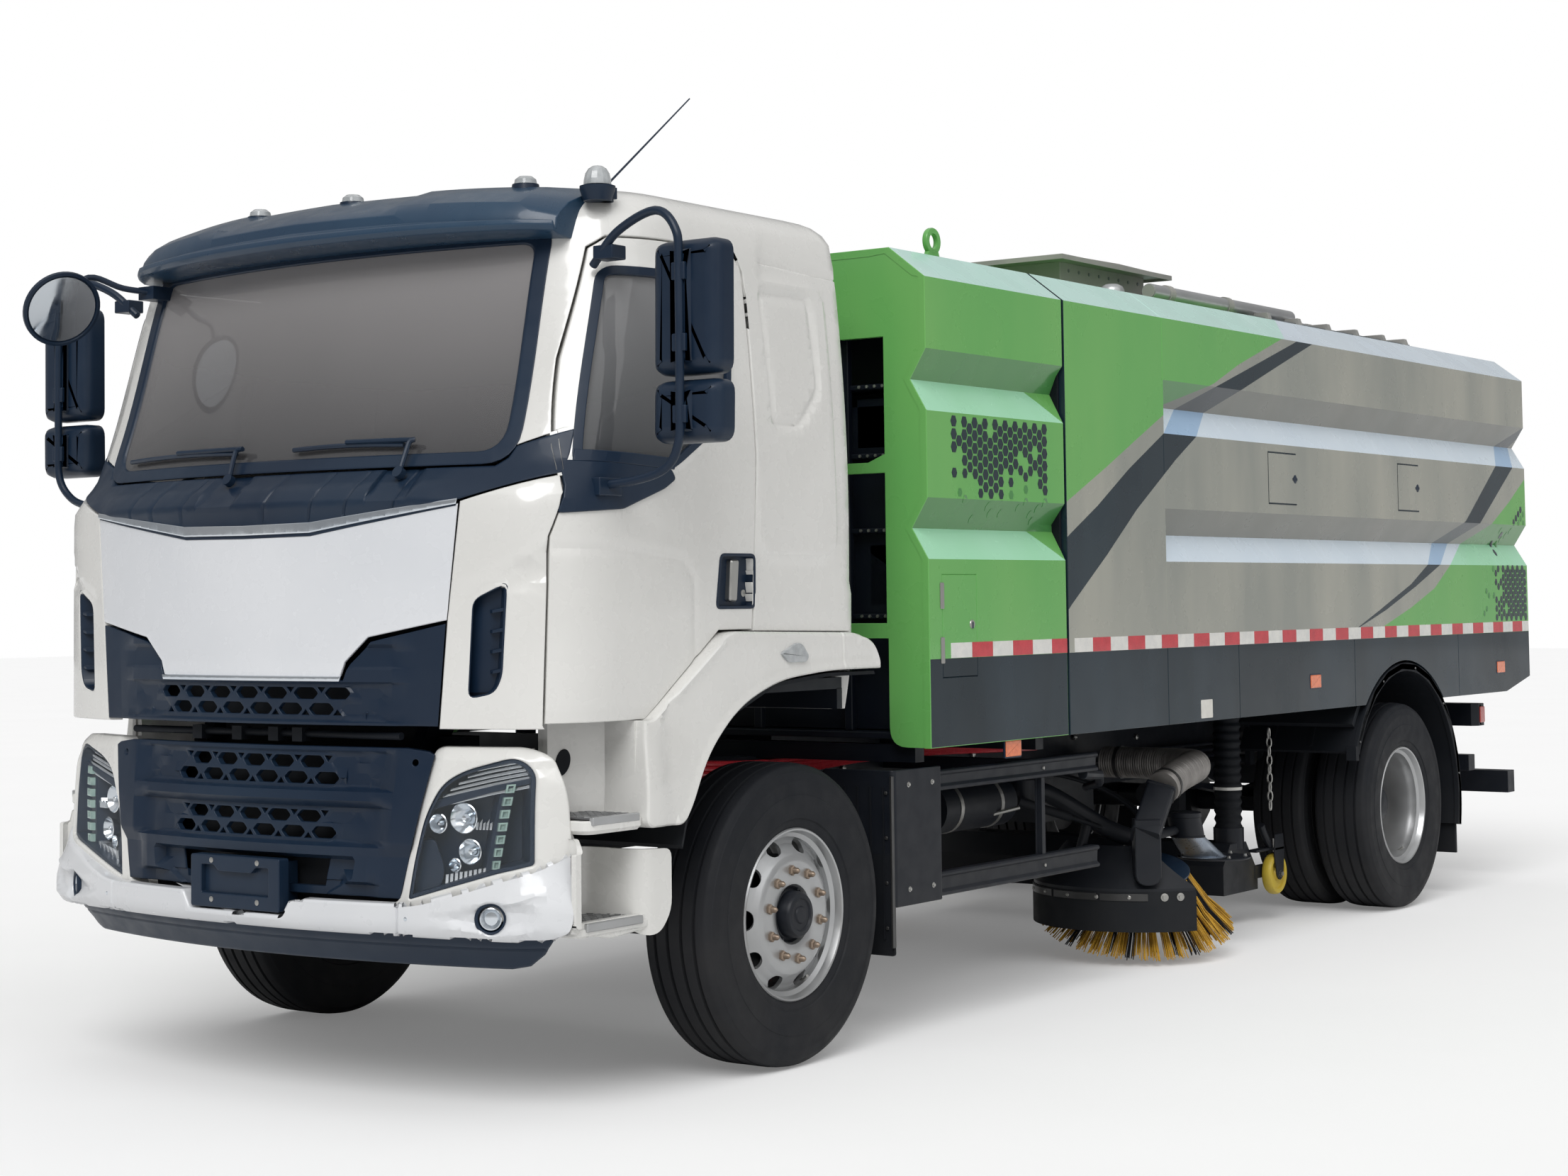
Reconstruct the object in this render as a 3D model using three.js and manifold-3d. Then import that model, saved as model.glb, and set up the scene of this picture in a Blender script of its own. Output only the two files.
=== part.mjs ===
// Suction sweeper truck: two-axle tilt-cab chassis, green front module, tipping
// hopper with a rear door, side brushes and a lifting suction nozzle.
// Millimetres, +Z up. The truck faces -Y and its left side is at +X.
// Lengths along the truck are given from the front axle; the whole vehicle is
// then moved so that the origin lies under the middle of its bounding box.
import * as THREE from 'three';
import { mergeVertices } from 'three/addons/utils/BufferGeometryUtils.js';
import Module from 'manifold-3d';

const wasm = await Module();
wasm.setup();

// ---------------------------------------------------------------- sizes

const seat = 0.3; // gap kept between touching pieces
const frontAxleY = -2800; // front axle in the finished frame
const wheelbase = 5250;

// Tyres and wheels.
const tyreRadius = 512;
const shoulderRadius = 500;
const tyreWidth = 286;
const rimFlangeRadius = 298;
const rimBarrelRadius = 270;
const frontTyreOuterX = 1200;
const rearTyreOuterX = 1238;
const twinSpacing = 330;
const hubRadius = 112;
const spindleRadius = 32;
const nutCircleRadius = 167;
const nutCount = 10;
const handHoleRadius = 26;
const handHoleCircle = 218;

// Chassis frame.
const railOuterX = 430;
const railHeight = 280;
const railTopZ = 980;
const railThickness = 12;
const railFlange = 90;
const railFrontY = -1120;
const railRearY = wheelbase + 1450;
const crossHeight = 110;
const crossDepth = 70;

// Kingpins, axles and springs.
const kingpinX = 955;
const kingpinBossRadius = 48;
const beamZ = 470;
const axleTubeRadius = 62;
const bearingGap = 1.5;

// Cab, measured along the outer skin.
const cabBottomZ = 1190;
const cabHalf = 1192;
const cabBackY = 400;
const cabBow = 0.15e-3; // forward bow of the front face, 1/mm
const cornerReach = 215;
const cabWall = 45;
const trimDepth = 14;
const doorThickness = 58;
const doorGap = 5;
const doorBottomZ = 1206;
const handleDepth = 32;
const blindDepth = 10;
const ventDepth = 25;
const noseY = -1600; // ahead of the cab, for cutting tools
const stepRootX = cabHalf - 262;
const stepBottomZ = 880;
const stepTopZ = 918;
const doorAxisX = cabHalf - 42;
const doorInnerX = cabHalf - 232;
const doorOuterX = cabHalf + 108; // clear of the skin, for cutting tools
const doorAxisY = -1140;
const cabFloorZ = 1262;
const cabFloorThickness = 40;
const cabPivotY = -1170;
const cabPivotZ = 970;
const cabPivotX = railOuterX + 70;
const pivotPinRadius = 18;
const pinClearance = 0.6;
const glassThickness = 10;

// Lower front: grille, lamps and bumper.
const lowerFrontTopZ = 1136;
const bumperTopZ = 660;
const bumperBottomZ = 560;
const lampDepth = 70;

// Body: front module and hopper.
const bodyHalf = 1250;
const bodyRoofZ = 2876;
const ductHalf = 610;
const ductFrontY = 2940;
const ductRearY = 3760;
const ductHeight = 207;
const lidHalf = 715;
const lidFrontY = 2768;
const lidRearY = 3825;
const pipeRadius = 36;
const railTubeX = 950;
const railTubeFrontY = 3130;
const railTubeRearY = 4620;
const chamferZ = 2756;
const chamferInset = 155;
const skirtZ = 1031;
const bodyWall = 40;
const grooveDepth = 69;
const moduleFrontY = 772;
const moduleRearY = 1790;
const hopperFrontY = 1804;
const hopperRearY = wheelbase + 1807;
const hopperFloorZ = 1125;
const hingeY = wheelbase + 1500;
const hingeZ = 1003;
const archRadius = 712;
const archGap = 12;
const archInnerX = 600;
const mudguardThickness = 28;

// Tail door.
const tailThickness = 60;
const tailHalf = 1110;
const tailTopZ = 2690;
const tailBottomZ = 1220;
const tailGap = 6;
const tailHingeRadius = 22;

// Tip cylinders.
const ramPinY = wheelbase - 1350;
const ramPinZ = 1068;
const ramBaseY = wheelbase + 550;
const ramBaseZ = 838;
const ramX = 215;
const barrelRadius = 52;
const rodRadius = 32;
const barrelLength = 1560;

// Side brushes and their arms.
const armPivotX = 560;
const armPivotY = wheelbase - 2630;
const armPivotZ = 740;
const brushX = 900;
const brushY = wheelbase - 2235;
const brushPlateZ = 385;
const brushTilt = 0.266; // radians, the front outer side low
const brushPlateRadius = 225;
const brushRadius = 426;
const brushDrop = 262; // from the plate down to the ring of bristle tips
const motorHeight = 150;
const skirtRadius = 448;
const skirtWall = 14;
const skirtBottomZ = 150;
const skirtTopZ = 332;
const skirtSpan = [-150, -28]; // degrees from the outer side, open outwards and to the rear
const shroudRadius = 300;
const shroudTopZ = 500;

// Suction nozzle.
const nozzleY = wheelbase - 1120;
const nozzleHalf = 860;
const nozzleBottomZ = 165;
const nozzleTopZ = 400;
const nozzleWheelRadius = 100;
const hoseX = 800;
const hoseRadius = 68;

// ---------------------------------------------------------------- solids

/** Closed three.js geometry as a manifold solid, whichever way its outline was drawn. */
function solid(geometry) {
  const plain = geometry.clone();
  plain.deleteAttribute('normal');
  plain.deleteAttribute('uv');
  const merged = mergeVertices(plain, 1e-3);
  const vertProperties = new Float32Array(merged.attributes.position.array);
  const triVerts = new Uint32Array(merged.index.array);
  const body = new wasm.Manifold(new wasm.Mesh({ numProp: 3, vertProperties, triVerts }));
  if (body.volume() > 0) return body;
  return new wasm.Manifold(new wasm.Mesh({ numProp: 3, vertProperties, triVerts: triVerts.reverse() }));
}

/** Manifold solid as a flat-shaded three.js geometry. */
function geometryOf(body) {
  const mesh = body.getMesh();
  const geometry = new THREE.BufferGeometry();
  geometry.setAttribute('position', new THREE.BufferAttribute(mesh.vertProperties, 3));
  geometry.setIndex(new THREE.BufferAttribute(mesh.triVerts, 1));
  geometry.computeVertexNormals();
  return geometry;
}

const join = (...pieces) => pieces.flat().reduce((all, piece) => all.add(piece));
const cut = (body, ...tools) => tools.flat().reduce((rest, tool) => rest.subtract(tool), body);

/** Box between two corners (mm). */
function box(x0, x1, y0, y1, z0, z1) {
  const geometry = new THREE.BoxGeometry(x1 - x0, y1 - y0, z1 - z0);
  geometry.translate((x0 + x1) / 2, (y0 + y1) / 2, (z0 + z1) / 2);
  return solid(geometry);
}

/** Outline extruded along +Z, as three.js geometry. */
function extruded(outline, depth) {
  const points = outline.map(([u, v]) => new THREE.Vector2(u, v));
  const shape = new THREE.Shape(points);
  return new THREE.ExtrudeGeometry(shape, { depth, bevelEnabled: false });
}

const vec = (x, y, z) => new THREE.Vector3(x, y, z);
const axesX = new THREE.Matrix4().makeBasis(vec(0, 1, 0), vec(0, 0, 1), vec(1, 0, 0));
const axesY = new THREE.Matrix4().makeBasis(vec(1, 0, 0), vec(0, 0, 1), vec(0, -1, 0));

/** Outline in (y, z) drawn out from x0 to x1. */
function prismX(outline, x0, x1) {
  return solid(extruded(outline, x1 - x0).applyMatrix4(axesX).translate(x0, 0, 0));
}

/** Outline in (x, z) drawn out from y0 to y1. */
function prismY(outline, y0, y1) {
  return solid(extruded(outline, y1 - y0).applyMatrix4(axesY).translate(0, y1, 0));
}

/** Outline in (x, y) drawn out from z0 to z1. */
function prismZ(outline, z0, z1) {
  return solid(extruded(outline, z1 - z0).translate(0, 0, z0));
}

/** Round bar between two points. */
function bar(from, to, radius, sides = 16, endRadius = radius) {
  const start = vec(...from);
  const end = vec(...to);
  const along = end.clone().sub(start);
  const geometry = new THREE.CylinderGeometry(endRadius, radius, along.length(), sides);
  const turn = new THREE.Quaternion().setFromUnitVectors(vec(0, 1, 0), along.clone().normalize());
  geometry.applyQuaternion(turn);
  geometry.translate(...start.add(end).multiplyScalar(0.5).toArray());
  return solid(geometry);
}

/** Closed profile of [radius, along] turned about the X axis through (y, z). */
function turnedX(profile, y, z, sides = 36) {
  const points = profile.map(([r, x]) => new THREE.Vector2(r, x));
  const geometry = new THREE.LatheGeometry([...points, points[0].clone()], sides);
  geometry.rotateZ(-Math.PI / 2);
  return solid(geometry.translate(0, y, z));
}

/** Closed profile of [radius, height] turned about a vertical axis. */
function turnedZ(profile, x, y, z, sides = 36) {
  const points = profile.map(([r, h]) => new THREE.Vector2(r, h));
  const geometry = new THREE.LatheGeometry([...points, points[0].clone()], sides);
  geometry.rotateX(Math.PI / 2);
  return solid(geometry.translate(x, y, z));
}

/** Round tube along straight runs joined by bends. */
function pipe(route, radius, steps = 24, sides = 10) {
  const path = new THREE.CatmullRomCurve3(route.map((p) => vec(...p)), false, 'catmullrom', 0.3);
  const ring = new THREE.Shape();
  ring.absarc(0, 0, radius, 0, Math.PI * 2);
  const options = { steps, extrudePath: path, curveSegments: sides / 2, bevelEnabled: false };
  return solid(new THREE.ExtrudeGeometry(ring, options));
}

/**
 * Solid skinned over a stack of closed sections with equal point counts.
 * u and v name the two axes that lie in a section, in right-handed order.
 */
function loft(stack, u = 'x', v = 'y') {
  const flat = (section) => section.map((p) => new THREE.Vector2(p[u], p[v]));
  const clockwise = THREE.ShapeUtils.area(flat(stack[0])) < 0;
  const sections = clockwise ? stack.map((section) => [...section].reverse()) : stack;
  const count = sections[0].length;
  const positions = sections.flat().flatMap((p) => [p.x, p.y, p.z]);
  const index = [];
  for (let s = 0; s + 1 < sections.length; s += 1) {
    for (let i = 0; i < count; i += 1) {
      const a = s * count + i;
      const b = s * count + ((i + 1) % count);
      index.push(a, b, b + count, a, b + count, a + count);
    }
  }
  const lid = (section, first, flip) => {
    for (const [a, b, c] of THREE.ShapeUtils.triangulateShape(flat(section), [])) {
      index.push(...(flip ? [first + c, first + b, first + a] : [first + a, first + b, first + c]));
    }
  };
  lid(sections[0], 0, true);
  lid(sections.at(-1), (sections.length - 1) * count, false);
  const geometry = new THREE.BufferGeometry();
  geometry.setAttribute('position', new THREE.BufferAttribute(new Float32Array(positions), 3));
  geometry.setIndex(index);
  return solid(geometry);
}

/** Polygon with every corner rounded by the same radius. */
function rounded(outline, radius, steps = 4) {
  const points = [];
  outline.forEach(([u, v], i) => {
    const corner = new THREE.Vector2(u, v);
    const before = new THREE.Vector2(...outline.at(i - 1)).sub(corner);
    const after = new THREE.Vector2(...outline[(i + 1) % outline.length]).sub(corner);
    const reach = Math.min(radius, before.length() / 2.05, after.length() / 2.05);
    const start = corner.clone().add(before.setLength(reach));
    const end = corner.clone().add(after.setLength(reach));
    const bend = new THREE.QuadraticBezierCurve(start, corner, end);
    points.push(...bend.getPoints(steps).map((p) => [p.x, p.y]));
  });
  return points;
}

const arc = (cx, cy, radius, from, to, steps) =>
  Array.from({ length: steps + 1 }, (_, i) => {
    const angle = THREE.MathUtils.degToRad(from + ((to - from) * i) / steps);
    return [cx + radius * Math.cos(angle), cy + radius * Math.sin(angle)];
  });

/** Outline moved outwards (or inwards, when negative) by a distance. */
function grown(outline, distance) {
  const area = THREE.ShapeUtils.area(outline.map(([u, v]) => new THREE.Vector2(u, v)));
  const side = Math.sign(area) * distance;
  const edges = outline.map(([u, v], i) => {
    const [nu, nv] = outline[(i + 1) % outline.length];
    const length = Math.hypot(nu - u, nv - v);
    return { u, v, du: (nu - u) / length, dv: (nv - v) / length };
  });
  return edges.map((edge, i) => {
    const last = edges.at(i - 1);
    const turn = last.du * edge.dv - last.dv * edge.du;
    const shift = Math.abs(turn) < 1e-6 ? 0 : (last.du * edge.du + last.dv * edge.dv - 1) / turn;
    return [edge.u + side * (edge.dv + shift * edge.du), edge.v + side * (-edge.du + shift * edge.dv)];
  });
}

/** Whole outline from its right half; points on the middle line are kept once. */
const mirroredOutline = (half) =>
  [...half, ...half.filter(([u]) => u !== 0).map(([u, v]) => [-u, v]).reverse()];

// ---------------------------------------------------------------- parts list

const vehicle = new THREE.Group();
vehicle.position.y = frontAxleY;

/** Standard material of a colour, a roughness and a metalness. */
function finish(color, roughness, metalness) {
  return new THREE.MeshStandardMaterial({ color, roughness, metalness });
}

const paint = {
  white: finish(0xe6e4e0, 0.3, 0.1),
  silver: finish(0xd0d2d6, 0.35, 0.3),
  green: finish(0x58b84a, 0.35, 0.1),
  grey: finish(0xa9a59c, 0.4, 0.2),
  black: finish(0x10141a, 0.55, 0.2),
  plastic: finish(0x1c2530, 0.6, 0.0),
  rubber: finish(0x15171a, 0.85, 0.0),
  steel: finish(0xb4b6ba, 0.35, 0.9),
  chrome: finish(0xd8dce0, 0.12, 1.0),
  lamp: finish(0x8d959c, 0.15, 0.2),
  red: finish(0xb3201c, 0.3, 0.0),
  glass: finish(0x5b6066, 0.08, 0.0),
  trim: finish(0x4a4d50, 0.7, 0.0),
  bristle: finish(0xd2a32c, 0.8, 0.0),
  yellow: finish(0xd9b91e, 0.5, 0.0),
  hose: finish(0x8a857c, 0.45, 0.4),
};

/** Adds a solid to the vehicle as a named node. */
function place(name, body, material) {
  const mesh = new THREE.Mesh(geometryOf(body), material);
  mesh.name = name;
  vehicle.add(mesh);
}

const sides = [
  { name: 'left', sign: 1 },
  { name: 'right', sign: -1 },
];

/** Copy of a solid on the given side of the truck. */
const onSide = (body, sign) => (sign > 0 ? body : body.mirror([1, 0, 0]));
const bothSides = (body) => join(body, body.mirror([1, 0, 0]));

// ---------------------------------------------------------------- cab form

// Rows of the cab's outer skin. front: skin on the centreline. half: half width.
// back: rear wall. lift: how far a change of offset raises the row.
const cabRows = [
  { z: cabBottomZ, front: -1404, half: cabHalf - 4, back: cabBackY, lift: 0 },
  { z: 1888, front: -1402, half: cabHalf + 2, back: cabBackY, lift: 0 },
  { z: 2035, front: -1290, half: cabHalf, back: cabBackY, lift: 0 },
  { z: 2740, front: -1066, half: cabHalf - 48, back: cabBackY - 2, lift: 0.2 },
  { z: 2840, front: -1026, half: cabHalf - 72, back: cabBackY - 12, lift: 0.6 },
  { z: 2900, front: -960, half: cabHalf - 130, back: cabBackY - 50, lift: 1 },
  { z: 2932, front: -850, half: cabHalf - 240, back: cabBackY - 110, lift: 1 },
  { z: 2952, front: -640, half: cabHalf - 480, back: cabBackY - 220, lift: 1 },
];

/** One level section of the cab skin, moved outwards by an offset. */
function cabSection(row, offset, z) {
  const front = row.front - offset;
  const half = row.half + offset;
  const back = row.back + offset;
  const bendX = half - cornerReach;
  const bendY = front + cabBow * bendX * bendX;
  const cornerY = bendY + 2 * cabBow * bendX * cornerReach;
  const halfLine = [];
  for (let i = 0; i <= 2; i += 1) {
    const x = (bendX * i) / 2;
    halfLine.push([x, front + cabBow * x * x]);
  }
  const bend = new THREE.QuadraticBezierCurve(
    new THREE.Vector2(bendX, bendY),
    new THREE.Vector2(half, cornerY),
    new THREE.Vector2(half, cornerY + 240),
  );
  halfLine.push(...bend.getPoints(3).slice(1).map((p) => [p.x, p.y]));
  halfLine.push(...arc(half - 60, back - 60, 60, 0, 90, 2));
  const mirrored = halfLine.slice(1).reverse().map(([x, y]) => [-x, y]);
  return [...halfLine, ...mirrored].map(([x, y]) => vec(x, y, z));
}

const cabForms = new Map();

/** Solid bounded by the cab skin, moved outwards by an offset (mm). */
function cabForm(offset) {
  if (!cabForms.has(offset)) {
    const below = offset < 0 ? 60 : 0;
    const sections = cabRows.map((row, i) => {
      const z = row.z + row.lift * offset - (i === 0 ? below : 0);
      return cabSection(row, offset, z);
    });
    cabForms.set(offset, loft(sections));
  }
  return cabForms.get(offset);
}

/** Part of the skin between two offsets that lies inside a front outline. */
function frontSkin(outline, outer, inner) {
  return cabForm(outer).subtract(cabForm(inner)).intersect(prismY(outline, noseY, -780));
}

// Outlines on the cab front, in (x, z), right half first.
const panelOutline = mirroredOutline([
  [0, 1797], [290, 1800], [842, 1888], [803, 1524], [518, 1472], [430, 1395], [410, 1345],
]);
const cowlOutline = mirroredOutline([
  [0, 1806], [290, 1809], [842, 1897], [1112, 1975], [1104, 2120], [930, 2060], [880, 2030], [0, 2022],
]);
const upperGrilleOutline = mirroredOutline(
  [[0, 1340], [418, 1340], [440, 1388], [526, 1461], [799, 1516], [771, 1196]],
);
const screenOutline = rounded(
  [[-905, 2052], [905, 2052], [872, 2728], [-872, 2728]], 70, 3,
);

// Door, window and fender outlines seen from the side, in (y, z).
const doorOutline = [
  [-1193, doorBottomZ], [-809, doorBottomZ], [-419, 1480], [-234, 1480],
  [-204, 2065], [-222, 2680], [-270, 2752], [-850, 2742], [-897, 2705], [-1020, 2341], [-1100, 2050],
    [-1181, 1778],
];
const windowOutline = rounded(
  [[-1071, 2010], [-679, 1996], [-352, 2186], [-308, 2546], [-380, 2640], [-890, 2635]], 45, 3,
);
const fenderOutline = [
  [-866, 869], [-850, 1204], [-808, 1204], [-418, 1476], [346, 1460], [440, 1420], [474, 1362], [474, 1331],
  [166, 1332], [-148, 1307], [-380, 1222], [-537, 1085], [-626, 922], [-669, 867],
];

// ---------------------------------------------------------------- cab

const doorEnvelope = prismX(grown(doorOutline, doorGap), doorInnerX, doorOuterX);
const fenderInnerX = cabHalf - 207;
const fenderOuterX = cabHalf + 46;
const fenderWall = 26;
const fenderEnvelope = prismX(grown(fenderOutline, seat), fenderInnerX - seat, fenderOuterX + 40);

/** Cab shell with its window, door and arch openings. */
function buildCabShell() {
  const walls = cabForm(0).subtract(cabForm(-cabWall));
  const floor = cabForm(-cabWall + 1).intersect(
    box(-1300, 1300, -1500, 500, cabFloorZ, cabFloorZ + cabFloorThickness),
  );
  const screenCut = prismY(screenOutline, -1500, -780);
  const ventOutline = rounded([[872, 1282], [960, 1300], [985, 1350], [1002, 1640], [889, 1587]], 30, 2);
  const trimBand = [panelOutline, upperGrilleOutline, cowlOutline].map((outline) =>
    frontSkin(outline, 60, -trimDepth),
  );
  const rearWindow = prismY(rounded([[-620, 2080], [620, 2080], [620, 2560], [-620, 2560]], 80, 3), 250, 500);
  const blindWindow = rounded(
    [[-109, 2152], [68, 2151], [210, 2291], [180, 2641], [-150, 2637]], 50, 2,
  );
  const lugs = bothSides(
    cut(
      join(
        bar([cabPivotX - 25, cabPivotY, cabPivotZ], [cabPivotX + 25, cabPivotY, cabPivotZ], 44, 16),
        prismX(
          [[cabPivotY - 30, cabPivotZ + 20], [cabPivotY + 30, cabPivotZ - 30],
            [cabPivotY + 260, cabFloorZ + 5],
            [cabPivotY + 130, cabFloorZ + 5]],
          cabPivotX - 25, cabPivotX + 25,
        ),
      ),
      bar([0, cabPivotY, cabPivotZ], [900, cabPivotY, cabPivotZ], pivotPinRadius + pinClearance, 16),
    ),
  );
  const sillCut = prismX(
    [[-880, 1140], [-880, 1204], [-814, 1206], [-440, 1474], [-400, 1484], [-400, 1140]],
    doorInnerX + 10, doorOuterX,
  );
  const hingePads = doorHinges();
  let shell = join(walls, floor);
  shell = cut(shell, screenCut, rearWindow, trimBand);
  for (const { sign } of sides) {
    shell = cut(shell, onSide(doorEnvelope, sign), onSide(fenderEnvelope, sign), onSide(sillCut, sign));
    const vent = prismY(ventOutline, noseY, -1000).subtract(cabForm(-ventDepth));
    shell = cut(shell, onSide(vent, sign));
    const recess = prismX(blindWindow, doorInnerX, doorOuterX).subtract(cabForm(-blindDepth));
    shell = cut(shell, onSide(recess, sign));
    shell = join(shell, onSide(hingePads, sign));
  }
  return join(shell, lugs);
}

/** Bearing pads that carry a door's pivots above and below. */
function doorHinges() {
  const strapTop = doorBottomZ - 5;
  const rootX = doorInnerX - 45;
  const strap = box(rootX, doorAxisX, doorAxisY - 20, doorAxisY + 20, strapTop - 36, strapTop);
  const hanger = box(rootX, rootX + 40, doorAxisY - 20, doorAxisY + 60, strapTop - 36, cabFloorZ + 10);
  const pivot = bar([doorAxisX, doorAxisY, strapTop - 36], [doorAxisX, doorAxisY, doorBottomZ - seat], 20,
    16);
  return join(strap, hanger, pivot);
}

/** Cab door with its frame, hinge straps and inner skin. */
function buildDoor() {
  const skin = cabForm(0).subtract(cabForm(-doorThickness));
  const door = skin.intersect(prismX(doorOutline, doorInnerX, doorOuterX));
  const window = prismX(windowOutline, doorInnerX - 60, doorOuterX);
  const handleOutline = rounded([[-433, 1553], [-222, 1553], [-222, 1727], [-410, 1727]], 30, 2);
  const handle = prismX(handleOutline, doorInnerX, doorOuterX).subtract(cabForm(-handleDepth));
  return cut(door, window, handle);
}

/** Door glass, seated in the frame of its door. */
function buildDoorGlass() {
  const pane = cabForm(-16).subtract(cabForm(-16 - glassThickness));
  return pane.intersect(prismX(grown(windowOutline, -seat), doorInnerX - 60, doorOuterX));
}

/** Front fender with its step well. */
function buildFender() {
  const outer = prismX(fenderOutline, fenderInnerX, fenderOuterX);
  const solidArch = prismX(fenderOutline, fenderInnerX - 10, fenderOuterX - fenderWall);
  const hollow = [[1, 0], [-1, 0], [0, 1], [0, -1]].reduce(
    (rest, [dy, dz]) => rest.intersect(solidArch.translate([0, dy * fenderWall, dz * fenderWall])),
      solidArch);
  const lower = box(fenderInnerX - 10, fenderOuterX - fenderWall, -900, 500, 700, stepBottomZ);
  const stepTop = box(doorInnerX, cabHalf + 24, -1130, -880, stepBottomZ, stepTopZ);
  const wellBack = box(stepRootX, stepRootX + 32, -1030, -840, stepBottomZ, 1160);
  const wellFloor = box(stepRootX, stepRootX + 70, -1120, -840, stepBottomZ, stepTopZ);
  const arch = cut(outer, hollow, lower);
  const stay = box(stepRootX, stepRootX + 80, -890, -840, stepBottomZ, 1150);
  return join(arch, stepTop, wellBack, wellFloor, stay);
}

/** Sun visor over the windscreen, with its lamps. */
function buildVisor() {
  // Section points along the visor: forward of and above the glass line.
  const profile = [[20, 2742], [-150, 2776], [-132, 2846], [40, 2928], [300, 2972], [300, 2900]];
  const stations = [
    { x: -985, drop: 46, reach: 0.62 },
    { x: -900, drop: 30, reach: 0.85 },
    { x: -500, drop: 8, reach: 1 },
    { x: 0, drop: 0, reach: 1 },
    { x: 500, drop: 8, reach: 1 },
    { x: 900, drop: 30, reach: 0.85 },
    { x: 985, drop: 46, reach: 0.62 },
  ];
  const form = loft(
    stations.map(({ x, drop, reach }) =>
      profile.map(([y, z]) => vec(x, -1060 + cabBow * x * x + y * (y < 0 ? reach : 1),
        z - drop * (z > 2800 ? 1 : 0.2))),
    ),
    'y',
    'z',
  );
  const lamps = [-420, 60, 760].map((x) => turnedZ([[0, -30], [42, -30], [36, 6], [0, 16]], x,
    -960 + cabBow * x * x, 2950, 12));
  return join(form, lamps).subtract(cabForm(seat));
}

/** The two wiper arms, which are joined with the cowl. */
function buildWipers() {
  const wipers = [[-330, 40], [180, 560]].map(([from, to]) =>
    bar([to, -1312 + cabBow * to * to, 2012], [from, -1316 + cabBow * from * from, 2052], 9, 8),
  );
  return wipers;
}

/** Dashboard, wheel, seats and bunk that show through the glass. */
function buildInterior() {
  const inside = cabForm(-cabWall - 6);
  const floorTop = cabFloorZ + cabFloorThickness + seat;
  const mat = box(-960, 960, -1050, 330, floorTop, floorTop + 20);
  const seatBack = [[-90, 1700], [40, 1720], [180, 2400], [120, 2560], [40, 2560], [30, 2400], [-60, 1760]];
  const chair = (x) =>
    join(
      box(x - 200, x + 200, -430, 60, floorTop, 1600),
      box(x - 250, x + 250, -470, 70, 1590, 1730),
      prismX(seatBack, x - 235, x + 235),
    );
  const dashOutline = [[-1120, floorTop], [-1000, floorTop], [-960, 1640], [-800, 1820], [-820, 1960],
    [-1120, 2010]];
  const dash = prismX(dashOutline, -935, 935);
  const wheelTilt = new THREE.Matrix4().makeRotationX(-0.55);
  const ring = solid(new THREE.TorusGeometry(215, 15, 6, 16).applyMatrix4(wheelTilt).translate(560, -700,
    2060));
  const spoke = box(360, 760, -715, -690, 2045, 2075);
  const column = bar([560, -700, 2060], [560, -900, 1880], 35, 10);
  return join(mat, chair(-560), chair(560), dash, spoke, ring, column).intersect(inside);
}

/** Main and wide-angle mirrors on the arm of one side. */
function buildMirror() {
  const tubeX = cabHalf + 270; // upright stretch of the mirror's tube
  const tubeY = -975;
  const housing = (z0, z1) => {
    const [near, far] = [tubeX - 132, tubeX + 130];
    const outline = rounded([[near, z0], [far - 2, z0], [far + 4, z1], [near + 4, z1]], 40, 3);
    return prismY(outline, tubeY + 20, tubeY + 117);
  };
  const tube = pipe([
    [cabHalf - 112, -925, 2640], [cabHalf + 8, -950, 2735], [tubeX - 96, tubeY + 7, 2790],
    [tubeX - 12, tubeY, 2720], [tubeX, tubeY, 2600], [tubeX, tubeY, 2200], [tubeX - 7, tubeY, 2060],
    [tubeX - 62, tubeY + 5, 1985], [cabHalf + 98, -985, 1950], [cabHalf - 62, -1010, 1935],
  ], 15, 14, 6);
  const clamp = (z0, z1) => box(tubeX - 22, tubeX + 22, tubeY - 5, tubeY + 35, z0, z1);
  const base = box(cabHalf - 72, cabHalf + 23, -1050, -930, 1900, 1965);
  const head = box(cabHalf - 92, cabHalf - 2, -950, -880, 2655, 2700);
  const link = box(tubeX - 62, tubeX + 38, tubeY + 55, tubeY + 95, 2240, 2290);
  return join(tube, housing(2272, 2690), housing(2062, 2256), link, clamp(2560, 2620), clamp(2120, 2170),
    base, head)
    .subtract(cabForm(seat));
}

/** Round mirror on the passenger's front corner. */
function buildKerbMirror() {
  const centre = vec(207 - cabHalf, -1350, 2625);
  const facing = vec(0.78, -0.22, -0.42).normalize();
  const rim = centre.clone().addScaledVector(facing, 14);
  const back = centre.clone().addScaledVector(facing, -34);
  const dish = bar(back.toArray(), centre.toArray(), 60, 24, 140);
  const lip = bar(centre.toArray(), rim.toArray(), 140, 24);
  const arm = pipe([
    [322 - cabHalf, -1010, 2700], [262 - cabHalf, -1120, 2712], [207 - cabHalf, -1230, 2745],
    [177 - cabHalf, -1330, 2660], back.clone().toArray(),
  ], 12, 12, 6);
  const foot = box(262 - cabHalf, 342 - cabHalf, -1050, -960, 2670, 2725);
  return join(dish, lip, arm, foot).subtract(cabForm(seat)).subtract(visorGap);
}

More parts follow.
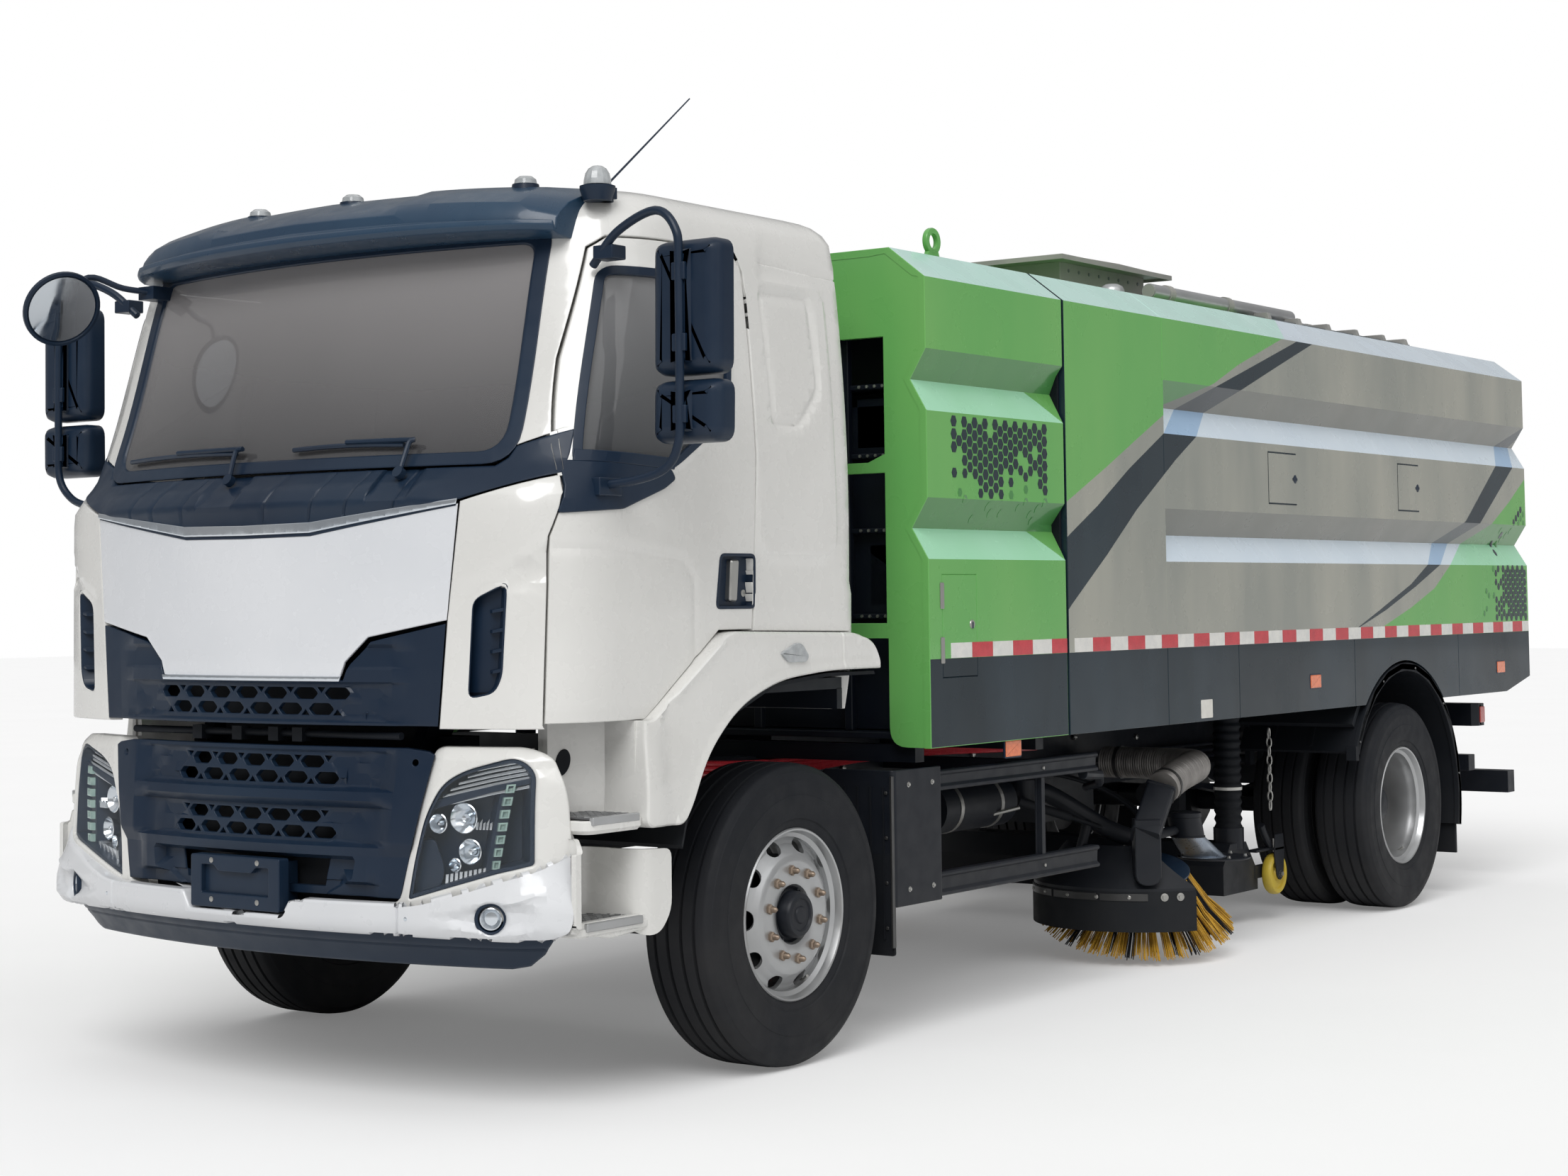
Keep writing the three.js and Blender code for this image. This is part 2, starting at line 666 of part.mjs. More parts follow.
/** Beacon and antenna on the cab roof. */
function buildBeacon() {
  const beaconX = cabHalf - 152;
  const whipX = beaconX + 10;
  const profile = [[0, -40], [48, -40], [48, 8], [44, 20], [36, 55], [20, 72], [0, 76]];
  const beacon = turnedZ(profile, beaconX, -850, 2900, 16);
  const bridge = box(beaconX - 10, beaconX + 40, -850, -800, 2870, 2905);
  const foot = bar([whipX, -815, 2860], [whipX, -815, 2925], 20, 10);
  const whip = bar([whipX, -815, 2910], [whipX + 2, -375, 3262], 4, 6, 2.5);
  return join(beacon, bridge, foot, whip).subtract(cabForm(seat));
}

const visor = buildVisor();
const visorGap = visor.translate([0, 0, seat]).add(visor.translate([0, 0, -seat]));
place('cab_shell', buildCabShell(), paint.white);
place('windscreen', cabForm(-4).subtract(cabForm(-4 - glassThickness))
  .intersect(prismY(grown(screenOutline, -seat), -1500, -780)), paint.glass);
place('sun_visor', visor, paint.plastic);
place('front_panel', frontSkin(grown(panelOutline, -1), 0, -trimDepth + seat), paint.white);
place('windscreen_cowl', join(frontSkin(grown(cowlOutline, -1), 0, -trimDepth + seat), buildWipers())
  .subtract(cabForm(-trimDepth + seat)).subtract(bothSides(doorEnvelope)), paint.plastic);
place('upper_grille', frontSkin(grown(upperGrilleOutline, -1), 0, -trimDepth + seat), paint.plastic);
place('cab_interior', buildInterior(), paint.trim);
place('beacon_antenna', buildBeacon(), paint.lamp);
place('kerb_mirror', buildKerbMirror(), paint.plastic);
for (const { name, sign } of sides) {
  place(`fender_${name}`, onSide(buildFender(), sign), paint.white);
  place(`door_${name}`, onSide(buildDoor(), sign), paint.white);
  place(`door_glass_${name}`, onSide(buildDoorGlass(), sign), paint.glass);
  place(`mirror_${name}`, onSide(buildMirror(), sign), paint.plastic);
}

// ---------------------------------------------------------------- chassis

const mudguardTubeRadius = 20;
const mudguardTubeOffset = 560;
const mudguardTubeZ = 757;

/** Cross tubes that carry the rear mudguards through the rail webs. */
function mudguardTubes(radius) {
  return join([-1, 1].map((s) => {
    const y = wheelbase + s * mudguardTubeOffset;
    return bar([-650, y, mudguardTubeZ], [650, y, mudguardTubeZ], radius, 12);
  }));
}

/** Ladder frame with its crossmembers, springs and brackets. */
function buildFrame() {
  const railBottomZ = railTopZ - railHeight;
  const inner = railOuterX - railThickness;
  const channel = [
    [railOuterX, railBottomZ], [railOuterX, railTopZ], [railOuterX - railFlange, railTopZ],
    [railOuterX - railFlange, railTopZ - railThickness], [inner, railTopZ - railThickness],
    [inner, railBottomZ + railThickness], [railOuterX - railFlange, railBottomZ + railThickness],
    [railOuterX - railFlange, railBottomZ],
  ];
  const rail = prismY(channel, railFrontY, railRearY);
  const crossMembers = [-1060, 300, 1500, 2900, 3700, wheelbase + 900, wheelbase + 1350].map((y) =>
    box(-inner - 1, inner + 1, y, y + crossDepth, railBottomZ + 20, railBottomZ + 20 + crossHeight),
  );
  const hornOutline = [
    [cabPivotY - 40, cabPivotZ - 30], [cabPivotY - 40, cabPivotZ + 30], [cabPivotY + 40, cabPivotZ + 30],
    [railFrontY + 300, railTopZ], [railFrontY + 300, railBottomZ], [cabPivotY + 20, railBottomZ],
  ];
  const horn = prismX(hornOutline, railOuterX - 1, railOuterX + 33);
  const earX = cabPivotX + 25 + 2;
  const ear = prismX(
    [[cabPivotY - 40, 760], [cabPivotY - 40, cabPivotZ + 35], [cabPivotY + 40, cabPivotZ + 35],
      [cabPivotY + 40, 760]],
    earX, earX + 25,
  );
  const shelf = box(railOuterX - 1, earX + 25, cabPivotY - 40, cabPivotY + 40, 740, 790);
  const pin = bar([railOuterX, cabPivotY, cabPivotZ], [earX + 12, cabPivotY, cabPivotZ], pivotPinRadius, 12);
  const battery = box(-railOuterX + 10, railOuterX - 10, 3000, 3500, 560, railBottomZ + 20);
  const pack = box(-1000, 1000, 900, 1700, 1090, 2300);
  const packFeet = [-1, 1].map((s) => box(s * 390 - 40, s * 390 + 40, 920, 1680, railTopZ - 5, 1100));
  const moduleBearers = [820, 1700].map((y) => box(-1150, 1150, y, y + 60, railTopZ - 5, 1040 - seat));
  const hingeEars = bothSides(join(
    box(300, 330, hingeY - 60, hingeY + 22, 880, hingeZ + 30),
    box(300, railOuterX - 5, hingeY - 60, hingeY - 49, 880, 975),
    bar([300, hingeY, hingeZ], [392, hingeY, hingeZ], 20, 12),
  ));
  const ramBearer = box(-railOuterX + 5, railOuterX - 5, ramBaseY + 60, ramBaseY + 110, 750, 930);
  const ramEars = [-1, 1].flatMap((s) => [-1, 1].map((e) => {
    const x = s * ramX + e * 62;
    return box(x - 10, x + 10, ramBaseY - 40, ramBaseY + 70, ramBaseZ - 50, ramBaseZ + 40);
  }));
  const ramPins = [-1, 1].map((s) => bar(
    [s * ramX - 62, ramBaseY, ramBaseZ], [s * ramX + 62, ramBaseY, ramBaseZ], 20, 12));
  const armPosts = bothSides(join(
    box(railOuterX - 2, armPivotX + 30, armPivotY - 40, armPivotY + 40, armPivotZ + 45, armPivotZ + 75),
    bar([armPivotX, armPivotY, armPivotZ + 50], [armPivotX, armPivotY, armPivotZ - 40], 22, 12),
  ));
  const nozzlePosts = bothSides(box(railOuterX - 2, 520, nozzleY - 40, nozzleY + 40, 720, 800));
  const nozzleGuides = bothSides(box(500, 520, nozzleY - 30, nozzleY + 30, 470, 760));
  const frame = join(bothSides(rail), crossMembers, bothSides(horn), bothSides(ear), bothSides(shelf),
    bothSides(pin), battery, pack, packFeet, moduleBearers, hingeEars, ramBearer, ramEars, ramPins, armPosts,
    nozzlePosts, nozzleGuides);
  return cut(frame, mudguardTubes(mudguardTubeRadius + seat));
}

/** Leaf springs of both rails with their hangers. */
function leafSpring(y, halfSpan, z) {
  const pack = prismX(
    [[y - halfSpan, z + 70], [y - halfSpan, z + 92], [y, z + 30], [y + halfSpan, z + 92],
      [y + halfSpan, z + 70],
      [y + 120, z - 20], [y - 120, z - 20]],
    railOuterX - 75, railOuterX + 5,
  );
  const hangers = [-1, 1].map((s) =>
    box(railOuterX - 75, railOuterX + 5, y + s * halfSpan - 30, y + s * halfSpan + 30, z + 60,
      railTopZ - railHeight - seat));
  return join(pack, hangers);
}

/** Front axle beam with its kingpins. */
function buildFrontAxle() {
  const beam = join(
    box(-700, 700, -55, 55, beamZ - 60, beamZ + 10),
    bothSides(prismY([[690, beamZ - 60], [690, beamZ + 10], [900, tyreRadius + 45],
      [kingpinX, tyreRadius + 45],
      [kingpinX, tyreRadius - 45], [860, tyreRadius - 45]], -45, 45)),
    bothSides(bar([kingpinX, 0, tyreRadius - 60], [kingpinX, 0, tyreRadius + 60], kingpinBossRadius, 16)),
  );
  const springs = bothSides(leafSpring(0, 640, beamZ + 20));
  return join(beam, springs);
}

/** Rear axle housing with its bowl and spindles. */
function buildRearAxle() {
  const housing = bar([-1100, wheelbase, tyreRadius], [1100, wheelbase, tyreRadius], axleTubeRadius, 16);
  const bowl = turnedX([[0, -110], [130, -105], [205, -50], [205, 50], [130, 105], [0, 110]], wheelbase,
    tyreRadius, 14);
  const nose = bar([0, wheelbase - 150, tyreRadius + 20], [0, wheelbase - 420, tyreRadius + 40], 90, 10, 60);
  const springs = bothSides(leafSpring(wheelbase, 700, tyreRadius + 40));
  const pads = bothSides(box(railOuterX - 75, railOuterX + 5, wheelbase - 70, wheelbase + 70, tyreRadius,
    tyreRadius + 60));
  return join(housing, bowl, nose, springs, pads);
}

const lowerRows = [
  { z: 440, front: -1380 },
  { z: 560, front: -1405 },
  { z: 900, front: -1392 },
  { z: lowerFrontTopZ, front: -1368 },
];

/** Solid behind the lower front face, moved outwards by an offset. */
function lowerForm(offset, lift = 0) {
  const sections = lowerRows.map(({ z, front }, i) => {
    const row = { front, half: cabHalf - 8, back: -600 };
    const ends = i === 0 ? -lift : i === lowerRows.length - 1 ? lift : 0;
    return cabSection(row, offset, z + ends);
  });
  return loft(sections);
}

/** Stretch of the lower front skin inside a front outline. */
function lowerSkin(outline, outer, inner, rearY = lowerRearY) {
  return lowerForm(outer).subtract(lowerForm(inner, 50)).intersect(prismY(outline, -1700, rearY));
}

const lowerRearY = -1145; // rear edge of the lower front's corners
const lampOutline = [[673, 668], [693, 780], [765, 1030], [1023, 1118], [1070, 1075], [1064, 775]];

/** Lower grille with its valance and the holder of the number plate. */
function buildLowerGrille() {
  const face = lowerSkin([[-600, 640], [600, 640], [735, 1130], [-735, 1130]], 0, -60);
  const valance = lowerSkin([[-1120, 452], [1120, 452], [1150, 545], [-1150, 545]], -10, -90);
  const plate = prismY([[-205, 612], [205, 612], [205, 770], [-205, 770]], -1446, -1380);
  const link = box(-560, 560, -1370, -1325, 500, 700);
  const stays = bothSides(box(350, 420, -1380, railFrontY - seat, 690, 760));
  return join(face, valance, plate, link, stays);
}

/** Headlight block, seated in the bumper. */
function buildHeadlight() {
  return lowerSkin(grown(lampOutline, -seat), -6, -lampDepth);
}

/** Bumper with its bezels, cheeks and lower steps. */
function buildBumper() {
  const bumperBar = lowerSkin([[-1190, bumperBottomZ], [1190, bumperBottomZ], [1190, bumperTopZ],
    [-1190, bumperTopZ]], 52, -6)
    .subtract(box(-212, 212, -1700, -1380, 600, 700))
    .subtract(lowerForm(-5, 5).intersect(box(-620, 620, -1700, -1000, 400, 1200)));
  const bezelOutline = [[608, 655], [642, 668], [742, 1120], [770, 1136], [1040, 1136], [1100, 1110],
    [1140, 990], [1190, 820],
    [1190, 600], [1000, 600]];
  const bezel = cut(
    lowerSkin(bezelOutline, 0, -lampDepth),
    prismY(lampOutline, -1700, -1000),
  );
  const cheekOutline = [[-1200, bumperBottomZ], [-1200, 815], [-1180, 1000], [-1165, 1110],
    [lowerRearY, 1110],
    [lowerRearY, 820], [-880, 765], [-690, 765], [-680, 740], [-752, 528], [-1000, bumperBottomZ - 20]];
  const cheek = prismX(cheekOutline, 1150, 1186);
  const stepOutline = [[-1150, 552], [-800, 552], [-800, 590], [-1150, 590]];
  const tread = prismX(stepOutline, 940, 1160);
  const wellBack = box(925, 955, -1160, -790, 552, 760);
  const stepCut = prismX(rounded([[-1110, 592], [-870, 592], [-870, 900], [-1110, 900]], 20, 2), 1100, 1300);
  const side = cut(cheek, stepCut);
  const bracket = box(railOuterX + seat, 960, -1150, -1090, 560, 620);
  return join(bumperBar, bothSides(join(bezel, side, tread, wellBack, bracket)))
    .subtract(lowerSkin([[-600, 640], [600, 640], [735, 1130], [-735, 1130]], seat, -60 - seat));
}

const lowerGrille = buildLowerGrille();
place('chassis_frame', buildFrame(), paint.black);
place('front_axle', buildFrontAxle(), paint.black);
place('rear_axle', buildRearAxle(), paint.black);
place('bumper', cut(buildBumper(), lowerGrille), paint.silver);
place('lower_grille', lowerGrille, paint.plastic);

// ---------------------------------------------------------------- wheels

/** Tyre section as [radius, along] about a wheel centred on x = 0. */
function tyreProfile(innerRadius) {
  const half = tyreWidth / 2;
  return [
    [innerRadius, 23 - rimHalf], [rimFlangeRadius + 12, -half + 8], [shoulderRadius - 30, -half],
    [tyreRadius, -half + 52], [tyreRadius, half - 52],
    [shoulderRadius - 30, half], [rimFlangeRadius + 12, half - 8], [innerRadius, rimHalf - 23],
  ];
}

const rimHalf = tyreWidth / 2 - 20;
const wheelSides = 20;

/** Rim barrel, disc and hub; disc gives the disc face's place along the axle. */
function rimProfile(disc, hubEnd) {
  const lip = rimFlangeRadius - 4;
  return [
    [rimBarrelRadius - 12, -rimHalf], [lip, -rimHalf],
    [rimBarrelRadius, -rimHalf + 22], [rimBarrelRadius, rimHalf - 22], [lip, rimHalf],
    [rimBarrelRadius - 12, rimHalf], [rimBarrelRadius - 12, disc - 10], [nutCircleRadius + 26, disc + 22],
    [hubRadius, disc + 22], [hubRadius - 8, hubEnd], [0, hubEnd], [0, disc - 60],
      [spindleRadius + 0.5, disc - 60],
    [spindleRadius + 0.5, disc - 90], [hubRadius, disc - 90], [hubRadius, disc + 2],
    [rimBarrelRadius - 12, disc - 28],
  ];
}

/** Cutters for the hand holes of a wheel disc whose axis is at y. */
function handHoles(x0, x1, y) {
  return Array.from({ length: nutCount }, (_, i) => {
    const angle = ((i + 0.5) / nutCount) * Math.PI * 2;
    const cy = y + handHoleCircle * Math.cos(angle);
    const cz = tyreRadius + handHoleCircle * Math.sin(angle);
    return bar([x0, cy, cz], [x1, cy, cz], handHoleRadius, 6);
  });
}

const frontWheelX = frontTyreOuterX - tyreWidth / 2;

/** Front rim with its disc and hub. */
function buildFrontRim() {
  const disc = 78;
  const body = turnedX(rimProfile(disc, disc + 84).map(([r, x]) => [r, x + frontWheelX]), 0, tyreRadius,
    wheelSides);
  return cut(body, handHoles(frontWheelX + disc - 60, frontWheelX + disc + 60, 0));
}

/** Front tyre, seated on its rim. */
function buildFrontTyre() {
  const profile = tyreProfile(rimBarrelRadius + seat).map(([r, x]) => [r, x + frontWheelX]);
  return turnedX(profile, 0, tyreRadius, wheelSides);
}

/** Steering knuckle with its lugs and spindle. */
function buildKnuckle() {
  const lugRadius = kingpinBossRadius;
  const lug = (z0, z1) => join(
    bar([kingpinX, 0, z0], [kingpinX, 0, z1], lugRadius, 16),
    box(kingpinX, kingpinX + 75, -46, 46, z0, z1),
  );
  const backX = kingpinX + 56;
  const plate = bar([backX, 0, tyreRadius], [backX + 18, 0, tyreRadius], 165, 16);
  const spindle = bar([backX, 0, tyreRadius], [frontWheelX + 12, 0, tyreRadius], spindleRadius, 16);
  const arm = box(kingpinX - 20, kingpinX + 20, 30, 190, tyreRadius - 120, tyreRadius - 90);
  return join(lug(tyreRadius - 130, tyreRadius - 60 - seat), lug(tyreRadius + 60 + seat, tyreRadius + 120),
    plate, spindle, arm);
}

/** Twin rear wheels on one hub. */
function buildRearWheels() {
  const outerX = rearTyreOuterX - tyreWidth / 2;
  const innerX = outerX - twinSpacing;
  const tyreSection = (x) => tyreProfile(rimBarrelRadius - 6).map(([r, at]) => [r, at + x]);
  const tyres = [outerX, innerX].map((x) => turnedX(tyreSection(x), wheelbase, tyreRadius, wheelSides));
  const middle = (outerX + innerX) / 2;
  const barrels = turnedX(
    [[rimBarrelRadius - 14, innerX - rimHalf], [rimFlangeRadius, innerX - rimHalf],
      [rimBarrelRadius, innerX - rimHalf + 24], [rimBarrelRadius, outerX + rimHalf - 24],
      [rimFlangeRadius, outerX + rimHalf], [rimBarrelRadius - 14, outerX + rimHalf],
      [rimBarrelRadius - 14, middle + 40], [200, middle + 14], [hubRadius + 6, middle + 14],
      [hubRadius, middle + 190], [0, middle + 190], [0, 1100 + seat],
        [axleTubeRadius + bearingGap, 1100 + seat], [axleTubeRadius + bearingGap, middle - 120],
      [hubRadius + 20, middle - 120], [hubRadius + 20, middle - 14], [200, middle - 14],
        [rimBarrelRadius - 14, middle - 40]],
    wheelbase, tyreRadius, wheelSides,
  );
  return join(barrels, tyres);
}

for (const { name, sign } of sides) {
  place(`headlight_${name}`, onSide(buildHeadlight(), sign), paint.lamp);
  place(`knuckle_${name}`, onSide(buildKnuckle(), sign), paint.black);
  place(`front_rim_${name}`, onSide(buildFrontRim(), sign), paint.steel);
  place(`front_tyre_${name}`, onSide(buildFrontTyre(), sign), paint.rubber);
  place(`rear_wheels_${name}`, onSide(buildRearWheels(), sign), paint.rubber);
}

// ---------------------------------------------------------------- body

// Side profile of the body panels: [x, z] up the left side.
const grooves = [
  { low: 1719, deep: 1833, high: 1944 },
  { low: 2263, deep: 2380, high: 2491 },
];

/** Cross-section of the body, moved inwards by an inset, with its side grooves if asked. */
function bodyOutline(inset, grooved) {
  const x = bodyHalf - inset;
  const side = [[x, skirtZ]];
  for (const { low, deep, high } of grooved ? grooves : []) {
    side.push([x, low], [x - grooveDepth, deep], [x, high]);
  }
  side.push([x, chamferZ - inset * 0.4], [bodyHalf - chamferInset - inset * 0.4, bodyRoofZ - inset]);
  return mirroredOutline(side);
}

/** Front module behind the cab, with its openings and racks. */
function buildModule() {
  const outer = prismY(bodyOutline(0, true), moduleFrontY, moduleRearY);
  const inner = prismY(bodyOutline(bodyWall, true).map(([x, z]) => [x, z]), moduleFrontY + bodyWall,
    moduleRearY - bodyWall);
  const underside = box(-1210, 1210, moduleFrontY + bodyWall, moduleRearY - bodyWall, skirtZ - 10, 1060);
  const openings = [{ z0: 2080, z1: 2545 }, { z0: 1486, z1: 2040 }].map(({ z0, z1 }) =>
    bothSides(box(bodyHalf - 520, bodyHalf - 188, moduleFrontY - 10, moduleFrontY + bodyWall + 10, z0, z1)));
  const legs = box(-1160, 1160, moduleFrontY - 10, moduleRearY + 10, skirtZ - 10, 1040);
  const lug = (x, y) => cut(
    join(bar([x - 12, y, bodyRoofZ + 62], [x + 12, y, bodyRoofZ + 62], 52, 14),
      box(x - 12, x + 12, y - 34, y + 34, bodyRoofZ - 5, bodyRoofZ + 40)),
    bar([x - 20, y, bodyRoofZ + 62], [x + 20, y, bodyRoofZ + 62], 30, 10),
  );
  return join(cut(outer, inner, underside, openings, legs), lug(1060, 1130), lug(-1060, 1130));
}

/** Tipping hopper with its side grooves, hinge lugs and bearers. */
function buildHopper() {
  const outer = prismY(bodyOutline(0, false), hopperFrontY, hopperRearY);
  const grooveStartY = 2657;
  const grooveCuts = bothSides(join(grooves.map(({ low, deep, high }) =>
    prismY([[bodyHalf + 1, low], [bodyHalf - grooveDepth, deep], [bodyHalf + 1, high]], grooveStartY,
      hopperRearY + 10))));
  const innerTop = hopperFloorZ + 50;
  const archBar = (fromX, radius) => bothSides(
    bar([fromX, wheelbase, tyreRadius], [bodyHalf + 150, wheelbase, tyreRadius], radius, 30));
  const arch = archBar(archInnerX, archRadius + archGap);
  const inner = prismY(
    mirroredOutline([[bodyHalf - grooveDepth - bodyWall, innerTop],
      [bodyHalf - grooveDepth - bodyWall, chamferZ - 40],
      [bodyHalf - chamferInset - 30, bodyRoofZ - bodyWall]]),
    hopperFrontY + bodyWall, hopperRearY - tailThickness - 30,
  ).subtract(archBar(archInnerX - bodyWall, archRadius + archGap + bodyWall));
  const under = box(-bodyHalf + bodyWall, bodyHalf - bodyWall, hopperFrontY + bodyWall, hopperRearY + 10,
    skirtZ - 10, hopperFloorZ);
  const mouth = box(-tailHalf - tailGap, tailHalf + tailGap, hopperRearY - 200, hopperRearY + 20,
    tailBottomZ - tailGap, tailTopZ + tailGap);
  const rearCutY = hopperRearY - 367;
  const rearCut = prismX(
    [[rearCutY, skirtZ - 20], [rearCutY, skirtZ], [hopperRearY + 10, 1104], [hopperRearY + 10, skirtZ - 20]],
    -bodyHalf - 150, bodyHalf + 150,
  );
  const bearers = bothSides(box(railOuterX - railFlange, railOuterX, 1900, hingeY - 90, railTopZ + seat,
    hopperFloorZ + 10));
  const hingeLugs = bothSides(cut(
    join(bar([332, hingeY, hingeZ], [392, hingeY, hingeZ], 46, 16),
      box(332, 392, hingeY - 46, hingeY + 46, hingeZ, hopperFloorZ + 10)),
    bar([300, hingeY, hingeZ], [400, hingeY, hingeZ], 20.6, 16),
  ));
  const ramLugs = bothSides(box(ramX + 56, ramX + 74, ramPinY - 45, ramPinY + 45, ramPinZ - 40,
    hopperFloorZ + 10));
  const tailBarrels = [-800, 0, 800].map((x) => join(
    bar([x - 110, hopperRearY + tailHingeRadius, tailTopZ + 40],
      [x - 22, hopperRearY + tailHingeRadius, tailTopZ + 40], tailHingeRadius, 16),
    box(x - 110, x - 22, hopperRearY - 10, hopperRearY + tailHingeRadius, tailTopZ + 28, tailTopZ + 52),
  ));
  return join(cut(outer, grooveCuts, inner, under, mouth, arch, rearCut), bearers, hingeLugs, ramLugs,
    tailBarrels);
}

/** Exhaust duct under its flat lid, the pipes, the walkway and the cleats that carry them. */
function buildRoofGear() {
  const z = bodyRoofZ + seat;
  const lidZ = z + ductHeight;
  const lidMiddleY = (lidFrontY + lidRearY) / 2;
  const duct = box(-ductHalf, ductHalf, ductFrontY, ductRearY, z, lidZ);
  const lid = prismX([[lidFrontY, lidZ - 5], [lidFrontY, lidZ + 7], [lidMiddleY, lidZ + 17],
    [lidRearY, lidZ + 7],
    [lidRearY, lidZ - 5]], -lidHalf, lidHalf);
  const pipeZ = z + 60;
  const tube = pipe([[700, 3650, pipeZ], [760, 4200, pipeZ], [760, 5100, pipeZ], [700, 5600, pipeZ]],
    pipeRadius, 6, 8);
  const rail = bar([railTubeX, railTubeFrontY, pipeZ], [railTubeX, railTubeRearY, pipeZ], pipeRadius, 10);
  const walk = box(820, 1040, 4000, 5950, z, z + 18);
  const cleats = [4150, 4500, 4850, 5200, 5550, 5850].map((y) => box(620, 1060, y, y + 40, z, z + 46));
  const link = box(560, 700, 3560, 4060, z, z + 40);
  return join(duct, lid, tube, rail, walk, cleats, link);
}

/** Rear door with its ribs and hinge barrels. */
function buildTailDoor() {
  const y0 = hopperRearY - tailThickness;
  const door = box(-tailHalf, tailHalf, y0, hopperRearY, tailBottomZ, tailTopZ);
  const ribs = [-560, 0, 560].map((x) => box(x - 40, x + 40, hopperRearY - 5, hopperRearY + 28,
    tailBottomZ + 40, tailTopZ - 120));
  const barrels = [-800, 0, 800].map((x) => join(
    bar([x - 22 + seat, hopperRearY + tailHingeRadius, tailTopZ + 40],
      [x + 66, hopperRearY + tailHingeRadius, tailTopZ + 40], tailHingeRadius, 16),
    prismX([[hopperRearY - 5, tailTopZ - 60], [hopperRearY - 5, tailTopZ - 2],
      [hopperRearY + 6, tailTopZ - 2],
      [hopperRearY + 8, tailTopZ + 40], [hopperRearY + tailHingeRadius + 12, tailTopZ + 40],
      [hopperRearY + 18, tailTopZ - 60]], x - 22 + seat, x + 66),
  ));
  return join(door, ribs, barrels);
}

place('front_module', buildModule(), paint.green);
place('hopper', buildHopper(), paint.grey);
place('roof_gear', buildRoofGear(), paint.trim);
place('tail_door', buildTailDoor(), paint.grey);

// Tip cylinders, one pair of barrels and one pair of rods, each joined by a cross tube.
const ramSpan = Math.hypot(ramPinY - ramBaseY, ramPinZ - ramBaseZ);
const ramPoint = (along, x) => [
  x,
  ramBaseY + ((ramPinY - ramBaseY) * along) / ramSpan,
  ramBaseZ + ((ramPinZ - ramBaseZ) * along) / ramSpan,
];

/** Barrels of the two tip rams, with their tie. */
function buildBarrels() {
  const one = (x) => join(
    bar([x - 48, ramBaseY, ramBaseZ], [x + 48, ramBaseY, ramBaseZ], 42, 16),
    bar(ramPoint(20, x), ramPoint(barrelLength, x), barrelRadius, 12),
  );
  const tie = bar(ramPoint(500, -ramX), ramPoint(500, ramX), 24, 8);
  return cut(
    join(one(-ramX), one(ramX), tie),
    [-ramX, ramX].map((x) => bar(ramPoint(500, x), ramPoint(barrelLength + 10, x), rodRadius + pinClearance,
      16)),
    [-ramX, ramX].map((x) => bar([x - 70, ramBaseY, ramBaseZ], [x + 70, ramBaseY, ramBaseZ], 20.6, 16)),
  );
}

/** Rods of the two tip rams, with their cross pin. */
function buildRods() {
  const endX = ramX;
  const one = (x) => join(
    bar(ramPoint(540, x), ramPoint(ramSpan, x), rodRadius, 16),
    bar([x - 46, ramPinY, ramPinZ], [x + 46, ramPinY, ramPinZ], 40, 16),
  );
  const cross = bar([-endX - 46, ramPinY, ramPinZ], [endX + 46, ramPinY, ramPinZ], 20, 12);
  return join(one(-endX), one(endX), cross);
}

place('tip_barrels', buildBarrels(), paint.black);
place('tip_rods', buildRods(), paint.steel);

// ---------------------------------------------------------------- brushes

/** Direction of the tilted brush shaft, pointing up. */
const brushUp = vec(0.6, -0.8, 0).multiplyScalar(Math.sin(brushTilt)).add(vec(0, 0, Math.cos(brushTilt)));
const brushTurn = new THREE.Quaternion().setFromUnitVectors(vec(0, 0, 1), brushUp);
const brushPlate = vec(brushX, brushY, brushPlateZ);
/** Middle of the ring of bristle tips, under which the dust skirt stands. */
const brushFoot = brushPlate.clone().addScaledVector(brushUp, -brushDrop);

/** Solid drawn about a vertical shaft at the origin, set on the brush shaft. */
function onBrush(geometry) {
  geometry.rotateX(Math.PI / 2);
  geometry.applyQuaternion(brushTurn);
  return solid(geometry.translate(brushX, brushY, brushPlateZ));
}

/** Closed profile turned around the axis of a brush. */
function brushRing(profile, sides = 24) {
  const points = profile.map(([r, h]) => new THREE.Vector2(r, h));
  return onBrush(new THREE.LatheGeometry([...points, points[0].clone()], sides));
}

/** Side brush: plate, bristles and boss. */
function buildBrush() {
  const plate = brushRing([[0, -14], [brushPlateRadius, -14], [brushPlateRadius, 0], [0, 0]]);
  const tufts = brushRing([
    [120, -10], [brushPlateRadius - 15, -10], [brushRadius, 7 - brushDrop],
      [brushRadius - 60, -6 - brushDrop],
    [205, -200],
  ]);
  return join(plate, tufts);
}

const throatRadius = 66;
const throatFoot = vec(brushX + 200, brushY - 285, 590);
const throatTop = throatFoot.clone().add(vec(-15, 150, 145));

/** Wall and sloping top of the dust skirt, over the brush's front. */
function buildSkirt() {
  const section = [
    [skirtRadius, skirtBottomZ], [skirtRadius, skirtTopZ], [shroudRadius, shroudTopZ],
    [shroudRadius - skirtWall, shroudTopZ - 6], [skirtRadius - skirtWall, skirtTopZ - 6],
    [skirtRadius - skirtWall, skirtBottomZ],
  ];
  const wedge = [[brushFoot.x, brushFoot.y], ...arc(brushFoot.x, brushFoot.y, 2 * skirtRadius, ...skirtSpan,
    8)];
  return turnedZ(section, brushFoot.x, brushFoot.y, 0, 40).intersect(prismZ(wedge, 0, 2 * shroudTopZ));
}

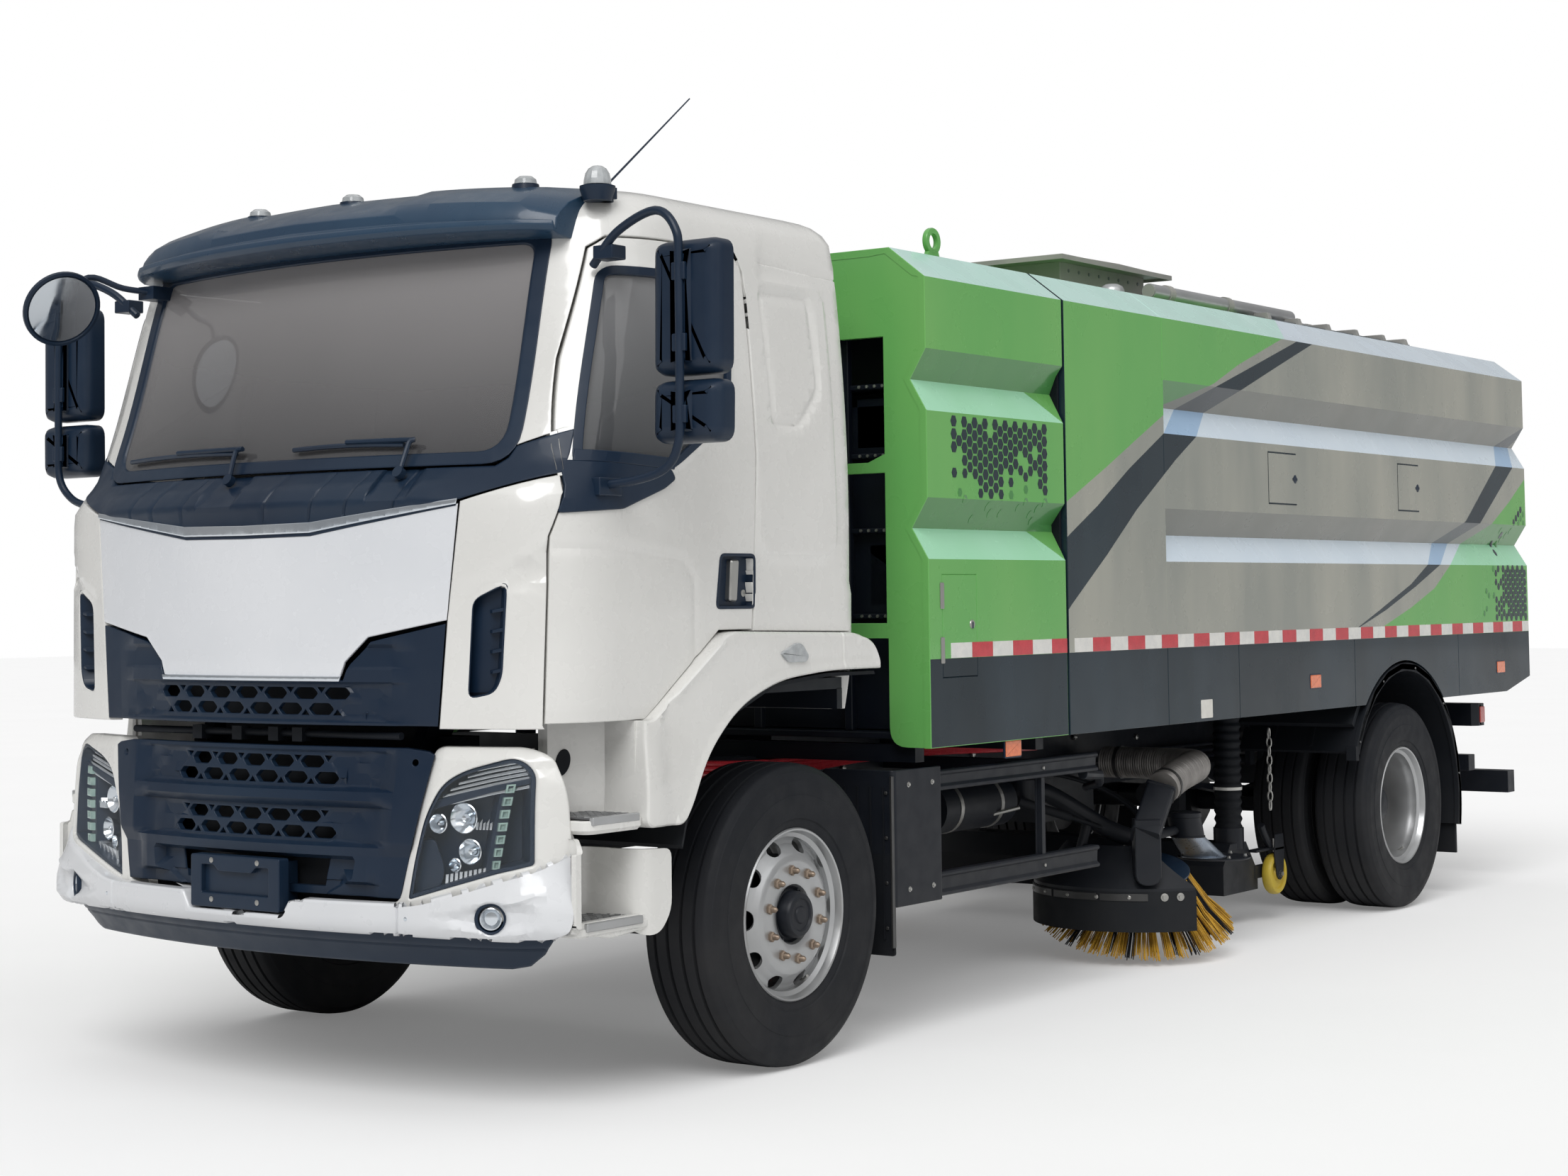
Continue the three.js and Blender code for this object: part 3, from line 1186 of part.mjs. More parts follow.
/** Oblique cone on a round plate, behind the brush's shaft. */
function buildHood() {
  const foot = [brushX + 104, brushY + 430, 398];
  const waist = [foot[0] - 4, foot[1] - 145, 502];
  const plate = bar([brushX + 130, brushY + 485, 390], [brushX + 130, brushY + 485, 402], 165, 24);
  const stay = bar(brushPlate.clone().addScaledVector(brushUp, motorHeight - 20).toArray(),
    [waist[0], waist[1], 545], 24, 8);
  return join(plate, bar(foot, waist, 95, 16, 74),
    bar([waist[0], waist[1], 496], [waist[0], waist[1] - 38, 612], 75, 16),
    stay);
}

/** Brush carrier with its arm, skirt, hood and motor. */
function buildBrushArm() {
  const motor = brushRing([[0, 1], [110, 1], [110, 14], [72, 30], [72, motorHeight], [0, motorHeight]], 16);
  const hub = brushPlate.clone().addScaledVector(brushUp, motorHeight - 25);
  const shoulder = vec(armPivotX + 60, armPivotY + 90, armPivotZ - 20);
  const beam = pipe([[armPivotX, armPivotY, armPivotZ - 20], shoulder.toArray(),
    [hub.x - 110, hub.y - 130, hub.z + 60], hub.toArray()], 42, 7, 8);
  const boss = bar([armPivotX, armPivotY, armPivotZ - 60], [armPivotX, armPivotY, armPivotZ + 45 - seat], 58,
    16);
  const bore = bar([armPivotX, armPivotY, armPivotZ - 41], [armPivotX, armPivotY, armPivotZ + 90], 22.7, 16);
  const strut = bar([hub.x - 150, hub.y - 175, hub.z + 85], [hub.x - 175, hub.y - 196, shroudTopZ - 20], 24,
    8);
  const ductX = throatFoot.x;
  const ductY = throatFoot.y - 15;
  const duct = prismZ(rounded([[ductX - 20, ductY - 70], [ductX + 73, ductY - 3], [ductX + 20, ductY + 70],
    [ductX - 73, ductY + 3]], 20, 2), 345, 625);
  const throat = bar(throatFoot.toArray(), throatTop.toArray(), throatRadius, 16);
  return cut(join(motor, beam, boss, buildSkirt(), buildHood(), duct, throat, strut), bore);
}

/** Dust hose that bends from the brush hood to the frame. */
function buildDustHose() {
  const along = throatTop.clone().sub(throatFoot).normalize();
  const start = throatTop.clone().addScaledVector(along, -20);
  const end = throatTop.clone().addScaledVector(along, seat);
  const hose = pipe([start.toArray(), [brushX + 180, brushY + 45, 790], [brushX + 160, brushY + 245, 812],
    [brushX + 50, brushY + 372, 815], [brushX - 120, brushY + 385, 815], [brushX - 370, brushY + 385, 815]],
      72, 12, 10);
  return hose.subtract(bar(throatFoot.toArray(), end.toArray(), throatRadius + 30, 16));
}

for (const { name, sign } of sides) {
  place(`brush_arm_${name}`, onSide(buildBrushArm(), sign), paint.black);
  place(`brush_${name}`, onSide(buildBrush(), sign), paint.bristle);
}
place('dust_hose', buildDustHose(), paint.hose);

// ---------------------------------------------------------------- nozzle

const nozzleAxleY = nozzleY + 300;
const nozzleAxleZ = nozzleBottomZ + 55;

/** Suction nozzle with its collar and wheel stubs. */
function buildNozzle() {
  const hood = prismX(
    [[nozzleY - 190, nozzleBottomZ], [nozzleY + 180, nozzleBottomZ], [nozzleY + 180, 250],
      [nozzleY + 60, nozzleTopZ],
      [nozzleY - 110, nozzleTopZ], [nozzleY - 190, 300]],
    -nozzleHalf, nozzleHalf,
  );
  const hollow = prismX(
    [[nozzleY - 165, nozzleBottomZ - 10], [nozzleY + 155, nozzleBottomZ - 10], [nozzleY + 155, 240],
      [nozzleY + 45, nozzleTopZ - 25], [nozzleY - 95, nozzleTopZ - 25], [nozzleY - 165, 290]],
    -nozzleHalf + 25, nozzleHalf - 25,
  );
  const collar = bar([hoseX, nozzleY, nozzleTopZ - 30], [hoseX, nozzleY, nozzleTopZ + 70], hoseRadius + 4,
    16);
  const bore = bar([hoseX, nozzleY, nozzleTopZ - 60], [hoseX, nozzleY, nozzleTopZ + 45], hoseRadius - 14, 12);
  const sliders = bothSides(box(520 + seat, 560, nozzleY - 36, nozzleY + 36, nozzleTopZ - 20, 715));
  const arms = bothSides(box(nozzleHalf - 20, nozzleHalf + 2, nozzleY + 150, nozzleAxleY + 24, 215, 275));
  const stub = bothSides(bar([nozzleHalf, nozzleAxleY, nozzleAxleZ + 10],
    [nozzleHalf + 70, nozzleAxleY, nozzleAxleZ + 10], 14, 16));
  return join(cut(join(hood, collar), hollow, bore), sliders, arms, stub);
}

/** Caster wheel at one end of the nozzle. */
function buildNozzleWheel() {
  const x = nozzleHalf + 8; // inner face of the wheel
  return turnedX([[14.6, x], [70, x], [nozzleWheelRadius, x + 8], [nozzleWheelRadius, x + 40], [70, x + 48],
    [14.6, x + 48]],
    nozzleAxleY, nozzleAxleZ + 10, 18);
}

/** Corrugated suction hose between the nozzle and the hopper. */
function buildSuctionHose() {
  const rings = [];
  const low = nozzleTopZ + 70 + seat;
  const high = hopperFloorZ - seat;
  const pitch = 150;
  const profile = [[0, low]];
  for (let z = low; z < high - pitch; z += pitch) {
    profile.push([hoseRadius, z], [hoseRadius, z + pitch * 0.55], [hoseRadius - 10, z + pitch * 0.62],
      [hoseRadius - 10, z + pitch * 0.94]);
  }
  profile.push([hoseRadius, high - 20], [hoseRadius, high], [0, high]);
  return turnedZ(profile, hoseX, nozzleY, 0, 12);
}

place('suction_nozzle', buildNozzle(), paint.black);
for (const { name, sign } of sides) {
  place(`nozzle_wheel_${name}`, onSide(buildNozzleWheel(), sign), paint.yellow);
}
place('suction_hose', buildSuctionHose(), paint.rubber);

// ---------------------------------------------------------------- guards and rear

/** Side guard of the left side: panel, flap, rails and stays. */
function buildSideGuard() {
  const rail = (y0, y1, z0, z1) => box(1150, 1188, y0, y1, z0, z1);
  const panel = box(1150, 1196, 610, 925, 470, 960);
  const flap = box(880, 1196, 600, 620, 300, 960);
  const stays = [650, 1690].map((y) => box(railOuterX + seat, 1160, y, y + 50, 880, 940));
  return join(panel, flap, rail(900, 2135, 868, 944), rail(900, 2135, 482, 570), rail(1690, 1720, 500, 900),
    stays);
}

/** Rear mudguards on their tubes. */
function buildMudguards() {
  const ring = [
    ...arc(wheelbase, tyreRadius, archRadius, -12, 155, 11),
    ...arc(wheelbase, tyreRadius, archRadius - mudguardThickness, 155, -12, 11),
  ];
  const shell = prismX(ring, 640, bodyHalf + 4);
  const flap = box(650, bodyHalf - 30, wheelbase + archRadius - 14, wheelbase + archRadius + 4, 215, 560);
  const tubes = mudguardTubes(mudguardTubeRadius);
  const posts = [-1, 1].map((s) => box(640, 668, wheelbase + s * mudguardTubeOffset - 25,
    wheelbase + s * mudguardTubeOffset + 25,
    730, 980));
  return join(bothSides(join(shell, flap, posts)), tubes);
}

/** Rear underrun bar with its lamps and brackets. */
function buildRearUnderrun() {
  const lampY = wheelbase + 1100;
  const beamY = wheelbase + 1550;
  const beamZ1 = railTopZ - railHeight - seat;
  const beam = box(-1150, 1150, lampY, lampY + 90, 615, beamZ1);
  const lampOutline = [[850, lampY], [1170, lampY], [1200, lampY + 35], [1200, lampY + 112],
    [850, lampY + 112]];
  const lampBox = prismZ(lampOutline, 855, 975);
  const lampPost = box(880, 940, lampY + 10, lampY + 80, 650, 870);
  const arms = prismX(
    [[lampY, 615], [lampY + 90, beamZ1], [lampY + 130, beamZ1], [beamY + 95, 590], [beamY + 95, 470],
      [beamY, 470]],
    560, 584,
  );
  const bumperBeam = box(-1200, 1200, beamY, beamY + 100, 470, 590);
  return join(beam, bumperBeam, bothSides(join(lampBox, lampPost, arms)));
}

const mudguards = buildMudguards();
place('rear_mudguards', mudguards, paint.rubber);
place('rear_underrun', buildRearUnderrun(), paint.black);
for (const { name, sign } of sides) {
  place(`side_guard_${name}`, onSide(buildSideGuard(), sign), paint.black);
}

export default vehicle;
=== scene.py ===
"""Looks of a suction sweeper truck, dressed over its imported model.

Lengths are metres. The shapes are drawn from the front axle, with the truck
facing -Y and its left side at +X, and ``Piece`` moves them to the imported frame.
"""

import logging
import math
import random
from dataclasses import dataclass
from enum import Enum
from typing import Callable, Iterable, Optional, Sequence, Union

import bmesh
import bpy
from mathutils import Matrix, Vector
from mathutils.geometry import delaunay_2d_cdt, tessellate_polygon


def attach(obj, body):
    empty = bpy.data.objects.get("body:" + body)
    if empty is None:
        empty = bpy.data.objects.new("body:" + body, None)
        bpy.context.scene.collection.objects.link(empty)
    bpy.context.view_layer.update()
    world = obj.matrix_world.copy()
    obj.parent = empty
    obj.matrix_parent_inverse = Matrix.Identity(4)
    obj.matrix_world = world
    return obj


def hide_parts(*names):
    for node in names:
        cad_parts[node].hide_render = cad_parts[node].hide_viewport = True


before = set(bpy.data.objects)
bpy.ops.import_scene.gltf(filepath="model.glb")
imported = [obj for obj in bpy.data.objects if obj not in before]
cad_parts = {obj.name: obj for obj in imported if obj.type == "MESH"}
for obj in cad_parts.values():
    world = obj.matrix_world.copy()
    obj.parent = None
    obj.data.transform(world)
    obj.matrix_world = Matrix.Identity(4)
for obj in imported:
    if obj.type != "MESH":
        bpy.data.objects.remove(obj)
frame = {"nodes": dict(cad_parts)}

LOG = logging.getLogger("sweeper")

Point2 = tuple[float, float]
Loop = list[Point2]
Place = Callable[[float, float, float], Vector]
Colour = tuple[float, float, float]

AXLE = Vector((0.0, -2.8, 0.0))
UP = Vector((0.0, 0.0, 1.0))
LEFT = Vector((1.0, 0.0, 0.0))
AHEAD = Vector((0.0, -1.0, 0.0))
REAR_AXLE = 5.25


class Side(Enum):
    """The two sides of the truck, with the sign of X on each."""

    LEFT = 1
    RIGHT = -1

    @property
    def word(self) -> str:
        """The side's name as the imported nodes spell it."""
        return self.name.lower()


# ------------------------------------------------------------------ outlines


def rounded(corners: Sequence[Point2], radius: Union[float, Sequence[float]], steps: int = 5) -> Loop:
    """Rounds the corners of a closed outline.

    Args:
        corners: The outline's corners in order.
        radius: One reach for all corners, or one for each.
        steps: Segments in each round corner.

    Returns:
        The outline with its corners drawn as short curves.
    """
    reaches = [radius] * len(corners) if isinstance(radius, (int, float)) else list(radius)
    loop: Loop = []
    for i, corner in enumerate(corners):
        here = Vector(corner)
        before = Vector(corners[i - 1]) - here
        after = Vector(corners[(i + 1) % len(corners)]) - here
        reach = min(reaches[i], before.length / 2.05, after.length / 2.05)
        if reach < 1e-4:
            loop.append((here.x, here.y))
            continue
        start, end = here + before.normalized() * reach, here + after.normalized() * reach
        for k in range(steps + 1):
            t = k / steps
            point = start * (1 - t) ** 2 + here * (2 * t * (1 - t)) + end * t * t
            loop.append((point.x, point.y))
    return loop


def arc(centre: Point2, radius: float, start: float, end: float, steps: int) -> Loop:
    """Points along a circular arc.

    Args:
        centre: The circle's centre.
        radius: The circle's radius.
        start: First angle in degrees.
        end: Last angle in degrees.
        steps: Segments along the arc.

    Returns:
        The arc's points, ends included.
    """
    angles = [math.radians(start + (end - start) * i / steps) for i in range(steps + 1)]
    return [(centre[0] + radius * math.cos(a), centre[1] + radius * math.sin(a)) for a in angles]


def area(loop: Loop) -> float:
    """Signed area of a closed outline, positive when it runs anticlockwise."""
    pairs = zip(loop, loop[1:] + loop[:1])
    return sum(a[0] * b[1] - b[0] * a[1] for a, b in pairs) / 2


def outward(loop: Loop) -> list[Vector]:
    """Mitred outward direction at each point of an anticlockwise outline.

    Args:
        loop: A closed anticlockwise outline.

    Returns:
        One vector for each point, which moves the outline out by one unit.
    """
    count = len(loop)
    normals = []
    for i in range(count):
        along = Vector(loop[(i + 1) % count]) - Vector(loop[i])
        along = along.normalized() if along.length > 1e-9 else Vector((0, 0))
        normals.append(Vector((along.y, -along.x)))
    mitres = []
    for i in range(count):
        total = normals[i - 1] + normals[i]
        size = total.length_squared
        mitres.append(total * (2 / size) if size > 0.35 else normals[i])
    return mitres


def grown(loop: Loop, distance: float) -> Loop:
    """Moves a closed outline outwards, or inwards when the distance is negative.

    Args:
        loop: Closed outline.
        distance: How far its edge moves.

    Returns:
        The moved outline, in the same order.
    """
    turned = list(loop) if area(loop) > 0 else list(reversed(loop))
    moved = [(p[0] + m.x * distance, p[1] + m.y * distance) for p, m in zip(turned, outward(turned))]
    return moved if area(loop) > 0 else list(reversed(moved))


def split(loop: Loop, pitch: float, closed: bool = True) -> Loop:
    """Adds points so that no edge of an outline is longer than a pitch.

    Args:
        loop: Outline.
        pitch: Longest edge that stays whole.
        closed: Whether the last point joins the first.

    Returns:
        The outline with its added points.
    """
    points: Loop = []
    count = len(loop)
    for i in range(count if closed else count - 1):
        a, b = Vector(loop[i]), Vector(loop[(i + 1) % count])
        parts = max(1, math.ceil((b - a).length / pitch))
        for k in range(parts):
            point = a.lerp(b, k / parts)
            points.append((point.x, point.y))
    return points if closed else points + [loop[-1]]


def mirrored(half: Sequence[Point2]) -> Loop:
    """Whole outline from its half at positive u; points on the middle line are kept once."""
    return list(half) + [(-u, v) for u, v in reversed(half) if abs(u) > 1e-9]


def inside(point: Point2, loops: Iterable[Loop]) -> bool:
    """Whether a point lies in the area that the outlines bound, by the even-odd rule.

    Args:
        point: Point in the plane of the outlines.
        loops: Closed outlines, holes among them.

    Returns:
        True when the point lies inside.
    """
    odd = False
    x, y = point
    for loop in loops:
        for (ax, ay), (bx, by) in zip(loop, loop[1:] + loop[:1]):
            if (ay > y) != (by > y) and x < ax + (y - ay) * (bx - ax) / (by - ay):
                odd = not odd
    return odd


def depth_in(point: Point2, loop: Loop) -> float:
    """Distance of a point inside an outline from its edge; negative outside.

    Args:
        point: Point in the plane of the outline.
        loop: Closed outline.

    Returns:
        The distance, above 0 inside.
    """
    best = 1e9
    spot = Vector(point)
    for a, b in zip(loop, loop[1:] + loop[:1]):
        start, run = Vector(a), Vector(b) - Vector(a)
        size = run.length_squared
        t = 0.0 if size < 1e-12 else min(1.0, max(0.0, (spot - start).dot(run) / size))
        best = min(best, (spot - start - run * t).length)
    return best if inside(point, [loop]) else -best


def ease(value: float, low: float, high: float) -> float:
    """Smooth step from 0 at low to 1 at high."""
    t = min(1.0, max(0.0, (value - low) / (high - low)))
    return t * t * (3 - 2 * t)


def cells(loops: list[Loop], pitch: Point2, lines: Sequence[Loop]) -> tuple[Loop, list[list[int]]]:
    """Cuts the area inside outlines into a grid of faces.

    Args:
        loops: Closed outlines, holes among them.
        pitch: Grid spacing along u and v.
        lines: Open lines that faces must follow.

    Returns:
        The points and the faces as lists of point numbers, anticlockwise.
    """
    points: list[Vector] = []
    edges: list[tuple[int, int]] = []
    for loop in loops:
        first = len(points)
        points.extend(Vector(p) for p in loop)
        edges.extend((first + i, first + (i + 1) % len(loop)) for i in range(len(loop)))
    for line in lines:
        first = len(points)
        points.extend(Vector(p) for p in line)
        edges.extend((first + i, first + i + 1) for i in range(len(line) - 1))
    us, vs = [p.x for p in points], [p.y for p in points]
    low, high = (min(us), min(vs)), (max(us), max(vs))
    for axis in (0, 1):
        other = 1 - axis
        count = int((high[axis] - low[axis]) / pitch[axis]) + 1
        for i in range(1, count):
            at = low[axis] + (high[axis] - low[axis]) * i / count
            ends = []
            for reach in (low[other] - 0.01, high[other] + 0.01):
                spot = [0.0, 0.0]
                spot[axis], spot[other] = at, reach
                ends.append(Vector(spot))
            edges.append((len(points), len(points) + 1))
            points.extend(ends)
    found, _, faces, *_ = delaunay_2d_cdt(points, edges, [], 4, 1e-5)
    kept = []
    for face in faces:
        corners = [found[i].to_3d() for i in face]
        best, middle = 0.0, corners[0]
        for tri in tessellate_polygon([corners]):
            a, b, c = (corners[i] for i in tri)
            size = (b - a).cross(c - a).length
            if size > best:
                best, middle = size, (a + b + c) / 3
        if best > 1e-9 and inside((middle.x, middle.y), loops):
            face = list(face)
            if area([(found[i].x, found[i].y) for i in face]) < 0:
                face.reverse()
            kept.append(face)
    return [(p.x, p.y) for p in found], kept


# -------------------------------------------------------------------- shapes


class Shape:
    """Points and faces gathered into one mesh; each face carries the number of its finish."""

    def __init__(self) -> None:
        """Starts an empty shape."""
        self.points: list[Vector] = []
        self.faces: list[tuple[int, ...]] = []
        self.marks: list[int] = []

    def take(self, points: Iterable[Vector], faces: Iterable[Sequence[int]], mark: int = 0) -> "Shape":
        """Adds points with the faces between them.

        Args:
            points: New points.
            faces: Faces numbered from the first new point.
            mark: The faces' finish.

        Returns:
            This shape.
        """
        first = len(self.points)
        self.points.extend(points)
        for face in faces:
            self.faces.append(tuple(first + i for i in face))
            self.marks.append(mark)
        return self

    def join(self, other: "Shape", move: Optional[Matrix] = None) -> "Shape":
        """Adds a copy of another shape, moved by a matrix when one is given.

        Args:
            other: Shape that is copied in.
            move: Matrix for the copy.

        Returns:
            This shape.
        """
        first = len(self.points)
        self.points.extend(move @ p if move else p.copy() for p in other.points)
        self.faces.extend(tuple(first + i for i in face) for face in other.faces)
        self.marks.extend(other.marks)
        return self

    def mirror(self) -> "Shape":
        """A copy on the other side of the truck.

        Returns:
            The mirrored shape.
        """
        copy = Shape()
        copy.points = [Vector((-p.x, p.y, p.z)) for p in self.points]
        copy.faces = [tuple(reversed(face)) for face in self.faces]
        copy.marks = list(self.marks)
        return copy

    def both(self) -> "Shape":
        """Adds the mirror image to this shape."""
        return self.join(self.mirror())

    def on(self, side: Side) -> "Shape":
        """This shape, drawn for the left, on the given side."""
        return self if side is Side.LEFT else self.mirror()

    def block(self, low: Sequence[float], high: Sequence[float], mark: int = 0,
              move: Optional[Matrix] = None) -> "Shape":
        """Adds a box between two corners, turned by a matrix when one is given.

        Args:
            low: Lowest corner.
            high: Highest corner.
            mark: Slot of its finish.
            move: Matrix for the box.

        Returns:
            This shape.
        """
        corners = [Vector((x, y, z)) for z in (low[2], high[2]) for y in (low[1], high[1])
                   for x in (low[0], high[0])]
        if move:
            corners = [move @ c for c in corners]
        faces = [(0, 2, 3, 1), (4, 5, 7, 6), (0, 1, 5, 4), (2, 6, 7, 3), (0, 4, 6, 2), (1, 3, 7, 5)]
        return self.take(corners, faces, mark)

    def rings(self, rings: Sequence[Sequence[Vector]], capped: bool = True, mark: int = 0) -> "Shape":
        """Skins a row of closed rings with equal point counts.

        Args:
            rings: The rings in order.
            capped: Whether the first and last ring are filled.
            mark: The faces' finish.

        Returns:
            This shape.
        """
        count = len(rings[0])
        faces: list[Sequence[int]] = []
        for r in range(len(rings) - 1):
            for i in range(count):
                j = (i + 1) % count
                faces.append((r * count + i, r * count + j, (r + 1) * count + j, (r + 1) * count + i))
        if capped:
            faces.append(tuple(range(count - 1, -1, -1)))
            faces.append(tuple((len(rings) - 1) * count + i for i in range(count)))
        return self.take((p for ring in rings for p in ring), faces, mark)

    def stack(self, outline: Loop, place: Place, layers: Sequence[Point2], mark: int = 0) -> "Shape":
        """Piles copies of an outline, each grown or shrunk, into a closed form.

        Args:
            outline: The outline in (u, v).
            place: Maps (u, v, w) to a point.
            layers: (w, growth) of each copy.
            mark: The faces' finish.

        Returns:
            This shape.
        """
        rings = [[place(u, v, w) for u, v in grown(outline, more)] for w, more in layers]
        return self.rings(rings, True, mark)

    def lathe(self, profile: Sequence[Point2], centre: Vector, axis: Vector, steps: int = 48,
              mark: int = 0) -> "Shape":
        """Turns a closed profile of (radius, along) about an axis.

        Args:
            profile: Closed profile; radii may be zero.
            centre: Where the axis has its zero.
            axis: Direction of the axis.
            steps: Segments round the axis.
            mark: The faces' finish.

        Returns:
            This shape.
        """
        turn = UP.rotation_difference(axis.normalized()).to_matrix()
        rows = []
        for radius, at in profile:
            rows.append([centre + turn @ Vector((radius * math.cos(math.tau * i / steps),
                                                 radius * math.sin(math.tau * i / steps), at))
                         for i in range(steps)])
        rows.append([p.copy() for p in rows[0]])
        return self.rings(rows, False, mark)

    def tube(self, route: Sequence[Vector], radius: Union[float, Callable[[float], float]],
             sides: int = 12, mark: int = 0) -> "Shape":
        """Sweeps a round section along a route.

        Args:
            route: Points along the middle of the tube.
            radius: One radius, or a function of the length run so far.
            sides: Sides of the section.
            mark: The faces' finish.

        Returns:
            This shape.
        """
        heading = (route[1] - route[0]).normalized()
        across = heading.orthogonal().normalized()
        rings, run = [], 0.0
        for i, point in enumerate(route):
            ahead = route[min(i + 1, len(route) - 1)] - route[max(i - 1, 0)]
            ahead.normalize()
            across = heading.rotation_difference(ahead) @ across
            heading = ahead
            over = heading.cross(across).normalized()
            if i:
                run += (point - route[i - 1]).length
            size = radius(run) if callable(radius) else radius
            rings.append([point + (across * math.cos(math.tau * k / sides)
                                   + over * math.sin(math.tau * k / sides)) * size for k in range(sides)])
        return self.rings(rings, True, mark)

    def sheet(self, loops: list[Loop], place: Place, near: float, far: float, pitch: Point2 = (0.06, 0.06),
              edge: float = 0.003, mark: Union[int, Callable[[float, float], int]] = 0,
              lines: Sequence[Loop] = (), seam: Optional[float] = None, rim: Optional[int] = None) -> "Shape":
        """Adds a panel with rounded edges, cut from a sheet by outlines.

        Args:
            loops: Closed outlines in (u, v), holes among them.
            place: Maps (u, v, w) to a point; w runs out of the face.
            near: w of the visible face.
            far: w of the hidden face.
            pitch: Grid spacing.
            edge: Radius of the rounded edges.
            mark: The face's finish, or a function that gives it.
            lines: Open lines that faces must follow.
            seam: |u| at which the sheet meets itself and has no edge.
            rim: Finish of the edges when they differ.

        Returns:
            This shape.
        """
        inner = []
        for i, loop in enumerate(loops):
            nested = sum(inside(loop[0], [other]) for k, other in enumerate(loops) if k != i) % 2
            inset = grown(loop, edge if nested else -edge)
            if seam:
                inset = [(math.copysign(seam, u), v2) if abs(abs(u0) - seam) < 1e-6 else (u, v2)
                         for (u, v2), (u0, _) in zip(inset, loop)]
            inner.append(inset)
        flat, faces = cells(inner, pitch, lines)
        ways = {}
        for face in faces:
            for a, b in zip(face, face[1:] + face[:1]):
                ways[(a, b)] = True
        following = {a: b for a, b in ways if (b, a) not in ways}
        chains = []
        left = set(following)
        while left:
            start = at = left.pop()
            chain = [start]
            while following[at] != start and following[at] in left:
                at = following[at]
                left.discard(at)
                chain.append(at)
            chains.append(chain)
        used = sorted({i for face in faces for i in face})
        number = {old: new for new, old in enumerate(used)}
        first = len(self.points)
        self.points.extend(place(*flat[i], near) for i in used)
        chosen = [mark(*_middle([flat[i] for i in face])) if callable(mark) else mark for face in faces]
        for face, kind in zip(faces, chosen):
            self.faces.append(tuple(first + number[i] for i in face))
            self.marks.append(kind)
        layers = [(0.0, near)] if edge <= 0 else [
            (edge * math.sin(a), near - edge * (1 - math.cos(a))) for a in (0.0, 0.524, 1.047, 1.571)]
        layers.append((layers[-1][0], far))
        last = {}
        for chain in chains:
            outline = [flat[i] for i in chain]
            mitres = outward(outline)
            if seam:
                for k, (u, _) in enumerate(outline):
                    if abs(abs(u) - seam) < 1e-6:
                        mitres[k] = Vector((0.0, mitres[k].y))
            count = len(chain)
            base = [first + number[i] for i in chain]
            for shift, w in layers[1:]:
                start = len(self.points)
                self.points.extend(place(p[0] + m.x * shift, p[1] + m.y * shift, w)
                                   for p, m in zip(outline, mitres))
                row = [start + i for i in range(count)]
                for i in range(count):
                    j = (i + 1) % count
                    if seam and abs(abs(outline[i][0]) - seam) < 1e-6 and abs(
                            abs(outline[j][0]) - seam) < 1e-6:
                        continue
                    self.faces.append((base[j], base[i], row[i], row[j]))
                    self.marks.append(rim if rim is not None else chosen[0])
                base = row
            last.update(zip(chain, base))
        back = {}
        for i in used:
            if i in last:
                back[i] = last[i]
            else:
                back[i] = len(self.points)
                self.points.append(place(*flat[i], far))
        for face, kind in zip(faces, chosen):
            self.faces.append(tuple(back[i] for i in reversed(face)))
            self.marks.append(kind)
        return self


def _middle(points: Loop) -> Point2:
    """Middle of a face's corners."""
    return sum(p[0] for p in points) / len(points), sum(p[1] for p in points) / len(points)


def smooth_route(points: Sequence[Sequence[float]], steps: int = 6) -> list[Vector]:
    """Points along a smooth curve through the given ones.

    Args:
        points: The points that the curve passes through.
        steps: Segments between two of them.

    Returns:
        The curve's points, ends included.
    """
    knots = [Vector(p) for p in points]
    knots = [knots[0] * 2 - knots[1], *knots, knots[-1] * 2 - knots[-2]]
    route = []
    for a, b, c, d in zip(knots, knots[1:], knots[2:], knots[3:]):
        for k in range(steps):
            t = k / steps
            route.append((b * 2 + (c - a) * t + (a * 2 - b * 5 + c * 4 - d) * t * t
                          + (b * 3 - a - c * 3 + d) * t ** 3) / 2)
    return route + [knots[-2].copy()]


def facing(origin: Vector, across: Vector, over: Vector) -> Place:
    """A flat place whose u and v run along two directions, with w out of the face."""
    out = across.cross(over).normalized()
    return lambda u, v, w: origin + across * u + over * v + out * w


def on_front(u: float, v: float, w: float) -> Vector:
    """Outline in (x, z); w runs forwards, towards -Y."""
    return Vector((u, -w, v))


def on_side(u: float, v: float, w: float) -> Vector:
    """Outline in (y, z); w runs out to the left, along +X."""
    return Vector((w, u, v))


def on_top(u: float, v: float, w: float) -> Vector:
    """Outline in (x, y); w runs up."""
    return Vector((u, v, w))


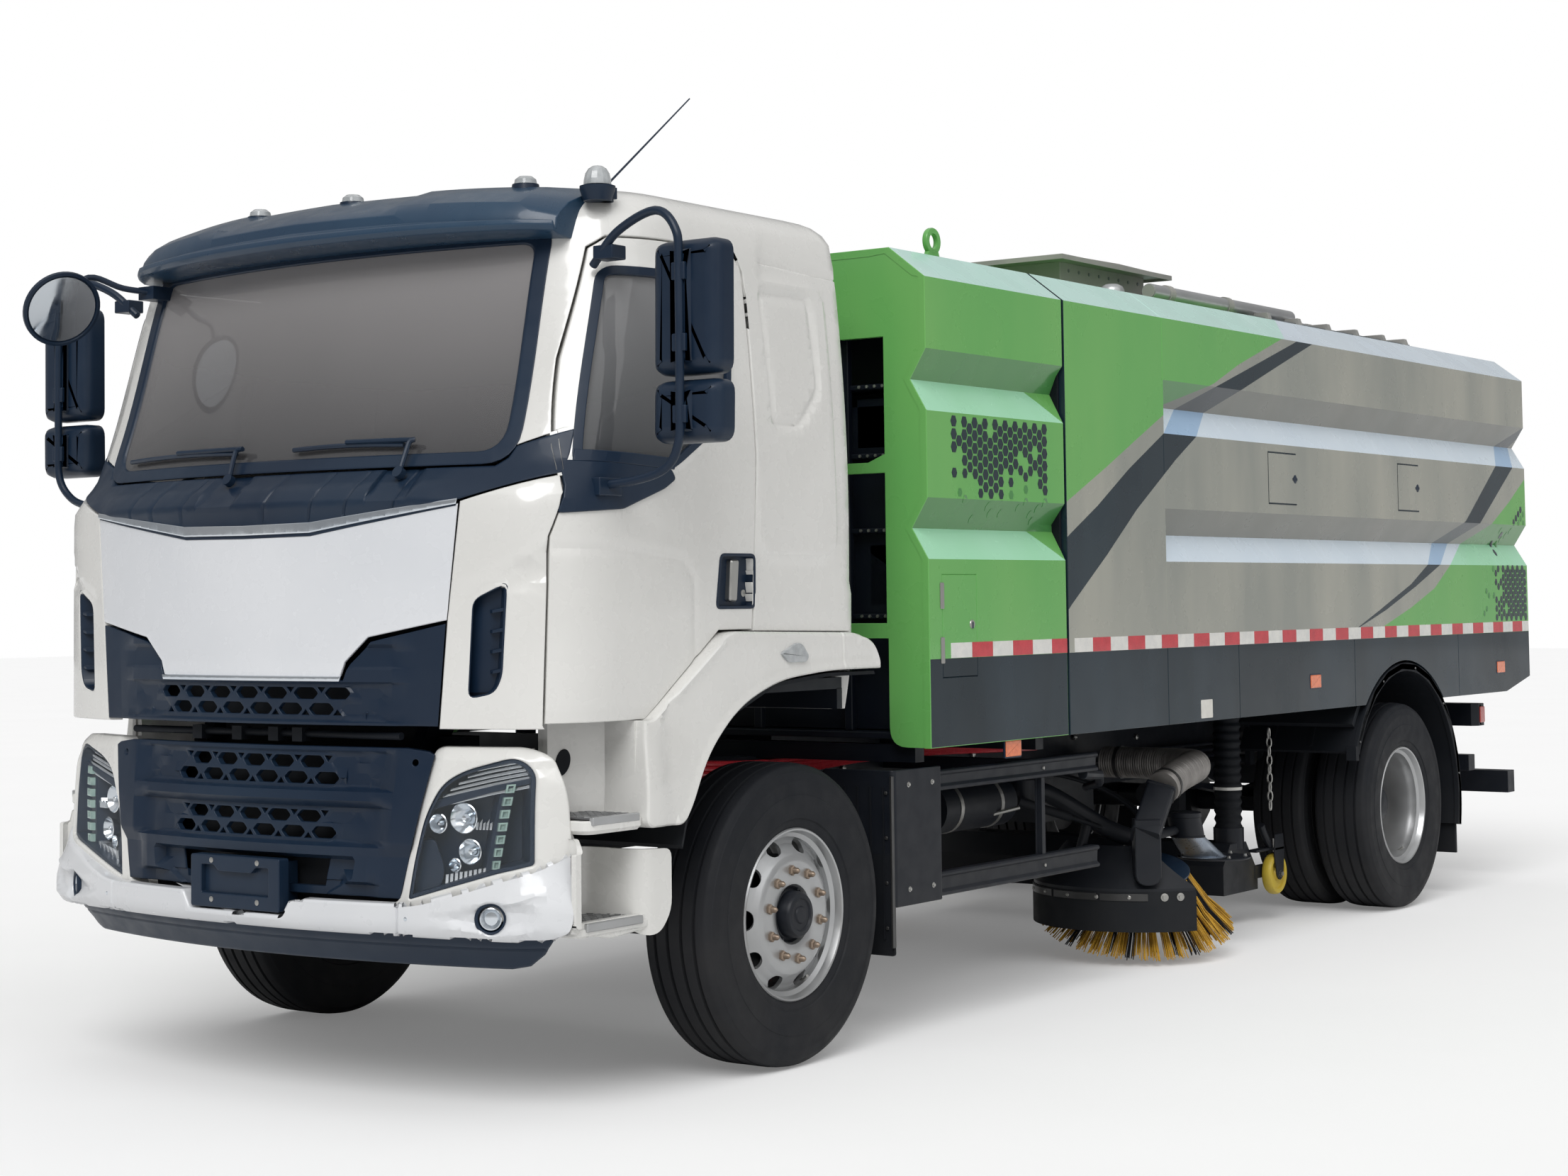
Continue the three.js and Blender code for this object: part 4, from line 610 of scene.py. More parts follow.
@dataclass(frozen=True)
class Piece:
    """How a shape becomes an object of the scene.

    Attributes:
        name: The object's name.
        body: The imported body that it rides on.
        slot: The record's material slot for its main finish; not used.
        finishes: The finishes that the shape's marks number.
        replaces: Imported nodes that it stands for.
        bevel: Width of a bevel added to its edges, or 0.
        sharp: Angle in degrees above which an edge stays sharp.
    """

    name: str
    body: str
    slot: str
    finishes: tuple["Finish", ...]
    replaces: tuple[str, ...] = ()
    bevel: float = 0.0
    sharp: float = 38.0

    def make(self, shape: Shape) -> bpy.types.Object:
        """Builds the object from a shape.

        Args:
            shape: The shape, drawn from the front axle.

        Returns:
            The new object, riding on its body.
        """
        mesh = bpy.data.meshes.new(self.name)
        mesh.from_pydata([p + AXLE for p in shape.points], [], shape.faces)
        for polygon, mark in zip(mesh.polygons, shape.marks):
            polygon.material_index = mark
        for finish in self.finishes:
            mesh.materials.append(finish.material())
        self._clean(mesh)
        obj = bpy.data.objects.new(self.name, mesh)
        bpy.context.scene.collection.objects.link(obj)
        finish_edges(obj, self.bevel, self.sharp)
        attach(obj, self.body)
        if self.replaces:
            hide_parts(*self.replaces)
        LOG.info("%s: %d faces on %s", self.name, len(mesh.polygons), self.body)
        return obj

    @staticmethod
    def _clean(mesh: bpy.types.Mesh) -> None:
        """Welds a mesh, drops what is flat or loose and turns its faces outwards.

        Args:
            mesh: Mesh that is changed.
        """
        work = bmesh.new()
        work.from_mesh(mesh)
        bmesh.ops.remove_doubles(work, verts=work.verts, dist=2e-5)
        bmesh.ops.dissolve_degenerate(work, edges=work.edges, dist=1e-5)
        bmesh.ops.delete(work, geom=[v for v in work.verts if not v.link_faces], context="VERTS")
        bmesh.ops.recalc_face_normals(work, faces=work.faces)
        work.to_mesh(mesh)
        work.free()


def finish_edges(obj: bpy.types.Object, bevel: float, sharp: float) -> None:
    """Gives an object smooth shading with crisp edges, and a bevel when its width is above 0.

    Args:
        obj: Mesh object.
        bevel: Width of the bevel.
        sharp: Angle in degrees from which an edge stays crisp when there is no bevel.
    """
    mesh = obj.data
    if bevel > 0:
        rounding = obj.modifiers.new("edge", "BEVEL")
        rounding.width = bevel
        rounding.segments = 2
        rounding.limit_method = "ANGLE"
        rounding.angle_limit = math.radians(28)
        rounding.miter_outer = "MITER_ARC"
        rounding.harden_normals = False
    mesh.shade_smooth()
    mesh.set_sharp_from_angle(angle=math.radians(sharp if bevel <= 0 else 75))
    weighting = obj.modifiers.new("shading", "WEIGHTED_NORMAL")
    weighting.keep_sharp = True


# ------------------------------------------------------------------ finishes


class Recipe:
    """A material's node tree while it is written."""

    def __init__(self, name: str) -> None:
        """Starts a material with one principled shader.

        Args:
            name: Name of the material.
        """
        self.material = bpy.data.materials.new(name)
        self.material.use_nodes = True
        self.tree = self.material.node_tree
        self.shader = self.tree.nodes["Principled BSDF"]
        self._spot: Optional[bpy.types.NodeSocket] = None

    def add(self, kind: str) -> bpy.types.Node:
        """Adds a node of a kind."""
        return self.tree.nodes.new(kind)

    def link(self, source: bpy.types.NodeSocket, target: bpy.types.NodeSocket) -> None:
        """Joins two sockets."""
        self.tree.links.new(source, target)

    def feed(self, source: bpy.types.NodeSocket, name: str) -> None:
        """Joins a socket to one of the shader's inputs."""
        self.link(source, self.shader.inputs[name])

    def steady(self, **values: object) -> None:
        """Sets the shader's own sockets; underscores stand for spaces."""
        for name, value in values.items():
            self.shader.inputs[name.replace("_", " ")].default_value = value

    @property
    def spot(self) -> bpy.types.NodeSocket:
        """The place on the object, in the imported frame.

        Returns:
            The socket of the place.
        """
        if self._spot is None:
            self._spot = self.add("ShaderNodeTexCoord").outputs["Object"]
        return self._spot

    def axis(self, name: str) -> bpy.types.NodeSocket:
        """One coordinate of the place, named X, Y or Z.

        Args:
            name: X, Y or Z.

        Returns:
            The socket of the coordinate.
        """
        parts = self.add("ShaderNodeSeparateXYZ")
        self.link(self.spot, parts.inputs[0])
        return parts.outputs[name]

    def math(self, word: str, *values: object) -> bpy.types.NodeSocket:
        """A sum of sockets and numbers.

        Args:
            word: Blender's name for the operation.
            values: Sockets or numbers, in order.

        Returns:
            The result's socket.
        """
        node = self.add("ShaderNodeMath")
        node.operation = word
        for socket, value in zip(node.inputs, values):
            if isinstance(value, (int, float)):
                socket.default_value = value
            else:
                self.link(value, socket)
        return node.outputs[0]

    def noise(self, scale: float, detail: float = 3.0, stretch: Sequence[float] = (1, 1, 1)) -> bpy.types.NodeSocket:
        """Soft noise over the object.

        Args:
            scale: Features per metre.
            detail: Finer layers.
            stretch: Share of the scale along each axis.

        Returns:
            The noise's value, from 0 to 1.
        """
        mapping = self.add("ShaderNodeMapping")
        mapping.inputs["Scale"].default_value = stretch
        self.link(self.spot, mapping.inputs["Vector"])
        node = self.add("ShaderNodeTexNoise")
        node.inputs["Scale"].default_value = scale
        node.inputs["Detail"].default_value = detail
        self.link(mapping.outputs[0], node.inputs["Vector"])
        return node.outputs["Fac"]

    def between(self, source: bpy.types.NodeSocket, low: float, high: float, to_low: float = 0.0,
                to_high: float = 1.0) -> bpy.types.NodeSocket:
        """Stretches a value from one range to another, clamped.

        Args:
            source: Value that is stretched.
            low: Where its range starts.
            high: Where its range ends.
            to_low: Value at the start.
            to_high: Value at the end.

        Returns:
            The socket of the stretched value.
        """
        node = self.add("ShaderNodeMapRange")
        for name, value in (("From Min", low), ("From Max", high), ("To Min", to_low), ("To Max", to_high)):
            node.inputs[name].default_value = value
        self.link(source, node.inputs["Value"])
        return node.outputs[0]

    def mix(self, share: bpy.types.NodeSocket, first: object, second: object) -> bpy.types.NodeSocket:
        """Blends two colours, given as sockets or as colours.

        Args:
            share: Share of the second.
            first: Colour where the share is 0.
            second: Colour where the share is 1.

        Returns:
            The blended colour's socket.
        """
        node = self.add("ShaderNodeMix")
        node.data_type = "RGBA"
        self.link(share, node.inputs["Factor"])
        for name, value in (("A", first), ("B", second)):
            socket = [s for s in node.inputs if s.name == name and s.type == "RGBA"][0]
            if isinstance(value, tuple):
                socket.default_value = (*value, 1.0)
            else:
                self.link(value, socket)
        return [s for s in node.outputs if s.type == "RGBA"][0]

    def bump(self, height: bpy.types.NodeSocket, strength: float, distance: float) -> None:
        """Roughens the shading by a height.

        Args:
            height: Height, from 0 to 1.
            strength: Share of the relief that shows.
            distance: Depth of the relief.
        """
        node = self.add("ShaderNodeBump")
        node.inputs["Strength"].default_value = strength
        node.inputs["Distance"].default_value = distance
        self.link(height, node.inputs["Height"])
        self.feed(node.outputs["Normal"], "Normal")


_MATERIALS: dict[str, bpy.types.Material] = {}


@dataclass(frozen=True)
class Finish:
    """A surface with a colour that varies a little, wear and fine grain.

    Attributes:
        name: The material's name.
        colour: Main colour.
        shade: Colour of the darker or dustier patches.
        rough: Middle roughness.
        metal: 1 for bare metal.
        coat: Clear coat.
        shine: Level of the plain reflection.
        patch: Patches per metre.
        grain: Grain per metre.
        relief: Strength of the grain's bump.
        dust: How much road dust lies on the lower surfaces.
    """

    name: str
    colour: Colour
    shade: Colour
    rough: float = 0.4
    metal: float = 0.0
    coat: float = 0.0
    shine: float = 0.5
    patch: float = 1.6
    grain: float = 220.0
    relief: float = 0.03
    dust: float = 0.0

    def material(self) -> bpy.types.Material:
        """The finish's material, made once.

        Returns:
            The material.
        """
        if self.name not in _MATERIALS:
            recipe = Recipe(self.name)
            self.write(recipe)
            _MATERIALS[self.name] = recipe.material
        return _MATERIALS[self.name]

    def write(self, recipe: Recipe) -> None:
        """Writes the material's nodes.

        Args:
            recipe: Recipe of the new material.
        """
        recipe.steady(Metallic=self.metal, Coat_Weight=self.coat, Coat_Roughness=0.06, Specular_IOR_Level=self.shine)
        colour = self.tint(recipe)
        if self.dust > 0:
            height = recipe.between(recipe.axis("Z"), 1.15, 0.15, 0.0, self.dust)
            cover = recipe.math("MULTIPLY", height, recipe.noise(5.0, 6.0))
            colour = recipe.mix(cover, colour, (0.30, 0.27, 0.23))
        recipe.feed(colour, "Base Color")
        wear = recipe.noise(self.patch * 9, 5.0)
        recipe.feed(recipe.between(wear, 0.3, 0.7, self.rough - 0.06, self.rough + 0.09), "Roughness")
        recipe.bump(recipe.noise(self.grain, 2.0), self.relief, 0.002)

    def tint(self, recipe: Recipe) -> bpy.types.NodeSocket:
        """The colour over the object."""
        return recipe.mix(recipe.between(recipe.noise(self.patch, 4.0), 0.35, 0.75), self.colour, self.shade)


@dataclass(frozen=True)
class Glazing(Finish):
    """Tinted glass with painted light: a painted sky reflection, lighter towards its upper edge, and painted shade,
    darker towards its lower edge.

    Attributes:
        low: Height at which the painted shade is darkest.
        high: Height at which the painted reflection is lightest.
        cover: How much of what is behind the glass is hidden.
    """

    low: float = 1.9
    high: float = 2.8
    cover: float = 0.72

    def write(self, recipe: Recipe) -> None:
        """Writes the glass's nodes.

        Args:
            recipe: Recipe of the new material.
        """
        recipe.steady(Metallic=0.0, Alpha=self.cover, Coat_Weight=0.6, Coat_Roughness=0.02)
        # The colour runs from the painted shade low down to the painted sky reflection high up, with a wavy edge.
        rise = recipe.between(recipe.axis("Z"), self.low, self.high)
        wave = recipe.math("MULTIPLY_ADD", recipe.noise(1.2, 2.0), 0.16, rise)
        recipe.feed(recipe.mix(recipe.between(wave, 0.05, 1.05), self.shade, self.colour), "Base Color")
        recipe.feed(recipe.between(recipe.noise(6.0), 0.3, 0.7, 0.03, 0.07), "Roughness")
        recipe.bump(recipe.noise(3.0, 1.0), 0.02, 0.01)


WHITE = Finish("cab_white", (0.72, 0.715, 0.69), (0.66, 0.655, 0.63), 0.26, coat=0.7, relief=0.015)
PANEL_WHITE = Finish("panel_white", (0.72, 0.735, 0.76), (0.65, 0.67, 0.70), 0.24, coat=0.8, relief=0.012)
SILVER = Finish("bumper_silver", (0.69, 0.70, 0.715), (0.62, 0.635, 0.66), 0.3, coat=0.5, relief=0.02, dust=0.05)
PLASTIC = Finish("navy_plastic", (0.006, 0.016, 0.036), (0.012, 0.026, 0.050), 0.36, coat=0.06, shine=0.3,
                 relief=0.05, grain=700)
VISOR_PLASTIC = Finish("visor_plastic", (0.020, 0.052, 0.096), (0.012, 0.034, 0.070), 0.3, coat=0.25, shine=0.35,
                       relief=0.03)
BLACK = Finish("chassis_paint", (0.0035, 0.006, 0.012), (0.009, 0.012, 0.017), 0.42, shine=0.28, relief=0.06,
               dust=0.07)
RUBBER = Finish("black_rubber", (0.004, 0.006, 0.010), (0.009, 0.011, 0.014), 0.6, shine=0.2, relief=0.12, grain=420,
                dust=0.05)
TYRE = Finish("tyre_rubber", (0.005, 0.007, 0.011), (0.012, 0.013, 0.016), 0.62, shine=0.24, relief=0.22, grain=300,
              dust=0.06)
CHROME = Finish("bright_trim", (0.78, 0.82, 0.86), (0.62, 0.68, 0.75), 0.13, metal=1.0, relief=0.01)
STEEL = Finish("wheel_silver", (0.50, 0.51, 0.52), (0.38, 0.385, 0.39), 0.34, metal=0.75, relief=0.05, dust=0.2)
TREAD = Finish("tread_metal", (0.15, 0.15, 0.155), (0.09, 0.09, 0.095), 0.5, metal=0.35, relief=0.06, shine=0.3)
BOLT = Finish("zinc_bolt", (0.50, 0.50, 0.48), (0.36, 0.35, 0.33), 0.36, metal=0.9, relief=0.08)
BRONZE = Finish("nut_bronze", (0.33, 0.26, 0.20), (0.22, 0.16, 0.12), 0.4, metal=0.8, relief=0.08)
TRIM = Finish("cab_trim", (0.045, 0.048, 0.055), (0.028, 0.030, 0.036), 0.7, shine=0.3, relief=0.15, grain=520)
SEAT = Finish("seat_fabric", (0.11, 0.115, 0.125), (0.07, 0.072, 0.08), 0.9, relief=0.4, grain=900)
# In each glass below, the lighter colour is the painted sky reflection towards the top and the darker colour the
# painted shade towards the bottom.
LENS = Glazing("clear_lens", (0.50, 0.54, 0.56), (0.40, 0.45, 0.48), low=0.4, high=1.2, cover=0.035)
SCREEN = Glazing("screen_glass", (0.36, 0.345, 0.345), (0.045, 0.046, 0.05), low=2.0, high=2.85, cover=0.74)
SIDE_GLASS = Glazing("side_glass", (0.30, 0.30, 0.305), (0.035, 0.04, 0.045), low=1.95, high=2.7, cover=0.76)
MIRROR_GLASS = Finish("mirror_glass", (0.62, 0.66, 0.70), (0.52, 0.56, 0.6), 0.06, metal=1.0, relief=0.004)
AMBER = Finish("amber_lens", (0.80, 0.17, 0.03), (0.62, 0.11, 0.02), 0.2, coat=0.8, patch=60, relief=0.2, grain=160)
DRL = Finish("lamp_square", (0.30, 0.42, 0.38), (0.20, 0.30, 0.28), 0.15, coat=0.8, patch=40)
GREY_LENS = Finish("grey_dome", (0.46, 0.48, 0.49), (0.30, 0.32, 0.33), 0.22, coat=0.7, patch=30, relief=0.1)
BRISTLE = Finish("straw_bristle", (0.62, 0.36, 0.035), (0.36, 0.20, 0.03), 0.6, patch=22, relief=0.1)
YELLOW = Finish("caster_tread", (0.68, 0.50, 0.02), (0.52, 0.37, 0.02), 0.42, patch=12, relief=0.06, dust=0.3)
ELBOW = Finish("elbow_hose", (0.30, 0.285, 0.27), (0.17, 0.16, 0.155), 0.36, metal=0.35, patch=9, relief=0.35,
               grain=420)
CONE = Finish("cone_steel", (0.40, 0.45, 0.52), (0.16, 0.20, 0.26), 0.3, metal=0.7, patch=6, relief=0.06)
BLANK = Finish("blank_label", (0.72, 0.71, 0.66), (0.62, 0.60, 0.55), 0.5, patch=20)


# ------------------------------------------------------------------ cab skin


def glide(xs: Sequence[float], ys: Sequence[float], x: float) -> float:
    """Smooth curve through points that never overshoots them.

    Args:
        xs: Rising places of the points.
        ys: Their values.
        x: Where the curve is read; beyond the ends it keeps the last value.

    Returns:
        The curve's value.
    """
    x = min(max(x, xs[0]), xs[-1])
    i = max(k for k in range(len(xs) - 1) if xs[k] <= x)

    def secant(k: int) -> float:
        """Slope of the chord from knot k to the next."""
        return (ys[k + 1] - ys[k]) / (xs[k + 1] - xs[k])

    def slope(k: int) -> float:
        """Slope of the curve at a knot, 0 where it turns back.

        Args:
            k: Index of the knot.

        Returns:
            The slope.
        """
        if k in (0, len(xs) - 1):
            return secant(min(k, len(xs) - 2))
        a, b = secant(k - 1), secant(k)
        return 0.0 if a * b <= 0 else 2 * a * b / (a + b)

    h = xs[i + 1] - xs[i]
    t = (x - xs[i]) / h
    rise = t * t * (3 - 2 * t)
    return (ys[i] * (1 - rise) + ys[i + 1] * rise
            + h * t * (1 - t) * ((1 - t) * slope(i) - t * slope(i + 1)))


@dataclass(frozen=True)
class Row:
    """One level of a skin: its height z at v, the nose, half width, rear wall and roof lift.

    Attributes:
        v: Place of the level on the unrolled skin.
        z: Its height.
        front: y of its nose.
        half: Half its width.
        back: y of its rear wall.
        lift: How much it rises for each metre outside the skin.
    """

    v: float
    z: float
    front: float
    half: float
    back: float
    lift: float = 0.0


@dataclass(frozen=True)
class Skin:
    """A skin wrapped round the cab: u runs round it from the middle of the nose and v runs up.

    Attributes:
        rows: Levels from the lowest up.
        top: v of the roof's middle, above the last row.
        bow: Forward bow of the nose, per metre.
        reach: How far from the side the corner starts.
        run: Length of the corner along the side.
        rear: Radius of the rear corners.
        spans: Lengths given to nose, corner, side, rear corner and half the rear wall.
    """

    rows: tuple[Row, ...]
    top: float = 4.0
    bow: float = 0.15
    reach: float = 0.215
    run: float = 0.240
    rear: float = 0.060
    spans: tuple[float, ...] = (0.98, 0.33, 1.30, 0.094, 1.13)

    def row(self, v: float) -> list[float]:
        """Height, nose, half width, rear wall and lift at a level.

        Args:
            v: Place of the level.

        Returns:
            The five values at that level.
        """
        vs = [r.v for r in self.rows]
        columns = zip(*((r.z, r.front, r.half, r.back, r.lift) for r in self.rows))
        return [glide(vs, column, v) for column in columns]

    def corner(self, front: float, half: float) -> tuple[float, float, float, float]:
        """The corner's start (x, y), the y of its bend and the y of its end.

        Args:
            front: y of the nose at that level.
            half: Half width at that level.

        Returns:
            Those four values.
        """
        bend_x = half - self.reach
        bend_y = front + self.bow * bend_x * bend_x
        corner_y = bend_y + 2 * self.bow * bend_x * self.reach
        return bend_x, bend_y, corner_y, corner_y + self.run

    def point(self, u: float, v: float, w: float) -> Vector:
        """Point of the skin, w outside it.

        Args:
            u: Length run from the middle of the nose, above 0 on the left.
            v: Place of the level.
            w: Distance outside the skin.

        Returns:
            The point, in the axle frame.
        """
        z, front, half, back, lift = self.row(v)
        z, front, half, back = z + lift * w, front - w, half + w, back + w
        bend_x, bend_y, corner_y, end_y = self.corner(front, half)
        a, b, c, d, e = self.spans
        s = abs(u)
        if s <= a:
            x = bend_x * s / a
            y = front + self.bow * x * x
        elif s <= a + b:
            t = (s - a) / b
            x = half - self.reach * (1 - t) ** 2
            y = bend_y * (1 - t) ** 2 + 2 * corner_y * t * (1 - t) + end_y * t * t
        elif s <= a + b + c:
            x, y = half, end_y + (back - self.rear - end_y) * (s - a - b) / c
        elif s <= a + b + c + d:
            angle = (s - a - b - c) / d * math.pi / 2
            x = half - self.rear * (1 - math.cos(angle))
            y = back - self.rear * (1 - math.sin(angle))
        else:
            x, y = (half - self.rear) * max(0.0, 1 - (s - a - b - c - d) / e), back
        last = self.rows[-1].v
        if v > last:
            k = max(0.0, 1 - (v - last) / (self.top - last))
            middle = (front + back) / 2
            x, y, z = x * k, middle + (y - middle) * k, z + 0.012 * (1 - k * k)
        return Vector((math.copysign(x, u), y, z))

    @property
    def whole(self) -> float:
        """u of the middle of the rear wall."""
        return sum(self.spans)

    def front(self, loop: Sequence[Point2], pitch: float = 0.05, closed: bool = True) -> Loop:
        """Outline in (x, z) as an outline on the skin.

        Args:
            loop: Outline seen from the front.
            pitch: Longest edge that stays whole.
            closed: Whether the last point joins the first.

        Returns:
            The outline in (u, v).
        """
        moved = []
        for x, z in split(list(loop), pitch, closed):
            _, nose, half, _, _ = self.row(z)
            bend_x = self.corner(nose, half)[0]
            s = abs(x)
            if s <= bend_x:
                u = self.spans[0] * s / bend_x
            else:
                u = self.spans[0] + self.spans[1] * (1 - math.sqrt(max(0.0, (half - s) / self.reach)))
            moved.append((math.copysign(u, x), z))
        return moved

    def side(self, loop: Sequence[Point2], pitch: float = 0.05, closed: bool = True) -> Loop:
        """Outline in (y, z) on the left side as an outline on the skin.

        Args:
            loop: Outline seen from the left.
            pitch: Longest edge that stays whole.
            closed: Whether the last point joins the first.

        Returns:
            The outline in (u, v).
        """
        moved = []
        for y, z in split(list(loop), pitch, closed):
            _, nose, half, back, _ = self.row(z)
            _, bend_y, corner_y, end_y = self.corner(nose, half)
            a, b, c = self.spans[:3]
            if y >= end_y:
                u = a + b + c * (y - end_y) / (back - self.rear - end_y)
            else:
                curve, lean, rest = bend_y - 2 * corner_y + end_y, 2 * (corner_y - bend_y), bend_y - y
                root = math.sqrt(max(0.0, lean * lean - 4 * curve * rest))
                u = a + b * max(0.0, (root - lean) / (2 * curve))
            moved.append((u, z))
        return moved


CAB_SKIN = Skin((
    Row(1.100, 1.100, -1.404, 1.188, 0.400), Row(1.190, 1.190, -1.404, 1.188, 0.400),
    Row(1.888, 1.888, -1.402, 1.194, 0.400), Row(2.035, 2.035, -1.290, 1.192, 0.400),
    Row(2.740, 2.740, -1.066, 1.144, 0.398, 0.2), Row(2.848, 2.840, -1.026, 1.120, 0.388, 0.6),
    Row(2.938, 2.900, -0.960, 1.062, 0.350, 1.0), Row(3.060, 2.932, -0.850, 0.952, 0.290, 1.0),
    Row(3.300, 2.952, -0.640, 0.712, 0.180, 1.0),
))
LOWER_SKIN = Skin((
    Row(0.440, 0.440, -1.380, 1.184, -0.600), Row(0.560, 0.560, -1.405, 1.184, -0.600),
    Row(0.900, 0.900, -1.392, 1.184, -0.600), Row(1.136, 1.136, -1.368, 1.184, -0.600),
))
SCREEN_LOOP = rounded([(-0.905, 2.052), (0.905, 2.052), (0.872, 2.728), (-0.872, 2.728)],
                      [0.09, 0.09, 0.05, 0.05], 6)
PANEL_HALF = [(0, 1.797), (0.29, 1.800), (0.842, 1.888), (0.803, 1.524), (0.518, 1.472), (0.430, 1.395),
              (0.410, 1.345), (0, 1.345)]
COWL_HALF = [(0, 1.806), (0.29, 1.809), (0.842, 1.897), (1.112, 1.975), (1.104, 2.120), (0.945, 2.066),
             (0.930, 2.030), (0.900, 2.006), (0, 2.004)]
GRILLE_HALF = [(0, 1.340), (0.418, 1.340), (0.440, 1.388), (0.526, 1.461), (0.799, 1.516), (0.771, 1.196),
               (0, 1.196)]
DOOR_LOOP = [(-1.193, 1.206), (-0.809, 1.206), (-0.419, 1.480), (-0.234, 1.480), (-0.204, 2.065),
             (-0.222, 2.680), (-0.270, 2.752), (-0.850, 2.742), (-0.897, 2.705), (-1.020, 2.341),
             (-1.100, 2.050), (-1.181, 1.778)]
WINDOW_LOOP = rounded([(-1.071, 2.010), (-0.679, 1.996), (-0.352, 2.186), (-0.308, 2.546), (-0.380, 2.640),
                       (-0.890, 2.635)], [0.02, 0.06, 0.08, 0.10, 0.09, 0.045], 6)
FENDER_LOOP = [(-0.866, 0.869), (-0.850, 1.204), (-0.808, 1.204), (-0.418, 1.476), (0.346, 1.460),
               (0.440, 1.420), (0.474, 1.362), (0.474, 1.331), (0.166, 1.332), (-0.148, 1.307),
               (-0.380, 1.222), (-0.537, 1.085), (-0.626, 0.922), (-0.669, 0.867)]
DOOR_GAP = 0.005


def hexagon(u: float, v: float, width: float, height: float) -> Loop:
    """Elongated hexagon about a point.

    Args:
        u: First place of its middle.
        v: Second place of its middle.
        width: Its whole width.
        height: Its whole height.

    Returns:
        The closed outline, with its corners eased.
    """
    w, h = width / 2, height / 2
    return rounded([(u - w, v), (u - w * 0.62, v - h), (u + w * 0.62, v - h), (u + w, v),
                    (u + w * 0.62, v + h), (u - w * 0.62, v + h)], 0.006, 2)


@dataclass(frozen=True)
class MeshBand:
    """A band of long hexagons with small triangles between them.

    Attributes:
        low: Height of the lower edge.
        high: Height of the upper edge.
        reach: Half the band's length.
        open_reach: Half the length that is open; beyond it the pattern is only pressed in.
        pitch: Spacing of the hexagons.
    """

    low: float
    high: float
    reach: float
    open_reach: float
    pitch: float = 0.132

    def holes(self) -> list[Loop]:
        """The pattern's outlines, every second row shifted by half a pitch.

        Returns:
            Closed outlines, all turning the same way.
        """
        middle, row = (self.low + self.high) / 2, (self.high - self.low) / 2
        loops: list[Loop] = []
        count = int(self.reach / self.pitch)
        for k in range(-count, count + 1):
            for up, shift in ((0.5, 0.0), (-0.5, 0.5)):
                u = (k + shift) * self.pitch
                if abs(u) + self.pitch * 0.45 < self.reach:
                    loops.append(hexagon(u, middle + up * row, self.pitch * 0.80, row * 0.74))
            for up, shift in ((1, 0.5), (-1, 0.0)):
                u, tip = (k + shift) * self.pitch, middle + up * row * 0.52
                wide = self.pitch * 0.12
                if abs(u) + wide < self.reach:
                    loops.append([(u - wide, tip + up * row * 0.36), (u, tip), (u + wide, tip + up * row * 0.36)])
        return [loop if area(loop) > 0 else list(reversed(loop)) for loop in loops]

    def split_holes(self) -> tuple[list[Loop], list[Loop]]:
        """Open outlines, and those that are only pressed in.

        Returns:
            The open ones and the pressed ones.
        """
        through, pressed = [], []
        for loop in self.holes():
            (through if abs(_middle(loop)[0]) < self.open_reach else pressed).append(loop)
        return through, pressed


